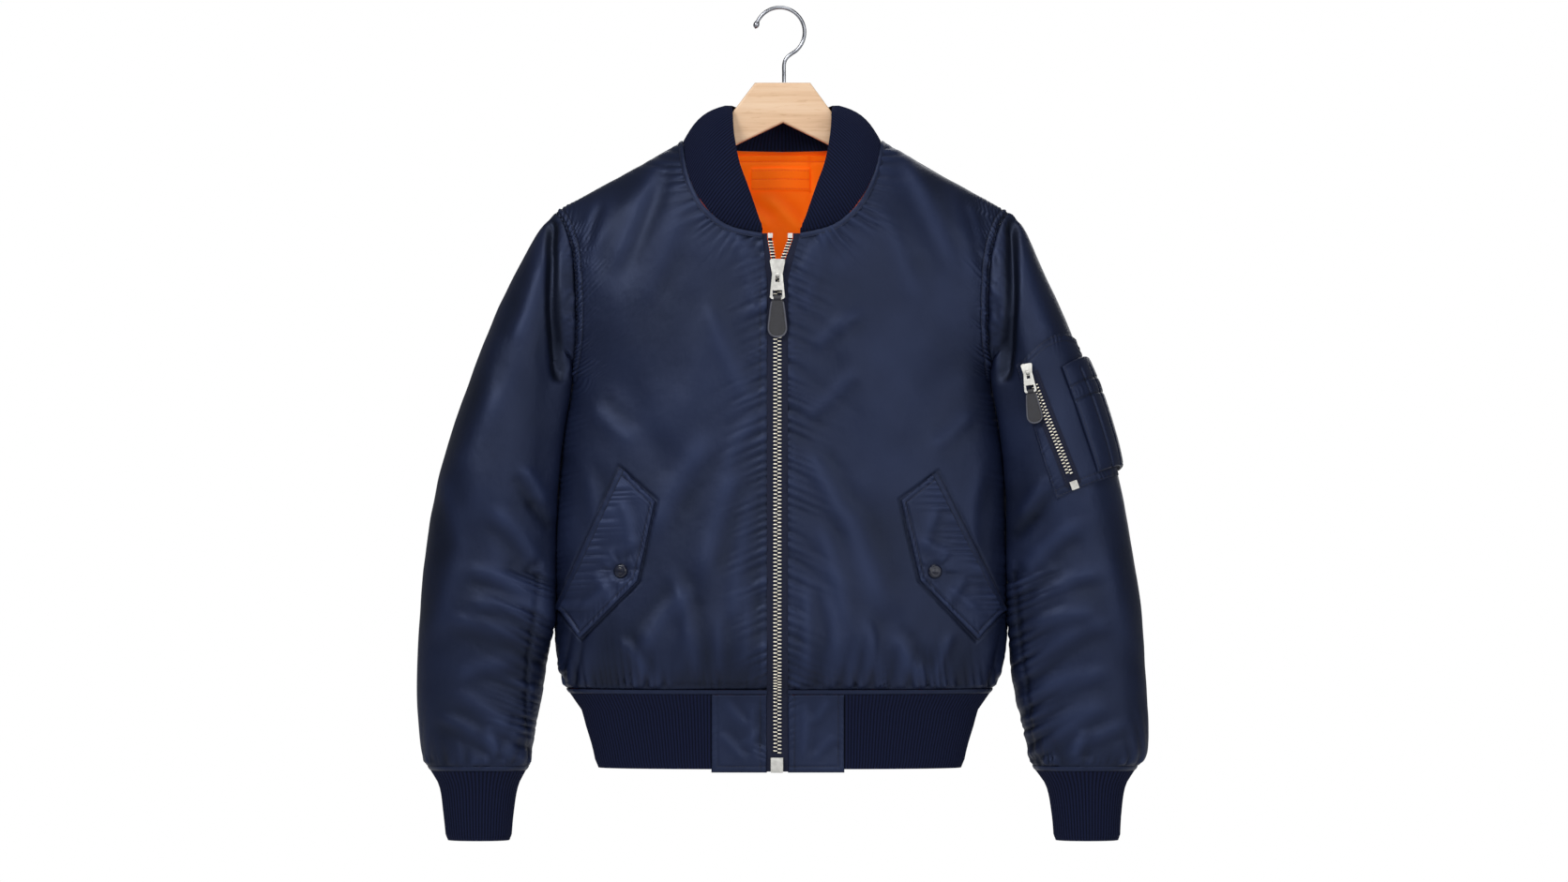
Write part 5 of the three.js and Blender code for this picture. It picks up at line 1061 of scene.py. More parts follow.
def beech_wood():
    """Pale beech: long grain along the hanger, short dark flecks, and a clear satin coat."""
    material, tree, shader = new_finish(
        "pale beech", Coat_Weight=0.2, Coat_Roughness=0.3, Specular_IOR_Level=0.4,
    )
    place = object_place(tree)
    long_grain = noise(tree, place, 26.0, 6.0, (0.22, 1.0, 3.2))
    fine = noise(tree, place, 150.0, 4.0, (0.12, 1.0, 3.0))
    flecks = ramp(tree, noise(tree, place, 420.0, 2.0, (0.16, 1.0, 1.0)), [(0.60, 0.0), (0.70, 1.0)])
    tone = calc(tree, "ADD", calc(tree, "MULTIPLY", long_grain, 0.7), calc(tree, "MULTIPLY", fine, 0.3))
    tone = calc(tree, "SUBTRACT", tone, calc(tree, "MULTIPLY", flecks, 0.10))
    stops = [(0.30, colour(200, 160, 122)), (0.50, colour(220, 184, 148)), (0.72, colour(230, 200, 168))]
    tree.links.new(ramp(tree, tone, stops), shader.inputs["Base Color"])
    tree.links.new(ramp(tree, fine, [(0.3, 0.42), (0.7, 0.55)]), shader.inputs["Roughness"])
    bump(tree, shader, (fine, 0.0002, 0.25), (flecks, 0.0001, 0.3))
    return material


NAVY = (colour(5, 8, 19), colour(16, 22, 42), colour(30, 38, 63))
NYLON = satin_cloth("navy nylon", *NAVY, 0.42, 0.22, (0.46, 0.57, 0.95, 1.0))
ORANGE = (colour(228, 70, 2), colour(255, 108, 8), colour(255, 140, 30))
# The lining's glow of 0.24 is painted light that brightens it in the shade inside the back.
LINING = satin_cloth("orange lining", *ORANGE, 0.5, 0.25, (1.0, 0.6, 0.3, 1.0), 0.24)
INSIDE = satin_cloth("inner side", *ORANGE, 0.6, 0.25, (1.0, 0.6, 0.3, 1.0))
KNIT = knit_cloth()
TAPE = tape_cloth()
THREAD = thread_finish()
DEEP_ORANGE = (colour(190, 58, 0), colour(228, 84, 4), colour(250, 110, 14))
LINING_THREAD = satin_cloth("orange thread", *DEEP_ORANGE, 0.5, 0.1)
TEETH_METAL = worn_metal("zip teeth", colour(226, 218, 198), colour(250, 245, 230), 0.42, 300.0)
STEEL = worn_metal("slider metal", colour(176, 175, 170), colour(214, 213, 208), 0.42, 120.0)
WIRE_METAL = worn_metal("hook wire", colour(120, 122, 128), colour(176, 178, 184), 0.2, 90.0)
LEATHER = pull_leather("pull leather", colour(20, 20, 26), colour(36, 36, 44), colour(88, 90, 104))
ENAMEL = snap_enamel()
BEECH = beech_wood()
RIM_LEATHER = pull_leather("leather rim", colour(62, 63, 72), colour(88, 90, 102), colour(118, 120, 132))
PULL_THREAD = satin_cloth("pull thread", colour(4, 4, 6), colour(9, 9, 12), colour(15, 15, 20), 0.5, 0.1)


def carry(piece, slot, *nodes):
    """Hides the CAD nodes that a piece stands for and returns the piece; slot is not used."""
    if nodes:
        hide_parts(*nodes)
    return piece


def make_stage():
    """Camera at the photo's place, a pale floor, a white surround and soft lights."""
    scene = bpy.context.scene
    scene.view_settings.view_transform = "Standard"
    lens = bpy.data.cameras.new("camera")
    lens.sensor_width = SENSOR
    lens.lens = SENSOR * CAMERA_AWAY / (PICTURE[0] * MM)
    camera = bpy.data.objects.new("camera", lens)
    across = (PICTURE[0] / 2 - AXIS_PIXEL) * MM
    level = (TOP_PIXEL - PICTURE[1] / 2) * MM
    camera.location = (across, -CAMERA_AWAY, level)
    camera.rotation_euler = (math.pi / 2, 0, 0)
    scene.collection.objects.link(camera)
    scene.camera = camera

    world = bpy.data.worlds.new("studio")
    scene.world = world
    world.use_nodes = True
    tree = world.node_tree
    seen = tree.nodes["Background"]
    seen.inputs["Color"].default_value = (1.0, 1.0, 1.0, 1.0)
    glow = add(tree, "ShaderNodeBackground", {"Color": (0.93, 0.96, 1.0, 1.0), "Strength": 0.17})
    path = add(tree, "ShaderNodeLightPath")
    both = add(tree, "ShaderNodeMixShader", {0: path.outputs["Is Camera Ray"]})
    tree.links.new(glow.outputs[0], both.inputs[1])
    tree.links.new(seen.outputs[0], both.inputs[2])
    tree.links.new(both.outputs[0], tree.nodes["World Output"].inputs["Surface"])

    for name, place, size, power in LIGHTS:
        light = bpy.data.lights.new(name, "AREA")
        light.size = size
        light.energy = power
        lamp = bpy.data.objects.new(name, light)
        lamp.location = place
        aim = Vector((0.0, 0.0, MIDDLE_LEVEL)) - Vector(place)
        lamp.rotation_euler = aim.to_track_quat("-Z", "Y").to_euler()
        scene.collection.objects.link(lamp)

    mesh = bpy.data.meshes.new("floor")
    half = FLOOR_SIZE / 2
    corners = [(-half, -half), (half, -half), (half, half), (-half, half)]
    mesh.from_pydata([(x, y, FLOOR_LEVEL) for x, y in corners], [], [(0, 1, 2, 3)])
    paper = new_finish("pale floor", Roughness=0.9, Base_Color=(0.86, 0.86, 0.87, 1.0))[0]
    mesh.materials.append(paper)
    floor = bpy.data.objects.new("floor", mesh)
    scene.collection.objects.link(floor)


def rounded(value, power):
    """Sine or cosine of a rounded box section of that power."""
    return np.sign(value) * np.abs(value) ** (2 / power)


def sample(table, share):
    """Rows of a table at any share of the way down it, by straight lines between them."""
    place = np.clip(share, 0, 1) * (len(table) - 1)
    i = np.minimum(place.astype(int), len(table) - 2)
    return mix(table[i], table[i + 1], (place - i)[..., None])


def spline(points, share):
    """Smooth curve through a few points that are at even steps of share."""
    points = np.array(points, float)
    steps = range(len(points))
    curves = [through({"at": steps, "is": column}, "at", "is") for column in points.T]
    return np.stack([curve(share * (len(points) - 1)) for curve in curves], axis=-1)


def seam_frames(points, outward, towards):
    """Seam rows from its points. Where front and back meet, at y 0, the seam runs along y."""
    along = unit(np.gradient(points, axis=0))
    along[points[:, 1] == 0] = (0, 1, 0)
    out = unit(outward - along * (outward * along).sum(axis=1, keepdims=True))
    across = turned_to(unit(np.cross(along, out)), towards)
    return np.concatenate([points, out, across], axis=1)


def armhole_seam(side, facing):
    """Armhole on one side and face, from the shoulder point to the underarm."""
    angle = np.linspace(0, np.pi, SEAM_STEPS + 1)
    down = mix(SHOULDER_POINT[1], UNDERARM_DOWN, (1 - np.cos(angle)) / 2)
    points = on_body(side * armhole_x(down), down, facing)
    points[[0, -1], 1] = 0
    lean = (side * SHOULDER_LEAN[0], 0, SHOULDER_LEAN[1])
    start = np.where((angle < np.pi / 2)[:, None], lean, (side, 0, 0))
    outward = np.outer(np.sin(angle), (side * 0.1, facing, 0)) + start * np.abs(np.cos(angle))[:, None]
    towards = np.stack([side * np.cos(angle / 2), 0 * angle, 1 - np.cos(angle / 2)], axis=1)
    return seam_frames(points, unit(outward), towards)


def neck_seam(side):
    """Collar seam on one front, from the neck point to the zip."""
    share = np.linspace(0, 1, SEAM_STEPS + 1)
    line = smooth_line(NECKLINE, SEAM_STEPS + 1)
    narrowed = FRONT_EDGE[side][0] / NECKLINE[-1][0]
    x = side * line[:, 0] * mix(1, narrowed, share)
    points = on_body(x, line[:, 1], -1)
    points[0, 1] = 0
    turn = np.pi / 2 * share**0.4
    outward = np.outer(np.cos(turn), (side * NECK_LEAN[0], 0, NECK_LEAN[1]))
    outward = outward + np.outer(np.sin(turn), (side * 0.12, -1, 0.12))
    return seam_frames(points, unit(outward), np.broadcast_to((-side, 0, 0.8), points.shape))


def back_neck_seam():
    """Collar seam at the back, from the neck point on the viewer's left to the one on the right."""
    angle = np.linspace(-np.pi / 2, np.pi / 2, SEAM_STEPS + 1)
    x = NECK_POINT[0] * np.sin(angle)
    points = on_body(x, mix(NECK_POINT[1], BACK_NECK_DOWN, np.cos(angle)), 1)
    points[[0, -1], 1] = 0
    turn = np.pi / 2 * np.clip(np.cos(angle), 0, 1) ** 0.6
    over = np.stack([np.sign(x) * NECK_LEAN[0], 0 * x, 0 * x + NECK_LEAN[1]], axis=1)
    outward = over * np.cos(turn)[:, None] + np.outer(np.sin(turn), (0, 1, 0.18))
    return seam_frames(points, unit(outward), np.broadcast_to((0, 0, 1), points.shape))


ARM_SEAMS = {(side, facing): armhole_seam(side, facing) for side in (-1, 1) for facing in (-1, 1)}
NECK_SEAMS = {side: neck_seam(side) for side in (-1, 1)}
BACK_NECK = back_neck_seam()


def outer_ends(side, facing, row):
    """Armhole and side edge of a body panel at each row: points and outward directions."""
    arm = sample(ARM_SEAMS[side, facing], row / ARM_ROWS)
    below = (row > ARM_ROWS)[:, None]
    down = np.interp(row, (ARM_ROWS, LAST_ROW), (UNDERARM_DOWN, HEM_DOWN))
    low = points_of(shift_at(down) + side * half_at(down), 0, down)
    points = np.where(below, low, arm[:, :3] - arm[:, 6:] * HALF_GAP)
    points[:, 1] = facing * np.maximum(facing * points[:, 1], HALF_GAP)
    return points, unit(np.where(below, (side, 0, 0), arm[:, 3:6]))


def inner_ends(side, row):
    """Neckline and zip edge of a front at each row: points and outward directions."""
    neck = sample(NECK_SEAMS[side], row / NECK_ROWS)
    below = (row > NECK_ROWS)[:, None]
    top, low = FRONT_EDGE[side]
    down = np.interp(row, (NECK_ROWS, ARM_ROWS, LAST_ROW), (NECKLINE[-1][1], UNDERARM_DOWN, HEM_DOWN))
    x = side * np.interp(down, (NECKLINE[-1][1], OPEN_DOWN), (top, low))
    points = np.where(below, on_body(x, down), neck[:, :3] - neck[:, 6:] * HALF_GAP)
    points[:, 1] = np.minimum(points[:, 1], -HALF_GAP)
    return points, unit(np.where(below, (0, -1, 0), neck[:, 3:6]))


def row_shares(start, end, down, columns):
    """Shares across each row that bunch its points where the section turns towards the side."""
    half = np.maximum(half_at(down), np.abs(end))
    angles = [np.arccos(np.clip(np.abs(x) / half, 0, 1) ** (BODY_POWER / 2)) for x in (start, end)]
    first, last = (np.cos(angle)[:, None] ** (2 / BODY_POWER) for angle in angles)
    place = np.cos(mix(angles[0][:, None], angles[1][:, None], columns)) ** (2 / BODY_POWER)
    return (place - first) / (last - first)


def even_rows(make, count):
    """Row numbers at even distances down a piece, measured along a few of its columns."""
    rough = LAST_ROW * np.linspace(0, 1, 500) ** 2
    grid = make(rough, np.linspace(0, 1, 7))
    fall = np.linalg.norm(np.diff(grid, axis=0), axis=2).mean(axis=1)
    along = np.concatenate([[0], np.cumsum(fall)])
    return np.interp(np.linspace(0, along[-1], count), along, rough)


def front_grid(side, row, column):
    """Base points of a front: straight rows from its inner edge to its outer edge, lifted onto the body."""
    start = inner_ends(side, row)[0]
    end = outer_ends(side, -1, row)[0]
    share = row_shares(start[:, 0], end[:, 0], -end[:, 2], column)
    x = mix(start[:, :1], end[:, :1], share)
    down = -mix(start[:, 2:], end[:, 2:], share)
    grid = points_of(x, np.minimum(body_depth(x, down, -1), -HALF_GAP), down)
    grid[:, 0], grid[:, -1] = start, end
    return grid


def back_top(column):
    """Top edge of the back at shares of its width: one shoulder, the back of the neck, the other shoulder."""
    shoulder = 0.375
    side = np.where(column < 0.5, -1, 1)
    t = np.clip(np.minimum(column, 1 - column) / shoulder, 0, 1)
    x, down = (mix(far, near, t) for far, near in zip(SHOULDER_POINT, NECK_POINT))
    over = points_of(side * x, HALF_GAP, down)
    lean = np.stack([side * SHOULDER_LEAN[0], 0 * t, 0 * t + SHOULDER_LEAN[1]], axis=1)
    neck = sample(BACK_NECK, (column - shoulder) / (1 - 2 * shoulder))
    inside = ((column > shoulder) & (column < 1 - shoulder))[:, None]
    points = np.where(inside, neck[:, :3] - neck[:, 6:] * HALF_GAP, over)
    points[:, 1] = np.maximum(points[:, 1], HALF_GAP)
    return points, unit(np.where(inside, neck[:, 3:6], lean))


def back_grid(row, column):
    """Base points of the back: its top rows follow the shoulders and the neck, and settle to level ones."""
    left = outer_ends(-1, 1, row)[0]
    right = outer_ends(1, 1, row)[0]
    top = back_top(column)[0]
    centre = mix(BACK_NECK_DOWN, HEM_DOWN, (row / LAST_ROW) ** 1.15)[:, None]
    settle = np.clip(row / ARM_ROWS, 0, 1)[:, None]
    level = row_shares(0 * row, left[:, 0], -left[:, 2], np.abs(2 * column - 1))
    top_share = np.abs(top[:, 0]) / SHOULDER_POINT[0]
    share = mix(top_share, level, settle)
    edge = np.where(column < 0.5, left[:, :1], right[:, :1])
    x = mix(shift_at(centre) * settle, edge, share)
    dip = -top[:, 2] - mix(BACK_NECK_DOWN, SHOULDER_POINT[1], top_share)
    down = mix(centre, -left[:, 2:], share) + dip * np.maximum(0, 1 - row / 7)[:, None] ** 1.5
    grid = points_of(x, np.maximum(body_depth(x, down, 1), HALF_GAP), down)
    grid[:, 0], grid[:, -1] = left, right
    if row[0] == 0:
        grid[0] = top
    return grid


def eased(normals, top=None, bottom=None, left=None, right=None, reach=7):
    """Directions that turn to the seams' own ones over a few rows or columns at each edge."""
    rows, cols = normals.shape[:2]
    by_row = np.arange(rows)[:, None, None] / reach
    by_col = np.arange(cols)[None, :, None] / reach
    if left is not None:
        normals = mix(left[:, None], normals, fade(by_col))
    if right is not None:
        normals = mix(right[:, None], normals, fade(by_col)[:, ::-1])
    if top is not None:
        normals = mix(top[None], normals, fade(by_row))
    if bottom is not None:
        normals = mix(bottom[None], normals, fade(by_row)[::-1])
    return unit(normals)


def lowest_near(height, ratio, closed):
    """Lowest height around each point, over one coarse step, so that an inner face stays clear."""
    down, across = ratio
    padded = np.pad(height, ((down, down), (0, 0)), mode="edge")
    low = np.min([padded[k:k + len(height)] for k in range(2 * down + 1)], axis=0)
    padded = np.pad(low, ((0, 0), (across, across)), mode="wrap" if closed else "edge")
    return np.min([padded[:, k:k + height.shape[1]] for k in range(2 * across + 1)], axis=0)


def seam_edge(away, rows=(1.8, 7.6), sunk=1.3):
    """Height beside a topstitched seam: it sinks into the seam, puffs up, and dimples at each stitch row."""
    height = -sunk * bell(away, 1.7) + 0.6 * bell(away - 4.4, 2.6)
    for row in rows:
        height = height - 0.8 * bell(away - row, 1.0)
    return height


def flat_line(points):
    """The front view of a line of points, as places x, down."""
    return np.stack([points[:, 0], -points[:, 2]], axis=1)


def body_relief(side, facing, x, down):
    """Height of a panel's cloth over its plain form: creases, gathers at each seam, and stitched edges."""
    table = FRONT_CREASES[side] if facing < 0 else BACK_CREASES
    height = creases(table, x, down)
    height = height + 0.8 * rolling(x, down, 62, 11 + side) + 0.3 * rolling(x, down, 21, 31 + side)
    seed = 40 + 20 * side + 100 * facing
    sides = (side,) if facing < 0 else (-1, 1)
    for which in sides:
        arm = flat_line(ARM_SEAMS[which, facing][::5])
        along, off = near_line(x, down, arm)
        away = np.abs(off)
        height = height + puckers(along, away, 2.0, 19, 4.8, 0.9, seed + which) + seam_edge(away)
        edge = shift_at(down) + which * half_at(down)
        beside = np.where(down > UNDERARM_DOWN, np.abs(edge - x), 99)
        height = height + puckers(down, beside, 0.8, 15, 9, 0.3, seed + 5 + which)
        height = mix(np.minimum(height, 0.3), height, fade(beside / 16))
    foot = HEM_DOWN - down
    gathers = puckers(x, foot, 2.1, 26, 8.5, 0.12, seed + 9) + puckers(x, foot, 2.6, 50, 23, -0.2, seed + 13)
    height = height + gathers * fade(foot / 5) - 0.9 * bell(foot, 2.2)
    if facing < 0:
        neck = flat_line(NECK_SEAMS[side][::5])
        along, off = near_line(x, down, neck)
        height = height + puckers(along, np.abs(off) - 6, 1.5, 24, 9, 0.2, seed + 17)
        placket = np.where(down > NECKLINE[-1][1] - 4, np.abs(x) - FRONT_EDGE[side][1], 99)
        height = height + puckers(down, placket, 1.9, 26, 9.5, -0.45, seed + 21)
        height = height + 0.8 * puckers(down, placket, 1.2, 48, 27, -0.7, seed + 25)
        height = height + seam_edge(placket, (6.8,), 0.4)
        covered = flap_covers(side, x, down)
        height = mix(height, np.minimum(height, 0.8), fade(covered / 5 + 1))
        height = height - 1.3 * bell(covered + 1.2, 1.3)
    return height


def put_panel(name, facing, make, normals_at, side=1):
    """One body panel as a wall with its relief."""
    rows, cols = PANEL_STEPS["front" if facing < 0 else "back"]
    row = even_rows(make, rows + 1)
    column = np.linspace(0, 1, cols + 1)
    grid = make(row, column)
    normals = grid_normals(grid)
    normals = normals * np.sign((normals[..., 1] * facing).mean())
    level = unit(normals[-1] * (1, 1, 0))
    top, left, right = normals_at(row, column)
    normals = eased(normals, top, level, left, right)
    height = np.clip(body_relief(side, facing, grid[..., 0], -grid[..., 2]), *BODY_LIMITS)
    return put_wall(name, grid, height, normals, CLOTH, (5, 5), [NYLON, INSIDE])


def put_body():
    """Both fronts and the back."""
    for side in (-1, 1):
        def ends(row, column, side=side):
            shoulder = np.broadcast_to((side * SHOULDER_LEAN[0], 0, SHOULDER_LEAN[1]), (len(column), 3))
            return shoulder, inner_ends(side, row)[1], outer_ends(side, -1, row)[1]

        def make(row, column, side=side):
            return front_grid(side, row, column)

        name = f"front_{SIDE_NAME[side]}"
        piece = carry(put_panel(f"cloth_{name}", -1, make, ends, side), "nylon", name)

    def back_ends(row, column):
        return back_top(column)[1], outer_ends(-1, 1, row)[1], outer_ends(1, 1, row)[1]

    back = carry(put_panel("cloth_back", 1, back_grid, back_ends), "nylon", "back")


def sleeve_shape(side):
    """Curves through the columns of one sleeve's table."""
    name = SIDE_NAME[side].title()
    curves = {key: through(SLEEVE, "row", key) for key in ("outDown", "inDown", "deep")}
    return curves | {key: through(SLEEVE, "row", key + name) for key in ("out", "in", "reach")}


SLEEVE_SHAPES = {side: sleeve_shape(side) for side in (-1, 1)}


def plain_sleeve(side, turn, row):
    """Points of a sleeve's rounded sections."""
    shape = SLEEVE_SHAPES[side]
    share = (1 + rounded(np.cos(turn), SLEEVE_POWER)) / 2
    x = mix(shape["in"](row), shape["out"](row), share)
    x = x - shape["reach"](row) * np.maximum(1 - share / REACH_SHARE, 0) ** 2
    tuck = TUCK["deep"] * fade((row - 0.8) / 1.4) * fade((12.2 - row) / 1.4)
    tuck = tuck + TUCK["more"] * bell(row - TUCK["more_row"], 1.2)
    x = x - tuck * bell(turn - TUCK["angle"], TUCK["spread"])
    down = mix(shape["inDown"](row), shape["outDown"](row), share)
    return points_of(side * x, -shape["deep"](row) * rounded(np.sin(turn), SLEEVE_POWER), down)


def arm_side(side, turn):
    """Armhole seam rows at angles round a sleeve: the front for the first half turn, then the back."""
    front = sample(ARM_SEAMS[side, -1], turn / np.pi)
    back = sample(ARM_SEAMS[side, 1], 2 - turn / np.pi)
    return np.where((turn <= np.pi)[..., None], front, back)


def sleeve_points(side, turn, row):
    """Points of a sleeve: plain sections, drawn to the armhole seam near the top, with the largest folds."""
    points = plain_sleeve(side, turn, row)
    seam = arm_side(side, turn)
    pull = seam[..., :3] + seam[..., 6:] * HALF_GAP - plain_sleeve(side, turn, np.zeros(np.shape(turn)))
    points = points + pull * fade(1 - row / 2.5)[..., None]
    hold = np.clip(row / 1.5, 0, 1) * np.clip((LAST_ROW - row) / 1.5, 0, 1)
    for angle, at, width, length, height in SLEEVE_FOLDS:
        across = bell(row - at, length) * bell(turn - angle, 2 * width)
        points[..., 1] -= np.sign(np.sin(turn)) * height * across * hold
    return points


def sleeve_relief(side, turn, grid):
    """Height of a sleeve's cloth: creases on both faces, gathers at both ends, and the ruched inner seam."""
    x, down = grid[..., 0] * side, -grid[..., 2]
    front = creases(SLEEVE_CREASES[side], x, down)
    along, off = near_line(x, down, RUCHED_SEAM[side])
    near = bell(np.maximum(np.abs(down - 700) - 90, 0), 26)
    ruche = puckers(along, off, 2.1, 26, 9.5, 0.35, 71 + side)
    ruche = ruche + 0.9 * puckers(along, off, 2.4, 50, 21, 0.5, 75 + side)
    front = front + (ruche - 1.6 * bell(off, 2.4)) * near
    back = creases(SLEEVE_BACK_CREASES, x, down)
    along, off = near_line(x, down, ARM_TROUGH)
    trough = bell(off, 5.5) * fade(along / 22) * fade((arc_lengths(np.array(ARM_TROUGH))[-1] - along) / 18)
    front = front - 8.5 * trough
    height = mix(back, front, fade((np.sin(turn) + 0.35) / 0.7))
    height = height + 0.8 * rolling(x + 90 * np.cos(turn), down, 58, 51 + side)
    height = height + 0.3 * rolling(x, down, 20, 53 + side)
    seam = arm_side(side, turn)[..., :3]
    away = np.linalg.norm(grid - seam[:1], axis=2)
    arc = arc_lengths(np.concatenate([seam[0], seam[0, :1]]))[:-1][None]
    height = height + puckers(arc, away, 1.8, 22, 6.5, 0.4, 57 + side) - 1.6 * bell(away, 2.0)
    foot = SLEEVE["outDown"][-1] - down
    round_it = 46 * turn
    outer_turn = (turn < np.pi) | (turn > 2 * np.pi - 0.7)
    covered = (side > 0) * fade(inside_outline(SLEEVE_COVER, x, down) / 6 + 1) * outer_turn
    height = mix(height, np.minimum(height, 0.8), covered)
    inner_edge = fade((-0.82 - np.cos(turn)) / 0.12)
    height = mix(height, np.minimum(height, 0.3), inner_edge)
    gathers = puckers(round_it, foot, 2.3, 20, 8.0, 0.1, 61 + side)
    gathers = gathers + 0.8 * puckers(round_it, foot, 2.0, 44, 19, -0.3, 65 + side)
    return height + gathers * fade(foot / 4) - 1.0 * bell(foot, 2.4)


def put_sleeves():
    """Both sleeves as closed tubes."""
    rows, cols = PANEL_STEPS["sleeve"]
    turn = 2 * np.pi * np.arange(cols) / cols
    for side in (-1, 1):
        def make(row, column, side=side):
            return sleeve_points(side, *np.broadcast_arrays(2 * np.pi * column[None] * 0.999, row[:, None]))

        row = even_rows(make, rows + 1)
        turns, places = np.broadcast_arrays(turn[None], row[:, None])
        grid = sleeve_points(side, turns, places)
        middle = grid.mean(axis=1, keepdims=True)
        normals = grid_normals(grid, closed=True)
        normals = normals * np.sign((normals * (grid - middle)).sum(axis=2).mean())
        level = unit(normals[-1] * (1, 1, 0))
        normals = eased(normals, arm_side(side, turn)[:, 3:6], level)
        height = np.clip(sleeve_relief(side, turns, grid), -9.5, 6)
        name = f"sleeve_{SIDE_NAME[side]}"
        piece = put_wall(f"cloth_{name}", grid, height, normals, CLOTH, (5, 4), [NYLON, INSIDE], closed=True)
        carry(piece, "nylon", name)


def rib_wave(share, count):
    """Rounded ribs between sharp valleys: 0 in a valley and 1 on a rib."""
    return np.abs(np.sin(np.pi * count * share)) ** 0.7


def turned_edge(share, reach, ends=(False, True)):
    """Falls to -1 over the last part of a piece, as a quarter round, where its edge is folded over."""
    near_start = np.clip(1 - share / reach, 0, 1) if ends[0] else 0 * share
    near_end = np.clip(1 - (1 - share) / reach, 0, 1) if ends[1] else 0 * share
    t = np.maximum(near_start, near_end)
    return np.sqrt(1 - np.minimum(t, 1) ** 2) - 1


def put_ribbed(name, node, outer_base, inner_base, out, count, share, edge, closed=False):
    """A ribbed knit wall: ribs on its outer face, flatter ones on its inner face, and soft folded edges."""
    wave = rib_wave(share, count)[None]
    soft = edge[:, None]
    outer = outer_base + out * (RIB_HEIGHT * wave * (1 + np.minimum(soft, 0)) + 1.1 * soft)[..., None]
    inner = inner_base - out * (0.5 * RIB_HEIGHT * wave * (1 + np.minimum(soft, 0)) + 1.1 * soft)[..., None]
    points, faces = shell(outer, inner, closed)
    uv = np.concatenate([cloth_uv(grid, closed).reshape(-1, 2) for grid in (outer_base, inner_base)])
    # Rib heights, stored for the knit material to paint shade into the valleys.
    relief = np.broadcast_to(0.8 * wave, outer.shape[:2]).ravel()
    values = {"relief": np.concatenate([relief, relief])}
    piece = put_mesh(name, points, faces, [KNIT], (0, 0, 0), uv, values)
    return carry(piece, "knit", node)


def collar_table():
    """Rows of twelve numbers round the collar seam, from zip to zip: the seam's nine and the free edge."""
    share = np.linspace(0, 1, SEAM_STEPS + 1)
    parts = []
    for side in (-1, 1):
        edge = spline([(side * x, y, -down) for x, y, down in COLLAR_FRONT_EDGE], share)
        parts.append(np.concatenate([NECK_SEAMS[side], edge], axis=1))
    half = [(x, y, -down) for x, y, down in COLLAR_BACK_EDGE]
    back_edge = spline([(-x, y, z) for x, y, z in half] + half[-2::-1], share)
    back = np.concatenate([BACK_NECK, back_edge], axis=1)
    return np.concatenate([parts[0][::-1], back[1:-1], parts[1]])


COLLAR_TABLE = collar_table()


def put_collar():
    """Ribbed collar: a section from each seam point to the free edge, bowed outwards."""
    middle = mix(COLLAR_TABLE[:, :3], COLLAR_TABLE[:, 9:], 0.4)
    along = arc_lengths(middle)
    count = int(along[-1] / RIB_PITCH)
    share = np.linspace(0, 1, count * RIB_POINTS + 1)
    rows = at_lengths(share * along[-1], along, COLLAR_TABLE)
    start = rows[:, :3] + rows[:, 6:9] * HALF_GAP
    width = np.linalg.norm(rows[:, 9:] - start, axis=1)
    v = np.linspace(0, 1, COLLAR_ROWS + 1)[:, None]
    bulge = COLLAR_BULGE * np.minimum(1, width / 50) * np.sin(np.pi * v)
    base = mix(start[None], rows[None, :, 9:], v[..., None]) + rows[None, :, 3:6] * bulge[..., None]
    out = turned_to(grid_normals(base), rows[None, :, 3:6])
    out = eased(out, top=unit(rows[:, 3:6]), reach=3)
    edge = turned_edge(v[:, 0], 0.09)
    piece = put_ribbed("knit_collar", "collar_rib", base, base - out * RIB_WALL, out, count, share, edge)


def put_binding():
    """Nylon binding on the body's side of the collar seam."""
    along = arc_lengths(COLLAR_TABLE[:, :3])
    arc = np.linspace(0, along[-1], 401)
    line = at_lengths(arc, along, COLLAR_TABLE[:, :9])
    v = np.linspace(0, 1, 7)[:, None, None]
    out = np.broadcast_to(unit(line[None, :, 3:6]), (7, 401, 3))
    base = line[None, :, :3] - line[None, :, 6:9] * mix(0.5, BINDING_WIDTH, v) + out * 1.6
    height = 1.0 * arched(v[..., 0], 0.08, 0.92) + 0.16 * uneven(arc[None], 5, 91) - 0.4
    height = height - 0.35 * bell(v[..., 0] - 0.8, 0.12)
    piece = put_wall("cloth_collar_binding", base, height, out, 0.8, (1, 1), [NYLON])
    carry(piece, "nylon", "collar_binding")
    stitch(base[5] + out[5] * height[5][:, None], out[5])


def hem_point(down, angle, out):
    """Level outline of the body, moved out: angle 0 is mid-front and grows to the viewer's right."""
    half = half_at(down) + out
    deep = np.where(np.cos(angle) > 0, front_at(down), back_at(down)) + out
    x = shift_at(down) + rounded(np.sin(angle), BODY_POWER) * half
    return points_of(x, -rounded(np.cos(angle), BODY_POWER) * deep, down)


def hem_angle(x, down):
    """Angle round the level outline of a place on the front."""
    share = (x - shift_at(down)) / half_at(down)
    return np.arcsin(rounded(share, 4 / BODY_POWER))


def hem_shares(right, left, down, count):
    """Shares of the angle at even distances round the hem."""
    angle = np.linspace(hem_angle(right, down), 2 * np.pi + hem_angle(left, down), 1200)
    along = arc_lengths(hem_point(down, angle, 0.0))
    places = np.interp(np.linspace(0, along[-1], count), along, angle)
    return (places - angle[0]) / (angle[-1] - angle[0]), along[-1]


def hem_grid(downs, right, left, share, out):
    """Points round the back of the hem, from x at its right end to x at its left end."""
    start = hem_angle(right, downs)[:, None]
    end = 2 * np.pi + hem_angle(left, downs)[:, None]
    return hem_point(downs[:, None], mix(start, end, share[None]), out)


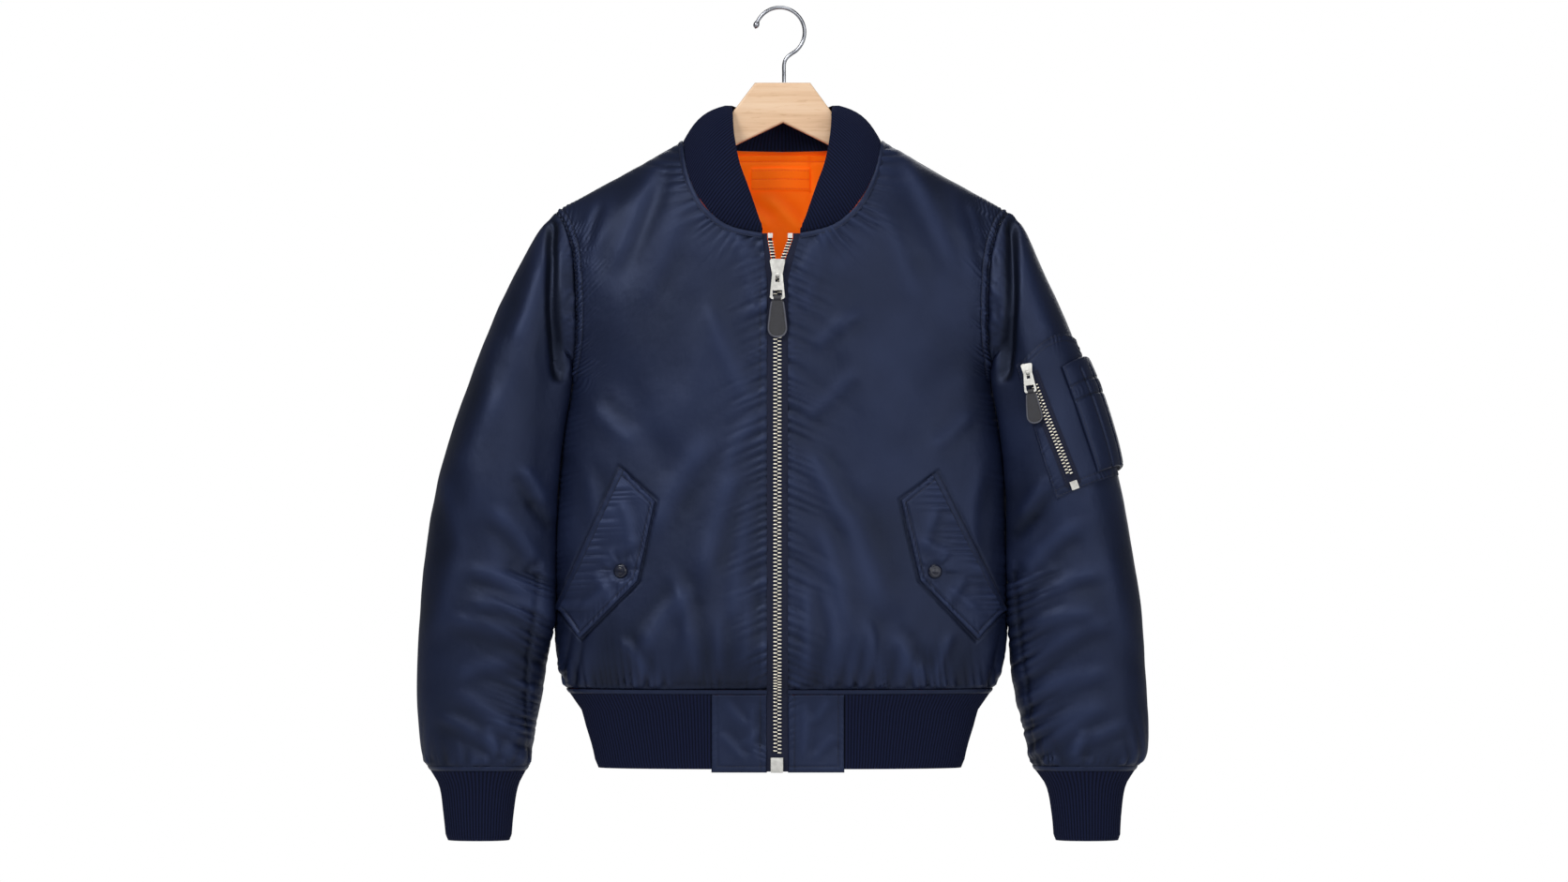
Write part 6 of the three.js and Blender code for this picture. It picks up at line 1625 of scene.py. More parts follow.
def put_hem_band():
    """Hem band, round the back from zip to zip."""
    right, left = FRONT_EDGE[1][1], -FRONT_EDGE[-1][1]
    share, length = hem_shares(right, left, HEM_BAND_MIDDLE, HEM_BAND_POINTS)
    downs = np.linspace(*HEM_BAND, 7)
    base = hem_grid(downs, right, left, share, 0.8)
    out = unit((base - hem_grid(downs, right, left, share, -2.0)) * (1, 1, 0))
    v = np.linspace(0, 1, 7)[:, None]
    height = 1.3 * arched(v, 0.1, 0.9) + 0.3 * uneven(length * share, 7, 95)[None] - 0.8
    piece = put_wall("cloth_hem_band", base, height, out, 2.6, (1, 2), [NYLON])
    carry(piece, "nylon", "hem_band")


def put_hem_rib():
    """Ribbed hem, round the back from tab to tab."""
    right = HEM_TABS[1][1] + SEAM_GAP
    left = HEM_TABS[-1][1] - SEAM_GAP
    length = hem_shares(right, left, HEM_RIB_MIDDLE, 2)[1]
    count = int(length / RIB_PITCH)
    share = hem_shares(right, left, HEM_RIB_MIDDLE, count * RIB_POINTS + 1)[0]
    v = np.linspace(0, 1, 10)
    downs = mix(*HEM_RIB, v)
    outer = hem_grid(downs, right, left, share, 0.6)
    inner = hem_grid(downs, right, left, share, -RIB_WALL)
    out = unit((outer - inner) * (1, 1, 0))
    rib_share = np.linspace(0, 1, len(share))
    edge = turned_edge(v, 0.05) + 0.5 * turned_edge(v, 0.12, (True, False))
    piece = put_ribbed("knit_hem", "hem_rib", outer, inner, out, count, rib_share, edge)


def put_hem_tabs():
    """The two nylon tabs at the front of the hem."""
    for side in (-1, 1):
        inside, outside = HEM_TABS[side]
        u, v = shares(81, 61)
        x = mix(inside, outside, u) + 0 * v
        down = mix(HEM_RIB[0], TAB_BOTTOM, v) + 0 * u
        base = on_body(x, down)
        out = unit(body_normal(x, down) * (1, 1, 0))
        height = 0.6 + 0.5 * rolling(x, down, 24, 101 + side) + creases(TAB_CREASES[side], x, down)
        across = np.abs(x - inside)
        to_edge = np.minimum(np.abs(x - outside), TAB_BOTTOM - down)
        height = height + puckers(down, across, 0.7, 12, 9, 0.4, 103 + side)
        height = height + puckers(down, to_edge, 0.4, 8, 8, 0.4, 105 + side)
        height = height - 0.45 * bell(to_edge - 6.5, 1.1) - 0.45 * bell(across - 6.8, 1.1)
        soft = np.minimum(np.minimum(to_edge, across), down - HEM_RIB[0])
        height = height - 1.0 * turned_down(soft, 1.6)
        name = f"hem_tab_{SIDE_NAME[side]}"
        piece = put_wall(f"cloth_{name}", base, height, out, CLOTH, (2, 2), [NYLON])
        carry(piece, "nylon", name)
        row_x, row_down = outside - side * 6.5, TAB_BOTTOM - 6.5
        stitch_place(row_x, np.linspace(HEM_RIB[0] + 2, row_down, 40), 0.3)
        stitch_place(np.linspace(row_x, inside + side * 2, 40), row_down, 0.3)
        stitch_place(inside + side * 6.8, np.linspace(HEM_RIB[0] + 2, TAB_BOTTOM - 3, 40), 0.3)


def stitch_place(x, down, lift):
    """A row of stitches on the body's front, that far over its plain face."""
    x, down = np.broadcast_arrays(np.asarray(x, float), np.asarray(down, float))
    out = body_normal(x, down)
    stitch(on_body(x, down) + out * lift, out)


def tube_grid(table, side, downs, turn, out):
    """Level rounded sections of a cuff at each height."""
    name = SIDE_NAME[side].title()
    keys = (f"out{name}", f"in{name}", "deep")
    outer, inner, deep = (through(table, "down", key)(downs)[:, None] for key in keys)
    share = (1 + rounded(np.cos(turn), SLEEVE_POWER)) / 2
    x = mix(inner - out, outer + out, share)
    return points_of(side * x, -(deep + out) * rounded(np.sin(turn), SLEEVE_POWER), downs[:, None])


def even_turn(table, side, down, count):
    """Angles at even distances round a cuff."""
    turn = np.linspace(0, 2 * np.pi, 1200)
    along = arc_lengths(tube_grid(table, side, np.array([down]), turn, 0.0)[0])
    return np.interp(np.linspace(0, along[-1], count + 1)[:-1], along, turn), along[-1]


def put_cuffs():
    """Ribbed cuffs, each under a nylon band."""
    for side in (-1, 1):
        put_cuff_rib(side)
        put_cuff_band(side)


def put_cuff_rib(side):
    """Ribbed cuff of one sleeve."""
    name = f"cuff_rib_{SIDE_NAME[side]}"
    length = even_turn(CUFF, side, CUFF_MIDDLE, 2)[1]
    count = int(length / RIB_PITCH)
    turn = even_turn(CUFF, side, CUFF_MIDDLE, count * RIB_POINTS)[0]
    v = np.linspace(0, 1, 13)
    downs = mix(CUFF["down"][0], CUFF["down"][-1], v)
    outer = tube_grid(CUFF, side, downs, turn, 0.0)
    inner = tube_grid(CUFF, side, downs, turn, -RIB_WALL)
    out = unit((outer - inner) * (1, 1, 0))
    share = np.arange(len(turn)) / len(turn)
    edge = turned_edge(v, 0.05)
    piece = put_ribbed(f"knit_{name}", name, outer, inner, out, count, share, edge, closed=True)


def put_cuff_band(side):
    """Nylon band over one cuff."""
    name = f"cuff_band_{SIDE_NAME[side]}"
    turn, length = even_turn(CUFF_BAND, side, CUFF_BAND_MIDDLE, CUFF_BAND_POINTS)
    v = np.linspace(0, 1, 7)
    downs = mix(*CUFF_BAND["down"], v)
    base = tube_grid(CUFF_BAND, side, downs, turn, 0.0)
    out = unit((base - tube_grid(CUFF_BAND, side, downs, turn, -2.0)) * (1, 1, 0))
    gathers = uneven(np.arange(CUFF_BAND_POINTS) / CUFF_BAND_POINTS * length, 6, 111)[None]
    height = 1.6 * arched(v[:, None], 0.12, 0.9) + 0.4 * gathers - 1.0
    piece = put_wall(f"cloth_{name}", base, height, out, 2.4, (1, 2), [NYLON], closed=True)
    carry(piece, "nylon", name)


def put_tube(name, line, radius, sides, finish, slot, body="root", *nodes):
    """A wire: a circle of that radius square to each point of a line, with closed ends."""
    line = np.asarray(line, float)
    along = unit(np.gradient(line, axis=0))
    first = unit(np.cross(along, (0.0, 1.0, 0.0)) + (1e-6, 0, 0))
    second = np.cross(along, first)
    turn = 2 * np.pi * np.arange(sides) / sides
    size = np.broadcast_to(radius, len(line))[:, None, None]
    ring = first[:, None] * np.cos(turn)[None, :, None] + second[:, None] * np.sin(turn)[None, :, None]
    points = line[:, None] + ring * size
    ids = np.arange(len(line) * sides).reshape(len(line), sides)
    ids = np.concatenate([ids, ids[:, :1]], axis=1)
    caps = np.stack([ids[0, :sides], ids[-1, :sides][::-1]])
    faces = [grid_quads(ids), caps]
    flat = points.reshape(-1, 3)
    if volume_of(flat, split(faces[0])) < 0:
        faces = [array[:, ::-1] for array in faces]
    return carry(put_mesh(name, flat, faces, [finish], body=body), slot, *nodes)


def put_hook():
    """Wire hook: a loop, a short bend and a straight shaft, with a small ball at the free tip."""
    angle = np.radians(np.linspace(HOOK_LOOP["start"], HOOK_LOOP["end"], 90))
    loop_x = HOOK_LOOP["x"] + HOOK_LOOP["radius"] * np.cos(angle)
    loop_down = HOOK_LOOP["down"] - HOOK_LOOP["radius"] * np.sin(angle)
    bend = np.array([(loop_x[-1], loop_down[-1]), *HOOK_SHAFT])
    bend = smooth_line(bend, 60)
    x = np.concatenate([loop_x, bend[1:, 0]])
    down = np.concatenate([loop_down, bend[1:, 1]])
    line = even_line(points_of(x, 0 * x, down), 220)
    along = arc_lengths(line)
    tip_at, tip_size = np.array(HOOK_TIP).T
    radius = np.interp(along, tip_at + 0.2, tip_size, right=2.0)
    put_tube("wire_hook", line, radius, 16, WIRE_METAL, "hook_wire", "root", "hook")


def inside_patch(x, down):
    """Distance inside the patch's outline, below 0 outside it."""
    across = np.minimum(x - PATCH["left"], PATCH["right"] - x)
    return np.minimum(across, np.minimum(down - PATCH["top"], PATCH["bottom"] - down))


def put_lining():
    """Orange lining inside the back: the back's face moved in, with seams and soft wrinkles."""
    u, v = shares(77, 101)
    size = LINING_SIZE
    x = mix(-size["half"], size["half"], u) + 0 * v
    down = np.maximum(mix(size["top"], size["bottom"], v**1.4), shoulder_down(x) + size["below"])
    normal = body_normal(x, down, 1)
    base = on_body(x, down, 1) - normal * (size["behind"] + size["thick"])
    hang = fade((down - 185) / 60)
    height = 1.0 * rolling(x, down, 26, 121) * hang + 0.5 * rolling(x, down, 11, 123) * hang
    height = height + creases(LINING_CREASES, x, down)
    height = height + 0.5 * puckers(x, down - size["top"], 0.9, 8, 6, 0.2, 125)
    height = height - 0.9 * bell(down - LINING_ROW_DOWN, 1.4) - 1.0 * bell(x - LINING_SEAM_X, 1.5)
    height = height + 0.7 * puckers(down, np.abs(x - LINING_SEAM_X), 0.8, 9, 7, 0.4, 127)
    height = mix(np.clip(height, -1.2, 0.2), height, fade(-inside_patch(x, down) / 8))
    piece = put_wall("cloth_lining", base, np.clip(height, -1.2, 4), -normal, 1.0, (1, 1), [LINING])
    carry(piece, "lining", "lining_back")


def put_patch():
    """Bare patch on the lining, with its edge turned in and a seam across it."""
    u, v = shares(31, 61)
    x = mix(PATCH["left"], PATCH["right"], u) + 0 * v
    down = mix(PATCH["top"], PATCH["bottom"], v) + 0 * u
    normal = body_normal(x, down, 1)
    base = on_body(x, down, 1) - normal * (PATCH["behind"] + PATCH["thick"])
    rim_away = inside_patch(x, down)
    height = 0.25 * rolling(x, down, 14, 131) - 0.5 * bell(rim_away, 0.9)
    height = height - 0.3 * bell(down - PATCH_ROW_DOWN, 0.9) - 0.25 * bell(rim_away - 2.4, 0.7)
    piece = put_wall("cloth_patch", base, height, -normal, 0.6, (1, 1), [LINING])
    carry(piece, "lining", "lining_label")


def stitch_lining():
    """Stitch rows of the lining and its patch."""
    across = np.linspace(PATCH["left"] + 2, PATCH["right"] - 2, 40)
    rows = (
        (np.linspace(-100, 100, 80), np.full(80, LINING_ROW_DOWN), 5.6),
        (np.full(40, LINING_SEAM_X + 2.2), np.linspace(196, 290, 40), 6.0),
        (across, np.full(40, PATCH_ROW_DOWN), 8.2),
        (across, np.full(40, PATCH["bottom"] - 2.4), 8.3),
        (across, np.full(40, PATCH["top"] + 2.4), 8.3),
    )
    for x, down, away in rows:
        normal = body_normal(x, down, 1)
        stitch(on_body(x, down, 1) - normal * (away + 0.25), -normal)
    put_stitches("lining_stitches", LINING_THREAD)


def block(long, wide, high):
    """A small block with rounded ends and sides, for a zip tooth."""
    share = np.array([-1.0, -0.86, 0.86, 1.0])
    swell = np.array([0.72, 1.0, 1.0, 0.72])
    turn = 2 * np.pi * (np.arange(8) + 0.5) / 8
    across = np.sign(np.cos(turn)) * np.abs(np.cos(turn)) ** 0.4
    rise = np.sign(np.sin(turn)) * np.abs(np.sin(turn)) ** 0.4
    x = np.repeat(share * long / 2, 8)
    y = np.outer(swell, across * wide / 2).ravel()
    z = np.outer(swell, rise * high / 2).ravel()
    ids = np.arange(32).reshape(4, 8)
    ids = np.concatenate([ids, ids[:, :1]], axis=1)
    caps = np.stack([ids[0, :8][::-1], ids[-1, :8]])
    return np.stack([x, y, z], axis=1), [grid_quads(ids)[:, ::-1], caps]


def put_teeth(name, line, out, across, half, pitch, high, core, nodes, both=True):
    """A zip chain: teeth in turn from each side of a line, on a narrow dark cord strip."""
    along = arc_lengths(line)
    count = int(along[-1] / pitch)
    frames = []
    sides = (-1, 1) if both else (0,)
    for side in sides:
        place = (np.arange(count) + 0.5 + 0.25 * side) * pitch
        at = at_lengths(place, along, line)
        o = unit(at_lengths(place, along, out))
        a = unit(at_lengths(place, along, across))
        f = unit(np.cross(o, a))
        reach = half * 0.5 + 0.35 if both else 0.0
        frames.append(np.stack([a, f, o, at + a * (side * reach * 0.92) - o * high / 2], axis=1))
    long = half * 1.05 if both else half * 2
    shape, shape_faces = block(long, pitch * 0.36, high)
    points, faces = joined_copies(shape, shape_faces, np.concatenate(frames))
    u = np.linspace(-1, 1, 5)[None, :, None]
    strip = line[:, None] + across[:, None] * (half * core * u) - out[:, None] * (high * 0.55)
    back = strip - out[:, None] * (high * 0.42)
    strip_points, strip_faces = shell(strip, back)
    step = len(points)
    points = np.concatenate([points, strip_points])
    faces = faces + [array + step for array in strip_faces]
    uv = np.zeros((len(points), 2))
    uv[step:step + strip.shape[0] * 5] = cloth_uv(strip).reshape(-1, 2)
    piece = put_mesh(name, points, faces, [TEETH_METAL, TAPE], (0, 0, 1, 1, 1), uv)
    return carry(piece, "zip_metal", *nodes)


def open_line(side, share):
    """Middle of an open chain end, from the slider to its stop."""
    x = mix(ZIP_X + side * OPEN_CHAIN["apart"], STOP_X[side] + side * OPEN_CHAIN["at_stop"], share)
    return x, mix(OPEN_CHAIN["start"], OPEN_CHAIN["end"], share)


def put_main_zip():
    """Main zip: closed chain, two open ends and two tapes, all on the front's depth."""
    ahead = np.array([0.0, -1.0, 0.0])
    sideways = np.array([1.0, 0.0, 0.0])
    down = np.linspace(*CHAIN_DOWN, CHAIN_POINTS)
    line = on_body(np.full(CHAIN_POINTS, float(ZIP_X)), down) + ahead * CHAIN_PROUD
    broad = np.broadcast_to
    put_teeth(
        "metal_zip_chain", line, broad(ahead, line.shape), broad(sideways, line.shape), CHAIN_HALF,
        TEETH_PITCH, CHAIN_THICK, CHAIN_CORE, ("zip_chain",),
    )
    for side in (-1, 1):
        share = np.linspace(0, 1, OPEN_CHAIN["points"])
        x, down = open_line(side, share)
        line = on_body(x, down) + ahead * CHAIN_PROUD
        name = f"zip_open_{SIDE_NAME[side]}"
        put_teeth(
            f"metal_{name}", line, broad(ahead, line.shape), broad(sideways, line.shape),
            OPEN_CHAIN["half"], OPEN_CHAIN["pitch"], CHAIN_THICK, OPEN_CHAIN["core"], (name,), both=False,
        )
        top, below = FRONT_EDGE[side]
        down = np.linspace(TAPE_TOP, OPEN_DOWN, 28)
        down = np.concatenate([down, np.linspace(OPEN_DOWN + 4, TAPE_BOTTOM, 120)])
        share = np.clip((OPEN_CHAIN["start"] - down) / (OPEN_CHAIN["start"] - OPEN_CHAIN["end"]), 0, 1)
        beside = ZIP_X + side * (CHAIN_HALF + SEAM_GAP)
        inside = np.where(down < OPEN_DOWN, open_line(side, share)[0] + side * 2.7, beside)
        edge = side * mix(top, below, np.clip((down - NECKLINE[-1][1]) / 50, 0, 1))
        outside = edge + side * TAPE_UNDER
        u = np.linspace(0, 1, 9)[None]
        x = mix(inside[:, None], outside[:, None], u)
        grid = on_body(x, down[:, None] + 0 * u) - ahead * 0.9
        height = 0.12 * rolling(x, down[:, None] + 0 * u, 9, 141) - 0.1
        out = broad(ahead, grid.shape)
        piece = put_wall(f"cloth_zip_tape_{SIDE_NAME[side]}", grid, height, out, 1.6, (1, 1), [TAPE])
        carry(piece, "tape", f"zip_tape_{SIDE_NAME[side]}")


def flap_covers(side, x, down):
    """How far inside the outline of a pocket and its welt each place lies, below 0 outside."""
    pocket = FLAPS[side]
    (top_x, top_down), (low_x, low_down) = pocket["welt"]
    length = math.hypot(low_x - top_x, low_down - top_down)
    push = (side * (low_down - top_down) / length * 8, -side * (low_x - top_x) / length * 8)
    corners = [(top_x + push[0], top_down + push[1]), *pocket["edge"], (low_x + push[0], low_down + push[1])]
    return inside_outline(corners, x, down)


def inside_outline(corners, x, down):
    """Distance inside an outline that bulges everywhere: the least one to its edges, below 0 outside."""
    middle_x, middle_down = np.mean(corners, axis=0)
    least = np.full(np.shape(x), 1e9)
    for (ax, ad), (bx, bd) in zip(corners, [*corners[1:], corners[0]]):
        nx, nd = bd - ad, ax - bx
        sign = 1 if (middle_x - ax) * nx + (middle_down - ad) * nd > 0 else -1
        least = np.minimum(least, sign * ((x - ax) * nx + (down - ad) * nd) / math.hypot(nx, nd))
    return least


def put_pockets():
    """Both slanted pockets: flap, welt and snap."""
    for side in (-1, 1):
        pocket = FLAPS[side]
        name = SIDE_NAME[side]
        u, v = shares(FLAP_STEPS[0] + 1, FLAP_STEPS[1] + 1)
        (top_x, top_down), (low_x, low_down) = pocket["welt"]
        edge = np.array(pocket["edge"], float)
        edge_x = np.interp(v, (0, 0.5, 1), edge[:, 0])
        edge_down = np.interp(v, (0, 0.5, 1), edge[:, 1])
        x = mix(mix(top_x, low_x, v), edge_x, u)
        down = mix(mix(top_down, low_down, v), edge_down, u)
        free = np.abs(near_line(x, down, np.array([(top_x, top_down), *edge, (low_x, low_down)]))[1])
        along, off = near_line(x, down, np.array(pocket["welt"], float))
        snap_x, snap_down = pocket["snap"]
        away = np.hypot(x - snap_x, down - snap_down)
        round_snap = np.arctan2(down - snap_down, x - snap_x)
        rays = uneven(round_snap * 9 + 40, 2.6, 151 + side) * bell(away - 15, 9)
        height = 0.9 * rolling(x, down, 34, 153 + side) + 0.3 * rolling(x, down, 14, 155 + side)
        height = height + 1.1 * rays + puckers(along, np.abs(off), 1.3, 17, 9, 0.5, 157 + side)
        height = height + puckers(along + free, free, 0.7, 9, 7, 0.3, 159 + side)
        height = height + creases(FLAP_CREASES[side], x, down)
        height = height - 0.9 * bell(free - 5.5, 1.0) - 1.6 * turned_down(free, 1.8)
        height = mix(np.full_like(height, -1.2), height, fade((away - 7) / 7))
        height = np.clip(height + 1.2, -0.6, 4.2)
        out = body_normal(x, down)
        base = on_body(x, down) + out * (FLAP_LIFT + FLAP_THICK)
        piece = put_wall(f"cloth_flap_{name}", base, height, out, 1.6, (2, 2), [NYLON])
        carry(piece, "nylon", f"pocket_flap_{name}")
        stitch_flap(base + out * height[..., None], out, free)

        u = np.linspace(0, 1, 9)[None]
        length = math.hypot(low_x - top_x, low_down - top_down)
        push = np.array([side * (low_down - top_down) / length, -side * (low_x - top_x) / length])
        v = np.linspace(0, 1, 151)[:, None]
        off = SEAM_GAP + WELT["width"] * u
        x = mix(top_x, low_x, v) + push[0] * off
        down = mix(top_down, low_down, v) + push[1] * off
        out = body_normal(x, down)
        base = on_body(x, down) + out * (WELT["lift"] + WELT["thick"])
        height = 0.7 * arched(u, 0.08, 0.92) - 0.3
        height = height + 0.3 * uneven(length * v, 6, 161 + side)
        piece = put_wall(f"cloth_welt_{name}", base, height, out, 1.2, (1, 1), [NYLON])
        carry(piece, "nylon", f"pocket_welt_{name}")
        for column in (1, 7):
            stitch(base[:, column] + out[:, column] * (height[:, column, None] + 0.1), out[:, column])

        centre = np.array([[snap_x]]), np.array([[snap_down]])
        out = body_normal(*centre)[0, 0]
        middle = on_body(*centre)[0, 0] + out * (SNAP_OUT - 0.1)
        put_snap(f"metal_snap_{name}", middle, out, f"snap_{name}")


def stitch_flap(surface, out, free):
    """Stitches along the flap's three free edges, found on its own grid."""
    rows, cols = FLAP_STEPS
    column = int(np.argmin(np.abs(free[rows // 2] - FLAP_STITCH)))
    top = int(np.argmin(np.abs(free[:rows // 4, cols // 2] - FLAP_STITCH)))
    low = rows - int(np.argmin(np.abs(free[:rows // 2:-1, cols // 2] - FLAP_STITCH)))
    rows = np.arange(top, low + 1)
    stitch(surface[rows, column] + out[rows, column] * 0.1, out[rows, column])
    for row in (top, low):
        stitch(surface[row, 3:column] + out[row, 3:column] * 0.1, out[row, 3:column])


def put_snap(name, middle, out, node):
    """Snap cap: its profile turned round the outward direction."""
    profile = np.array(SNAP_PROFILE, float)
    first = unit(np.cross(out, (0.0, 0.0, 1.0)))
    second = np.cross(out, first)
    turn = 2 * np.pi * np.arange(56) / 56
    ring = np.cos(turn)[:, None] * first + np.sin(turn)[:, None] * second
    points = middle + profile[:, :1, None] * ring[None] + profile[:, 1:, None] * out
    ids = np.arange(points.shape[0] * 56).reshape(-1, 56)
    ids = np.concatenate([ids, ids[:, :1]], axis=1)
    faces = [grid_quads(ids), np.stack([ids[0, :56], ids[-1, :56][::-1]])]
    flat = points.reshape(-1, 3)
    if volume_of(flat, split(faces[0])) < 0:
        faces = [array[:, ::-1] for array in faces]
    carry(put_mesh(name, flat, faces, [ENAMEL], sharp=40), "snap_metal", node)


def sleeve_at(x, down):
    """Angles and rows of the right-hand sleeve at places seen from the front, found by Newton steps."""
    x, down = np.broadcast_arrays(np.asarray(x, float), np.asarray(down, float))
    turn, row, step = np.full(x.shape, 1.4), np.full(x.shape, 6.0), 1e-4
    for _ in range(NEWTON_STEPS):
        now = sleeve_points(1, turn, row)
        by_turn = (sleeve_points(1, turn + step, row) - now) / step
        by_row = (sleeve_points(1, turn, row + step) - now) / step
        miss_x, miss_z = now[..., 0] - x, now[..., 2] + down
        spin = by_turn[..., 0] * by_row[..., 2] - by_row[..., 0] * by_turn[..., 2]
        turn_step = (by_row[..., 2] * miss_x - by_row[..., 0] * miss_z) / spin
        row_step = (by_turn[..., 0] * miss_z - by_turn[..., 2] * miss_x) / spin
        turn = np.clip(turn - np.clip(turn_step, -0.5, 0.5), 0.1, np.pi - 0.1)
        row = np.clip(row - np.clip(row_step, -3, 3), 0.5, LAST_ROW - 0.5)
    return turn, row


def sleeve_frame(turn, row):
    """Points and outward directions of the sleeve on the viewer's right at arrays of angles and rows."""
    turn, row = np.broadcast_arrays(turn, row)
    step = 0.01
    wrapped = np.mod(turn, 2 * np.pi)
    points = sleeve_points(1, wrapped, row)
    after, before = (sleeve_points(1, np.mod(turn + change, 2 * np.pi), row) for change in (step, -step))
    across = after - before
    fall = sleeve_points(1, wrapped, row + step) - sleeve_points(1, wrapped, row - step)
    middle = plain_sleeve(1, np.array([0.0, np.pi]), np.array([6.0, 6.0])).mean(axis=0)
    return points, turned_to(unit(np.cross(across, fall)), points - middle * (1, 1, 0) - points * (0, 0, 1))


def sleeve_patch(size, u, v):
    """Angles and rows of a patch between two corners on its left and two angles and heights on its right."""
    out_down = SLEEVE["outDown"]
    right = [(size["angle"], np.interp(down, out_down, SLEEVE["row"])) for down in size["downs"]]
    left = [sleeve_at(*size[end]) for end in ("top", "bottom")]
    turn = mix(mix(left[0][0], left[1][0], v), mix(right[0][0], right[1][0], v), u)
    row = mix(mix(left[0][1], left[1][1], v), mix(right[0][1], right[1][1], v), u)
    return turn, row


def sleeve_line(start, end, t, across):
    """Angles and rows of a straight band seen from the front: a share along its line, a distance across."""
    (ax, ad), (bx, bd) = start, end
    length = math.hypot(bx - ax, bd - ad)
    x = mix(ax, bx, t) + across * (bd - ad) / length
    down = mix(ad, bd, t) - across * (bx - ax) / length
    return sleeve_at(x, down)


def put_sleeve_pocket():
    """Sleeve pocket: a patch on the sleeve with stitched edges and a double row at both ends."""
    rows, cols = SLEEVE_POCKET_STEPS
    u, v = shares(rows + 1, cols + 1)
    points, out = sleeve_frame(*sleeve_patch(SLEEVE_POCKET, u, v))
    x, down = points[..., 0], -points[..., 2]
    wide = arc_lengths(points[rows // 2])[-1]
    long = arc_lengths(points[:, cols // 2])[-1]
    side_away = wide * np.minimum(u, 1 - u) + 0 * v
    end_away = long * np.minimum(v, 1 - v) + 0 * u
    rim_away = np.minimum(side_away, end_away)
    height = 0.5 * rolling(x, down, 26, 171) + puckers(long * v + 0 * u, side_away, 0.8, 10, 7, 0.4, 173)
    height = height + puckers(wide * u + 0 * v, end_away, 0.9, 10, 7, 0.3, 175)
    height = height - 0.45 * bell(rim_away - 2.2, 0.9) - 0.45 * bell(end_away - 7.5, 0.9)
    height = np.clip(height - 0.9 * turned_down(rim_away, 1.5), -0.9, 0.5)
    base = points + out * (SLEEVE_POCKET["lift"] + SLEEVE_POCKET["thick"])
    piece = put_wall("cloth_sleeve_pocket", base, height, out, 0.8, (2, 2), [NYLON])
    carry(piece, "nylon", "sleeve_pocket")
    surface = base + out * (height[..., None] + 0.1)
    columns = (u[0] > 0.03) & (u[0] < 0.97)
    for place in SLEEVE_POCKET["rows"]:
        row = int(round(place / long * rows))
        stitch(surface[row, columns], out[row, columns])
        stitch(surface[rows - row, columns], out[rows - row, columns])
    column = max(int(round(SLEEVE_POCKET["rows"][0] / wide * cols)), 1)
    stitch(surface[2:-2, column], out[2:-2, column])


def put_sleeve_zip():
    """Tape and chain of the sleeve pocket's zip."""
    t = np.linspace(0.03, 1, 41)[:, None]
    across = SLEEVE_ZIP["tape"] * np.linspace(-1, 1, 9)[None]
    turn, row = sleeve_line(SLEEVE_ZIP["top"], SLEEVE_ZIP["bottom"], t + 0 * across, across + 0 * t)
    points, out = sleeve_frame(turn, row)
    base = points + out * (SLEEVE_ZIP["lift"] + 0.8)
    height = -0.25 * np.clip(1 - (1 - np.abs(across / SLEEVE_ZIP["tape"])) / 0.2, 0, 1) ** 2 + 0 * t
    piece = put_wall("cloth_sleeve_zip_tape", base, height, out, 0.5, (1, 1), [TAPE])
    carry(piece, "tape", "sleeve_zip_tape")
    for column in (1, 7):
        stitch(base[:, column] + out[:, column] * 0.15, out[:, column])

    t = np.linspace(0.12, 0.92, 60)[:, None]
    turn, row = sleeve_line(SLEEVE_ZIP["top"], SLEEVE_ZIP["bottom"], t, 0 * t)
    points, out = (array[:, 0] for array in sleeve_frame(turn, row))
    along = unit(np.gradient(points, axis=0))
    line = points + out * (SLEEVE_ZIP["chain_lift"] + 2.0)
    across = unit(np.cross(out, along))
    names = ("sleeve_zip_chain",)
    put_teeth("metal_sleeve_chain", line, out, across, SLEEVE_ZIP["chain"], 3.6, 2.0, 0.94, names)


def put_pen_pocket():
    """Pen pocket over the sleeve pocket: a swollen patch, with slots along its band and rows across it."""
    steps = PEN_POCKET_STEPS
    u, v = shares(steps + 1, steps + 1)
    points, out = sleeve_frame(*sleeve_patch(PEN_POCKET, u, v))
    swell = 3 + 4.5 * np.sin(np.pi * u) ** 0.6 * np.sin(np.pi * mix(0.04, 0.96, v)) ** 0.5
    wide = arc_lengths(points[steps // 2])[-1]
    long = arc_lengths(points[:, steps // 2])[-1]
    rim_away = np.minimum(wide * np.minimum(u, 1 - u), long * np.minimum(v, 1 - v))
    height = -1.0 * turned_down(rim_away, 1.8) - 0.4 * bell(rim_away - 2.4, 0.8)
    for slot in PEN_SLOTS:
        height = height - 2.2 * bell((u - slot) * wide, 1.5) * fade((v - 0.06) / 0.05)
    for row in PEN_ROWS:
        height = height - 1.2 * bell((v - row) * long, 1.2)
    height = height + puckers(wide * u + 0 * v, long * np.abs(v - 0.27), 0.5, 12, 6, 0.2, 181)
    base = points + out * (PEN_POCKET["lift"] + swell[..., None])
    thick = swell - 0.6
    outer = base + out * np.clip(height, -1.9, 0.8)[..., None]
    inner = base[::2, ::2] - out[::2, ::2] * thick[::2, ::2, None]
    shape, faces = shell(outer, inner)
    uv = np.concatenate([cloth_uv(base).reshape(-1, 2), cloth_uv(inner).reshape(-1, 2)])
    values = {"relief": np.concatenate([height.ravel(), np.zeros(inner.shape[0] * inner.shape[1])])}
    piece = put_mesh("cloth_pen_pocket", shape, faces, [NYLON], (0, 0, 0), uv, values)
    carry(piece, "nylon", "pen_pocket")
    for row in PEN_ROWS:
        k = int(round(row * steps))
        stitch(outer[k, 4:-4] + out[k, 4:-4] * 0.1, out[k, 4:-4])
    column = int(round(2.4 / wide * steps))
    stitch(outer[3:-3, column] + out[3:-3, column] * 0.1, out[3:-3, column])


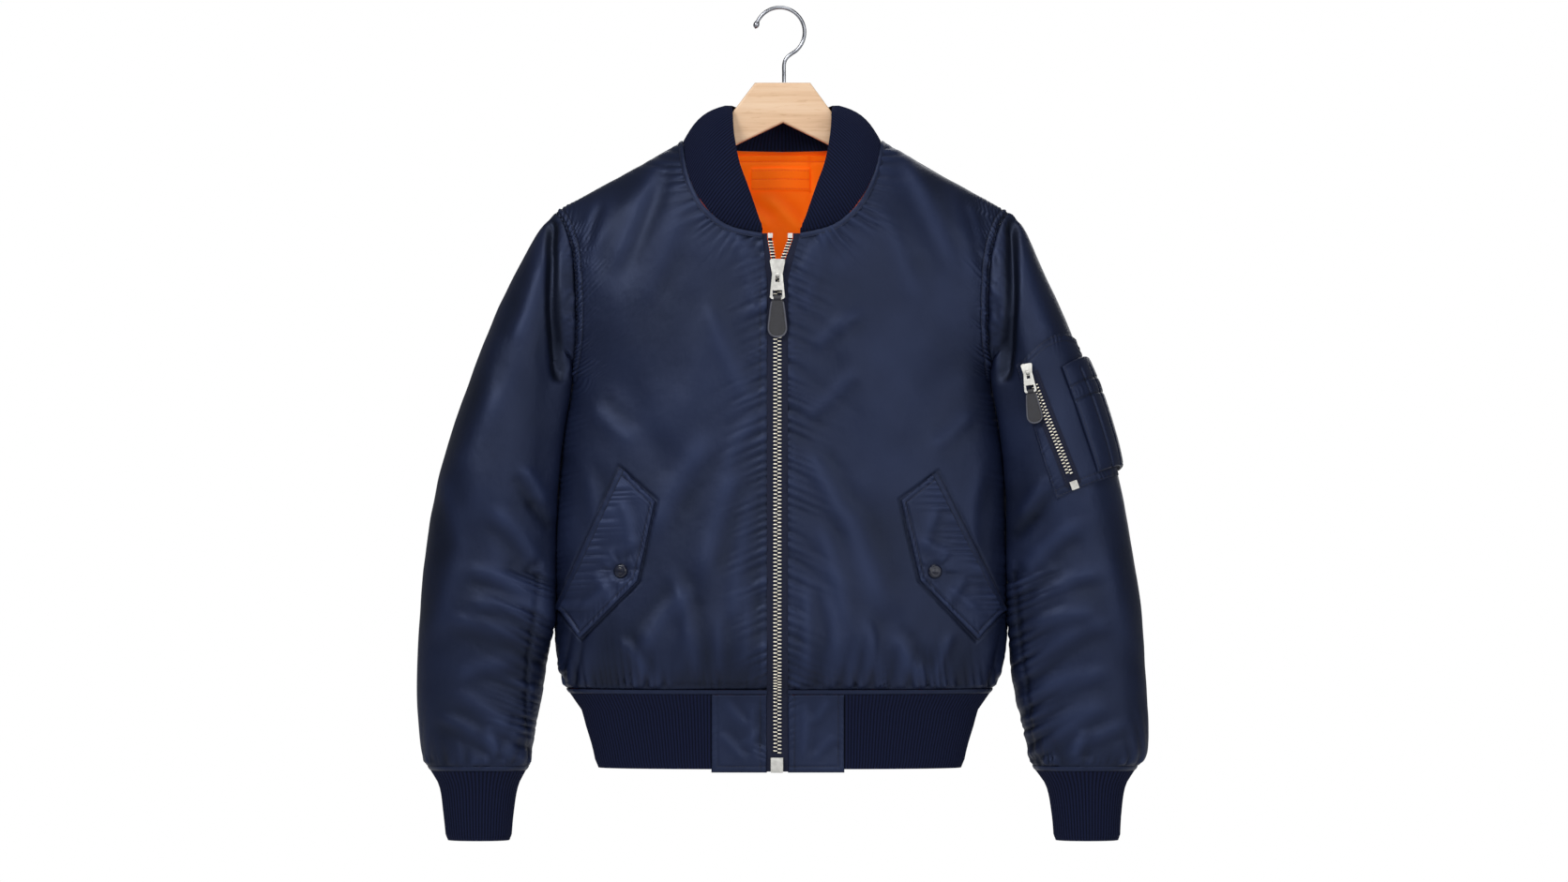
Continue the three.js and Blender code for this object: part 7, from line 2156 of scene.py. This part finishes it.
def put_leather_edge(name, origin, across, fall, out, scale, body):
    """A leather pull's rounded rim and its row of stitches, both along its outline."""
    half = np.array(LEATHER_OUTLINE, float)
    outline = smooth_line(np.concatenate([half, (half[-2::-1] * (-1, 1))]), 120) * scale
    line = origin + outline[:, :1] * across - outline[:, 1:] * fall
    put_tube(f"{name}_rim", line + out * (0.8 * scale), 0.95 * scale, 8, RIM_LEATHER, "pull_leather", body)
    inset = outline - unit(outline - np.array([0, -20]) * scale) * 2.4 * scale
    points = origin + inset[:, :1] * across - inset[:, 1:] * fall + out * (1.3 * scale + 0.05)
    stitch(points, np.broadcast_to(out, points.shape))
    put_stitches(f"{name}_stitches", PULL_THREAD, body, 0.75)


def put_pulls():
    """Edges and stitches of both leather pulls; each goes on its own pull's body."""
    put_leather_edge("main_leather", np.array(MAIN_LEATHER), np.array([1.0, 0, 0]), np.array([0, 0, -1.0]),
                     np.array([0, -1.0, 0]), 1.0, "main_pull")
    lean = SLEEVE_PULL_LEAN
    across = np.array([math.cos(lean), 0, math.sin(lean)])
    fall = np.array([math.sin(lean), 0, -math.cos(lean)])
    put_leather_edge("sleeve_leather", np.array(SLEEVE_LEATHER), across, fall, np.array([0, -1.0, 0]),
                     SLEEVE_PULL_SCALE, "sleeve_pull")


def put_seam_stitches():
    """Stitch rows of the fronts and back: beside the armholes, and beside the zip on each front."""
    for (side, facing), seam in ARM_SEAMS.items():
        flat = flat_line(seam)[4:]
        tangent = unit(np.gradient(flat, axis=0))
        for away in (1.8, 7.6):
            x = flat[:, 0] - side * away * np.abs(tangent[:, 1])
            down = flat[:, 1] - side * away * -tangent[:, 0] * np.sign(tangent[:, 1] + 1e-9)
            keep_rows = down > shoulder_down(x) + 2
            stitch_relief(side, facing, x[keep_rows], down[keep_rows])
    for side in (-1, 1):
        down = np.linspace(OPEN_DOWN, HEM_DOWN - 3, 300)
        stitch_relief(side, -1, np.full(300, side * (FRONT_EDGE[side][1] + 6.8)), down)


def stitch_relief(side, facing, x, down):
    """A row of stitches on a body panel's own relief."""
    lift = np.clip(body_relief(side, facing, x, down), *BODY_LIMITS)
    out = body_normal(x, down, facing)
    stitch(on_body(x, down, facing) + out * (lift[:, None] + 0.1), out)


def keep(finish, *nodes):
    """Gives CAD nodes whose shape is right their finish."""
    for node in nodes:
        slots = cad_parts[node].data.materials
        slots.clear()
        slots.append(finish)


make_stage()
put_lining()
put_patch()
stitch_lining()
put_body()
put_sleeves()
put_collar()
put_binding()
put_hem_band()
put_hem_rib()
put_hem_tabs()
put_cuffs()
put_main_zip()
put_pockets()
put_sleeve_pocket()
put_sleeve_zip()
put_pen_pocket()
put_seam_stitches()
put_stitches("stitches", THREAD)
put_pulls()
put_hook()
keep(STEEL, "zip_box", "zip_slider", "zip_tab", "zip_stop_left", "zip_stop_right")
keep(STEEL, "sleeve_zip_slider", "sleeve_zip_tab", "sleeve_zip_box")
keep(LEATHER, "zip_leather", "sleeve_zip_leather")
keep(BEECH, "hanger")
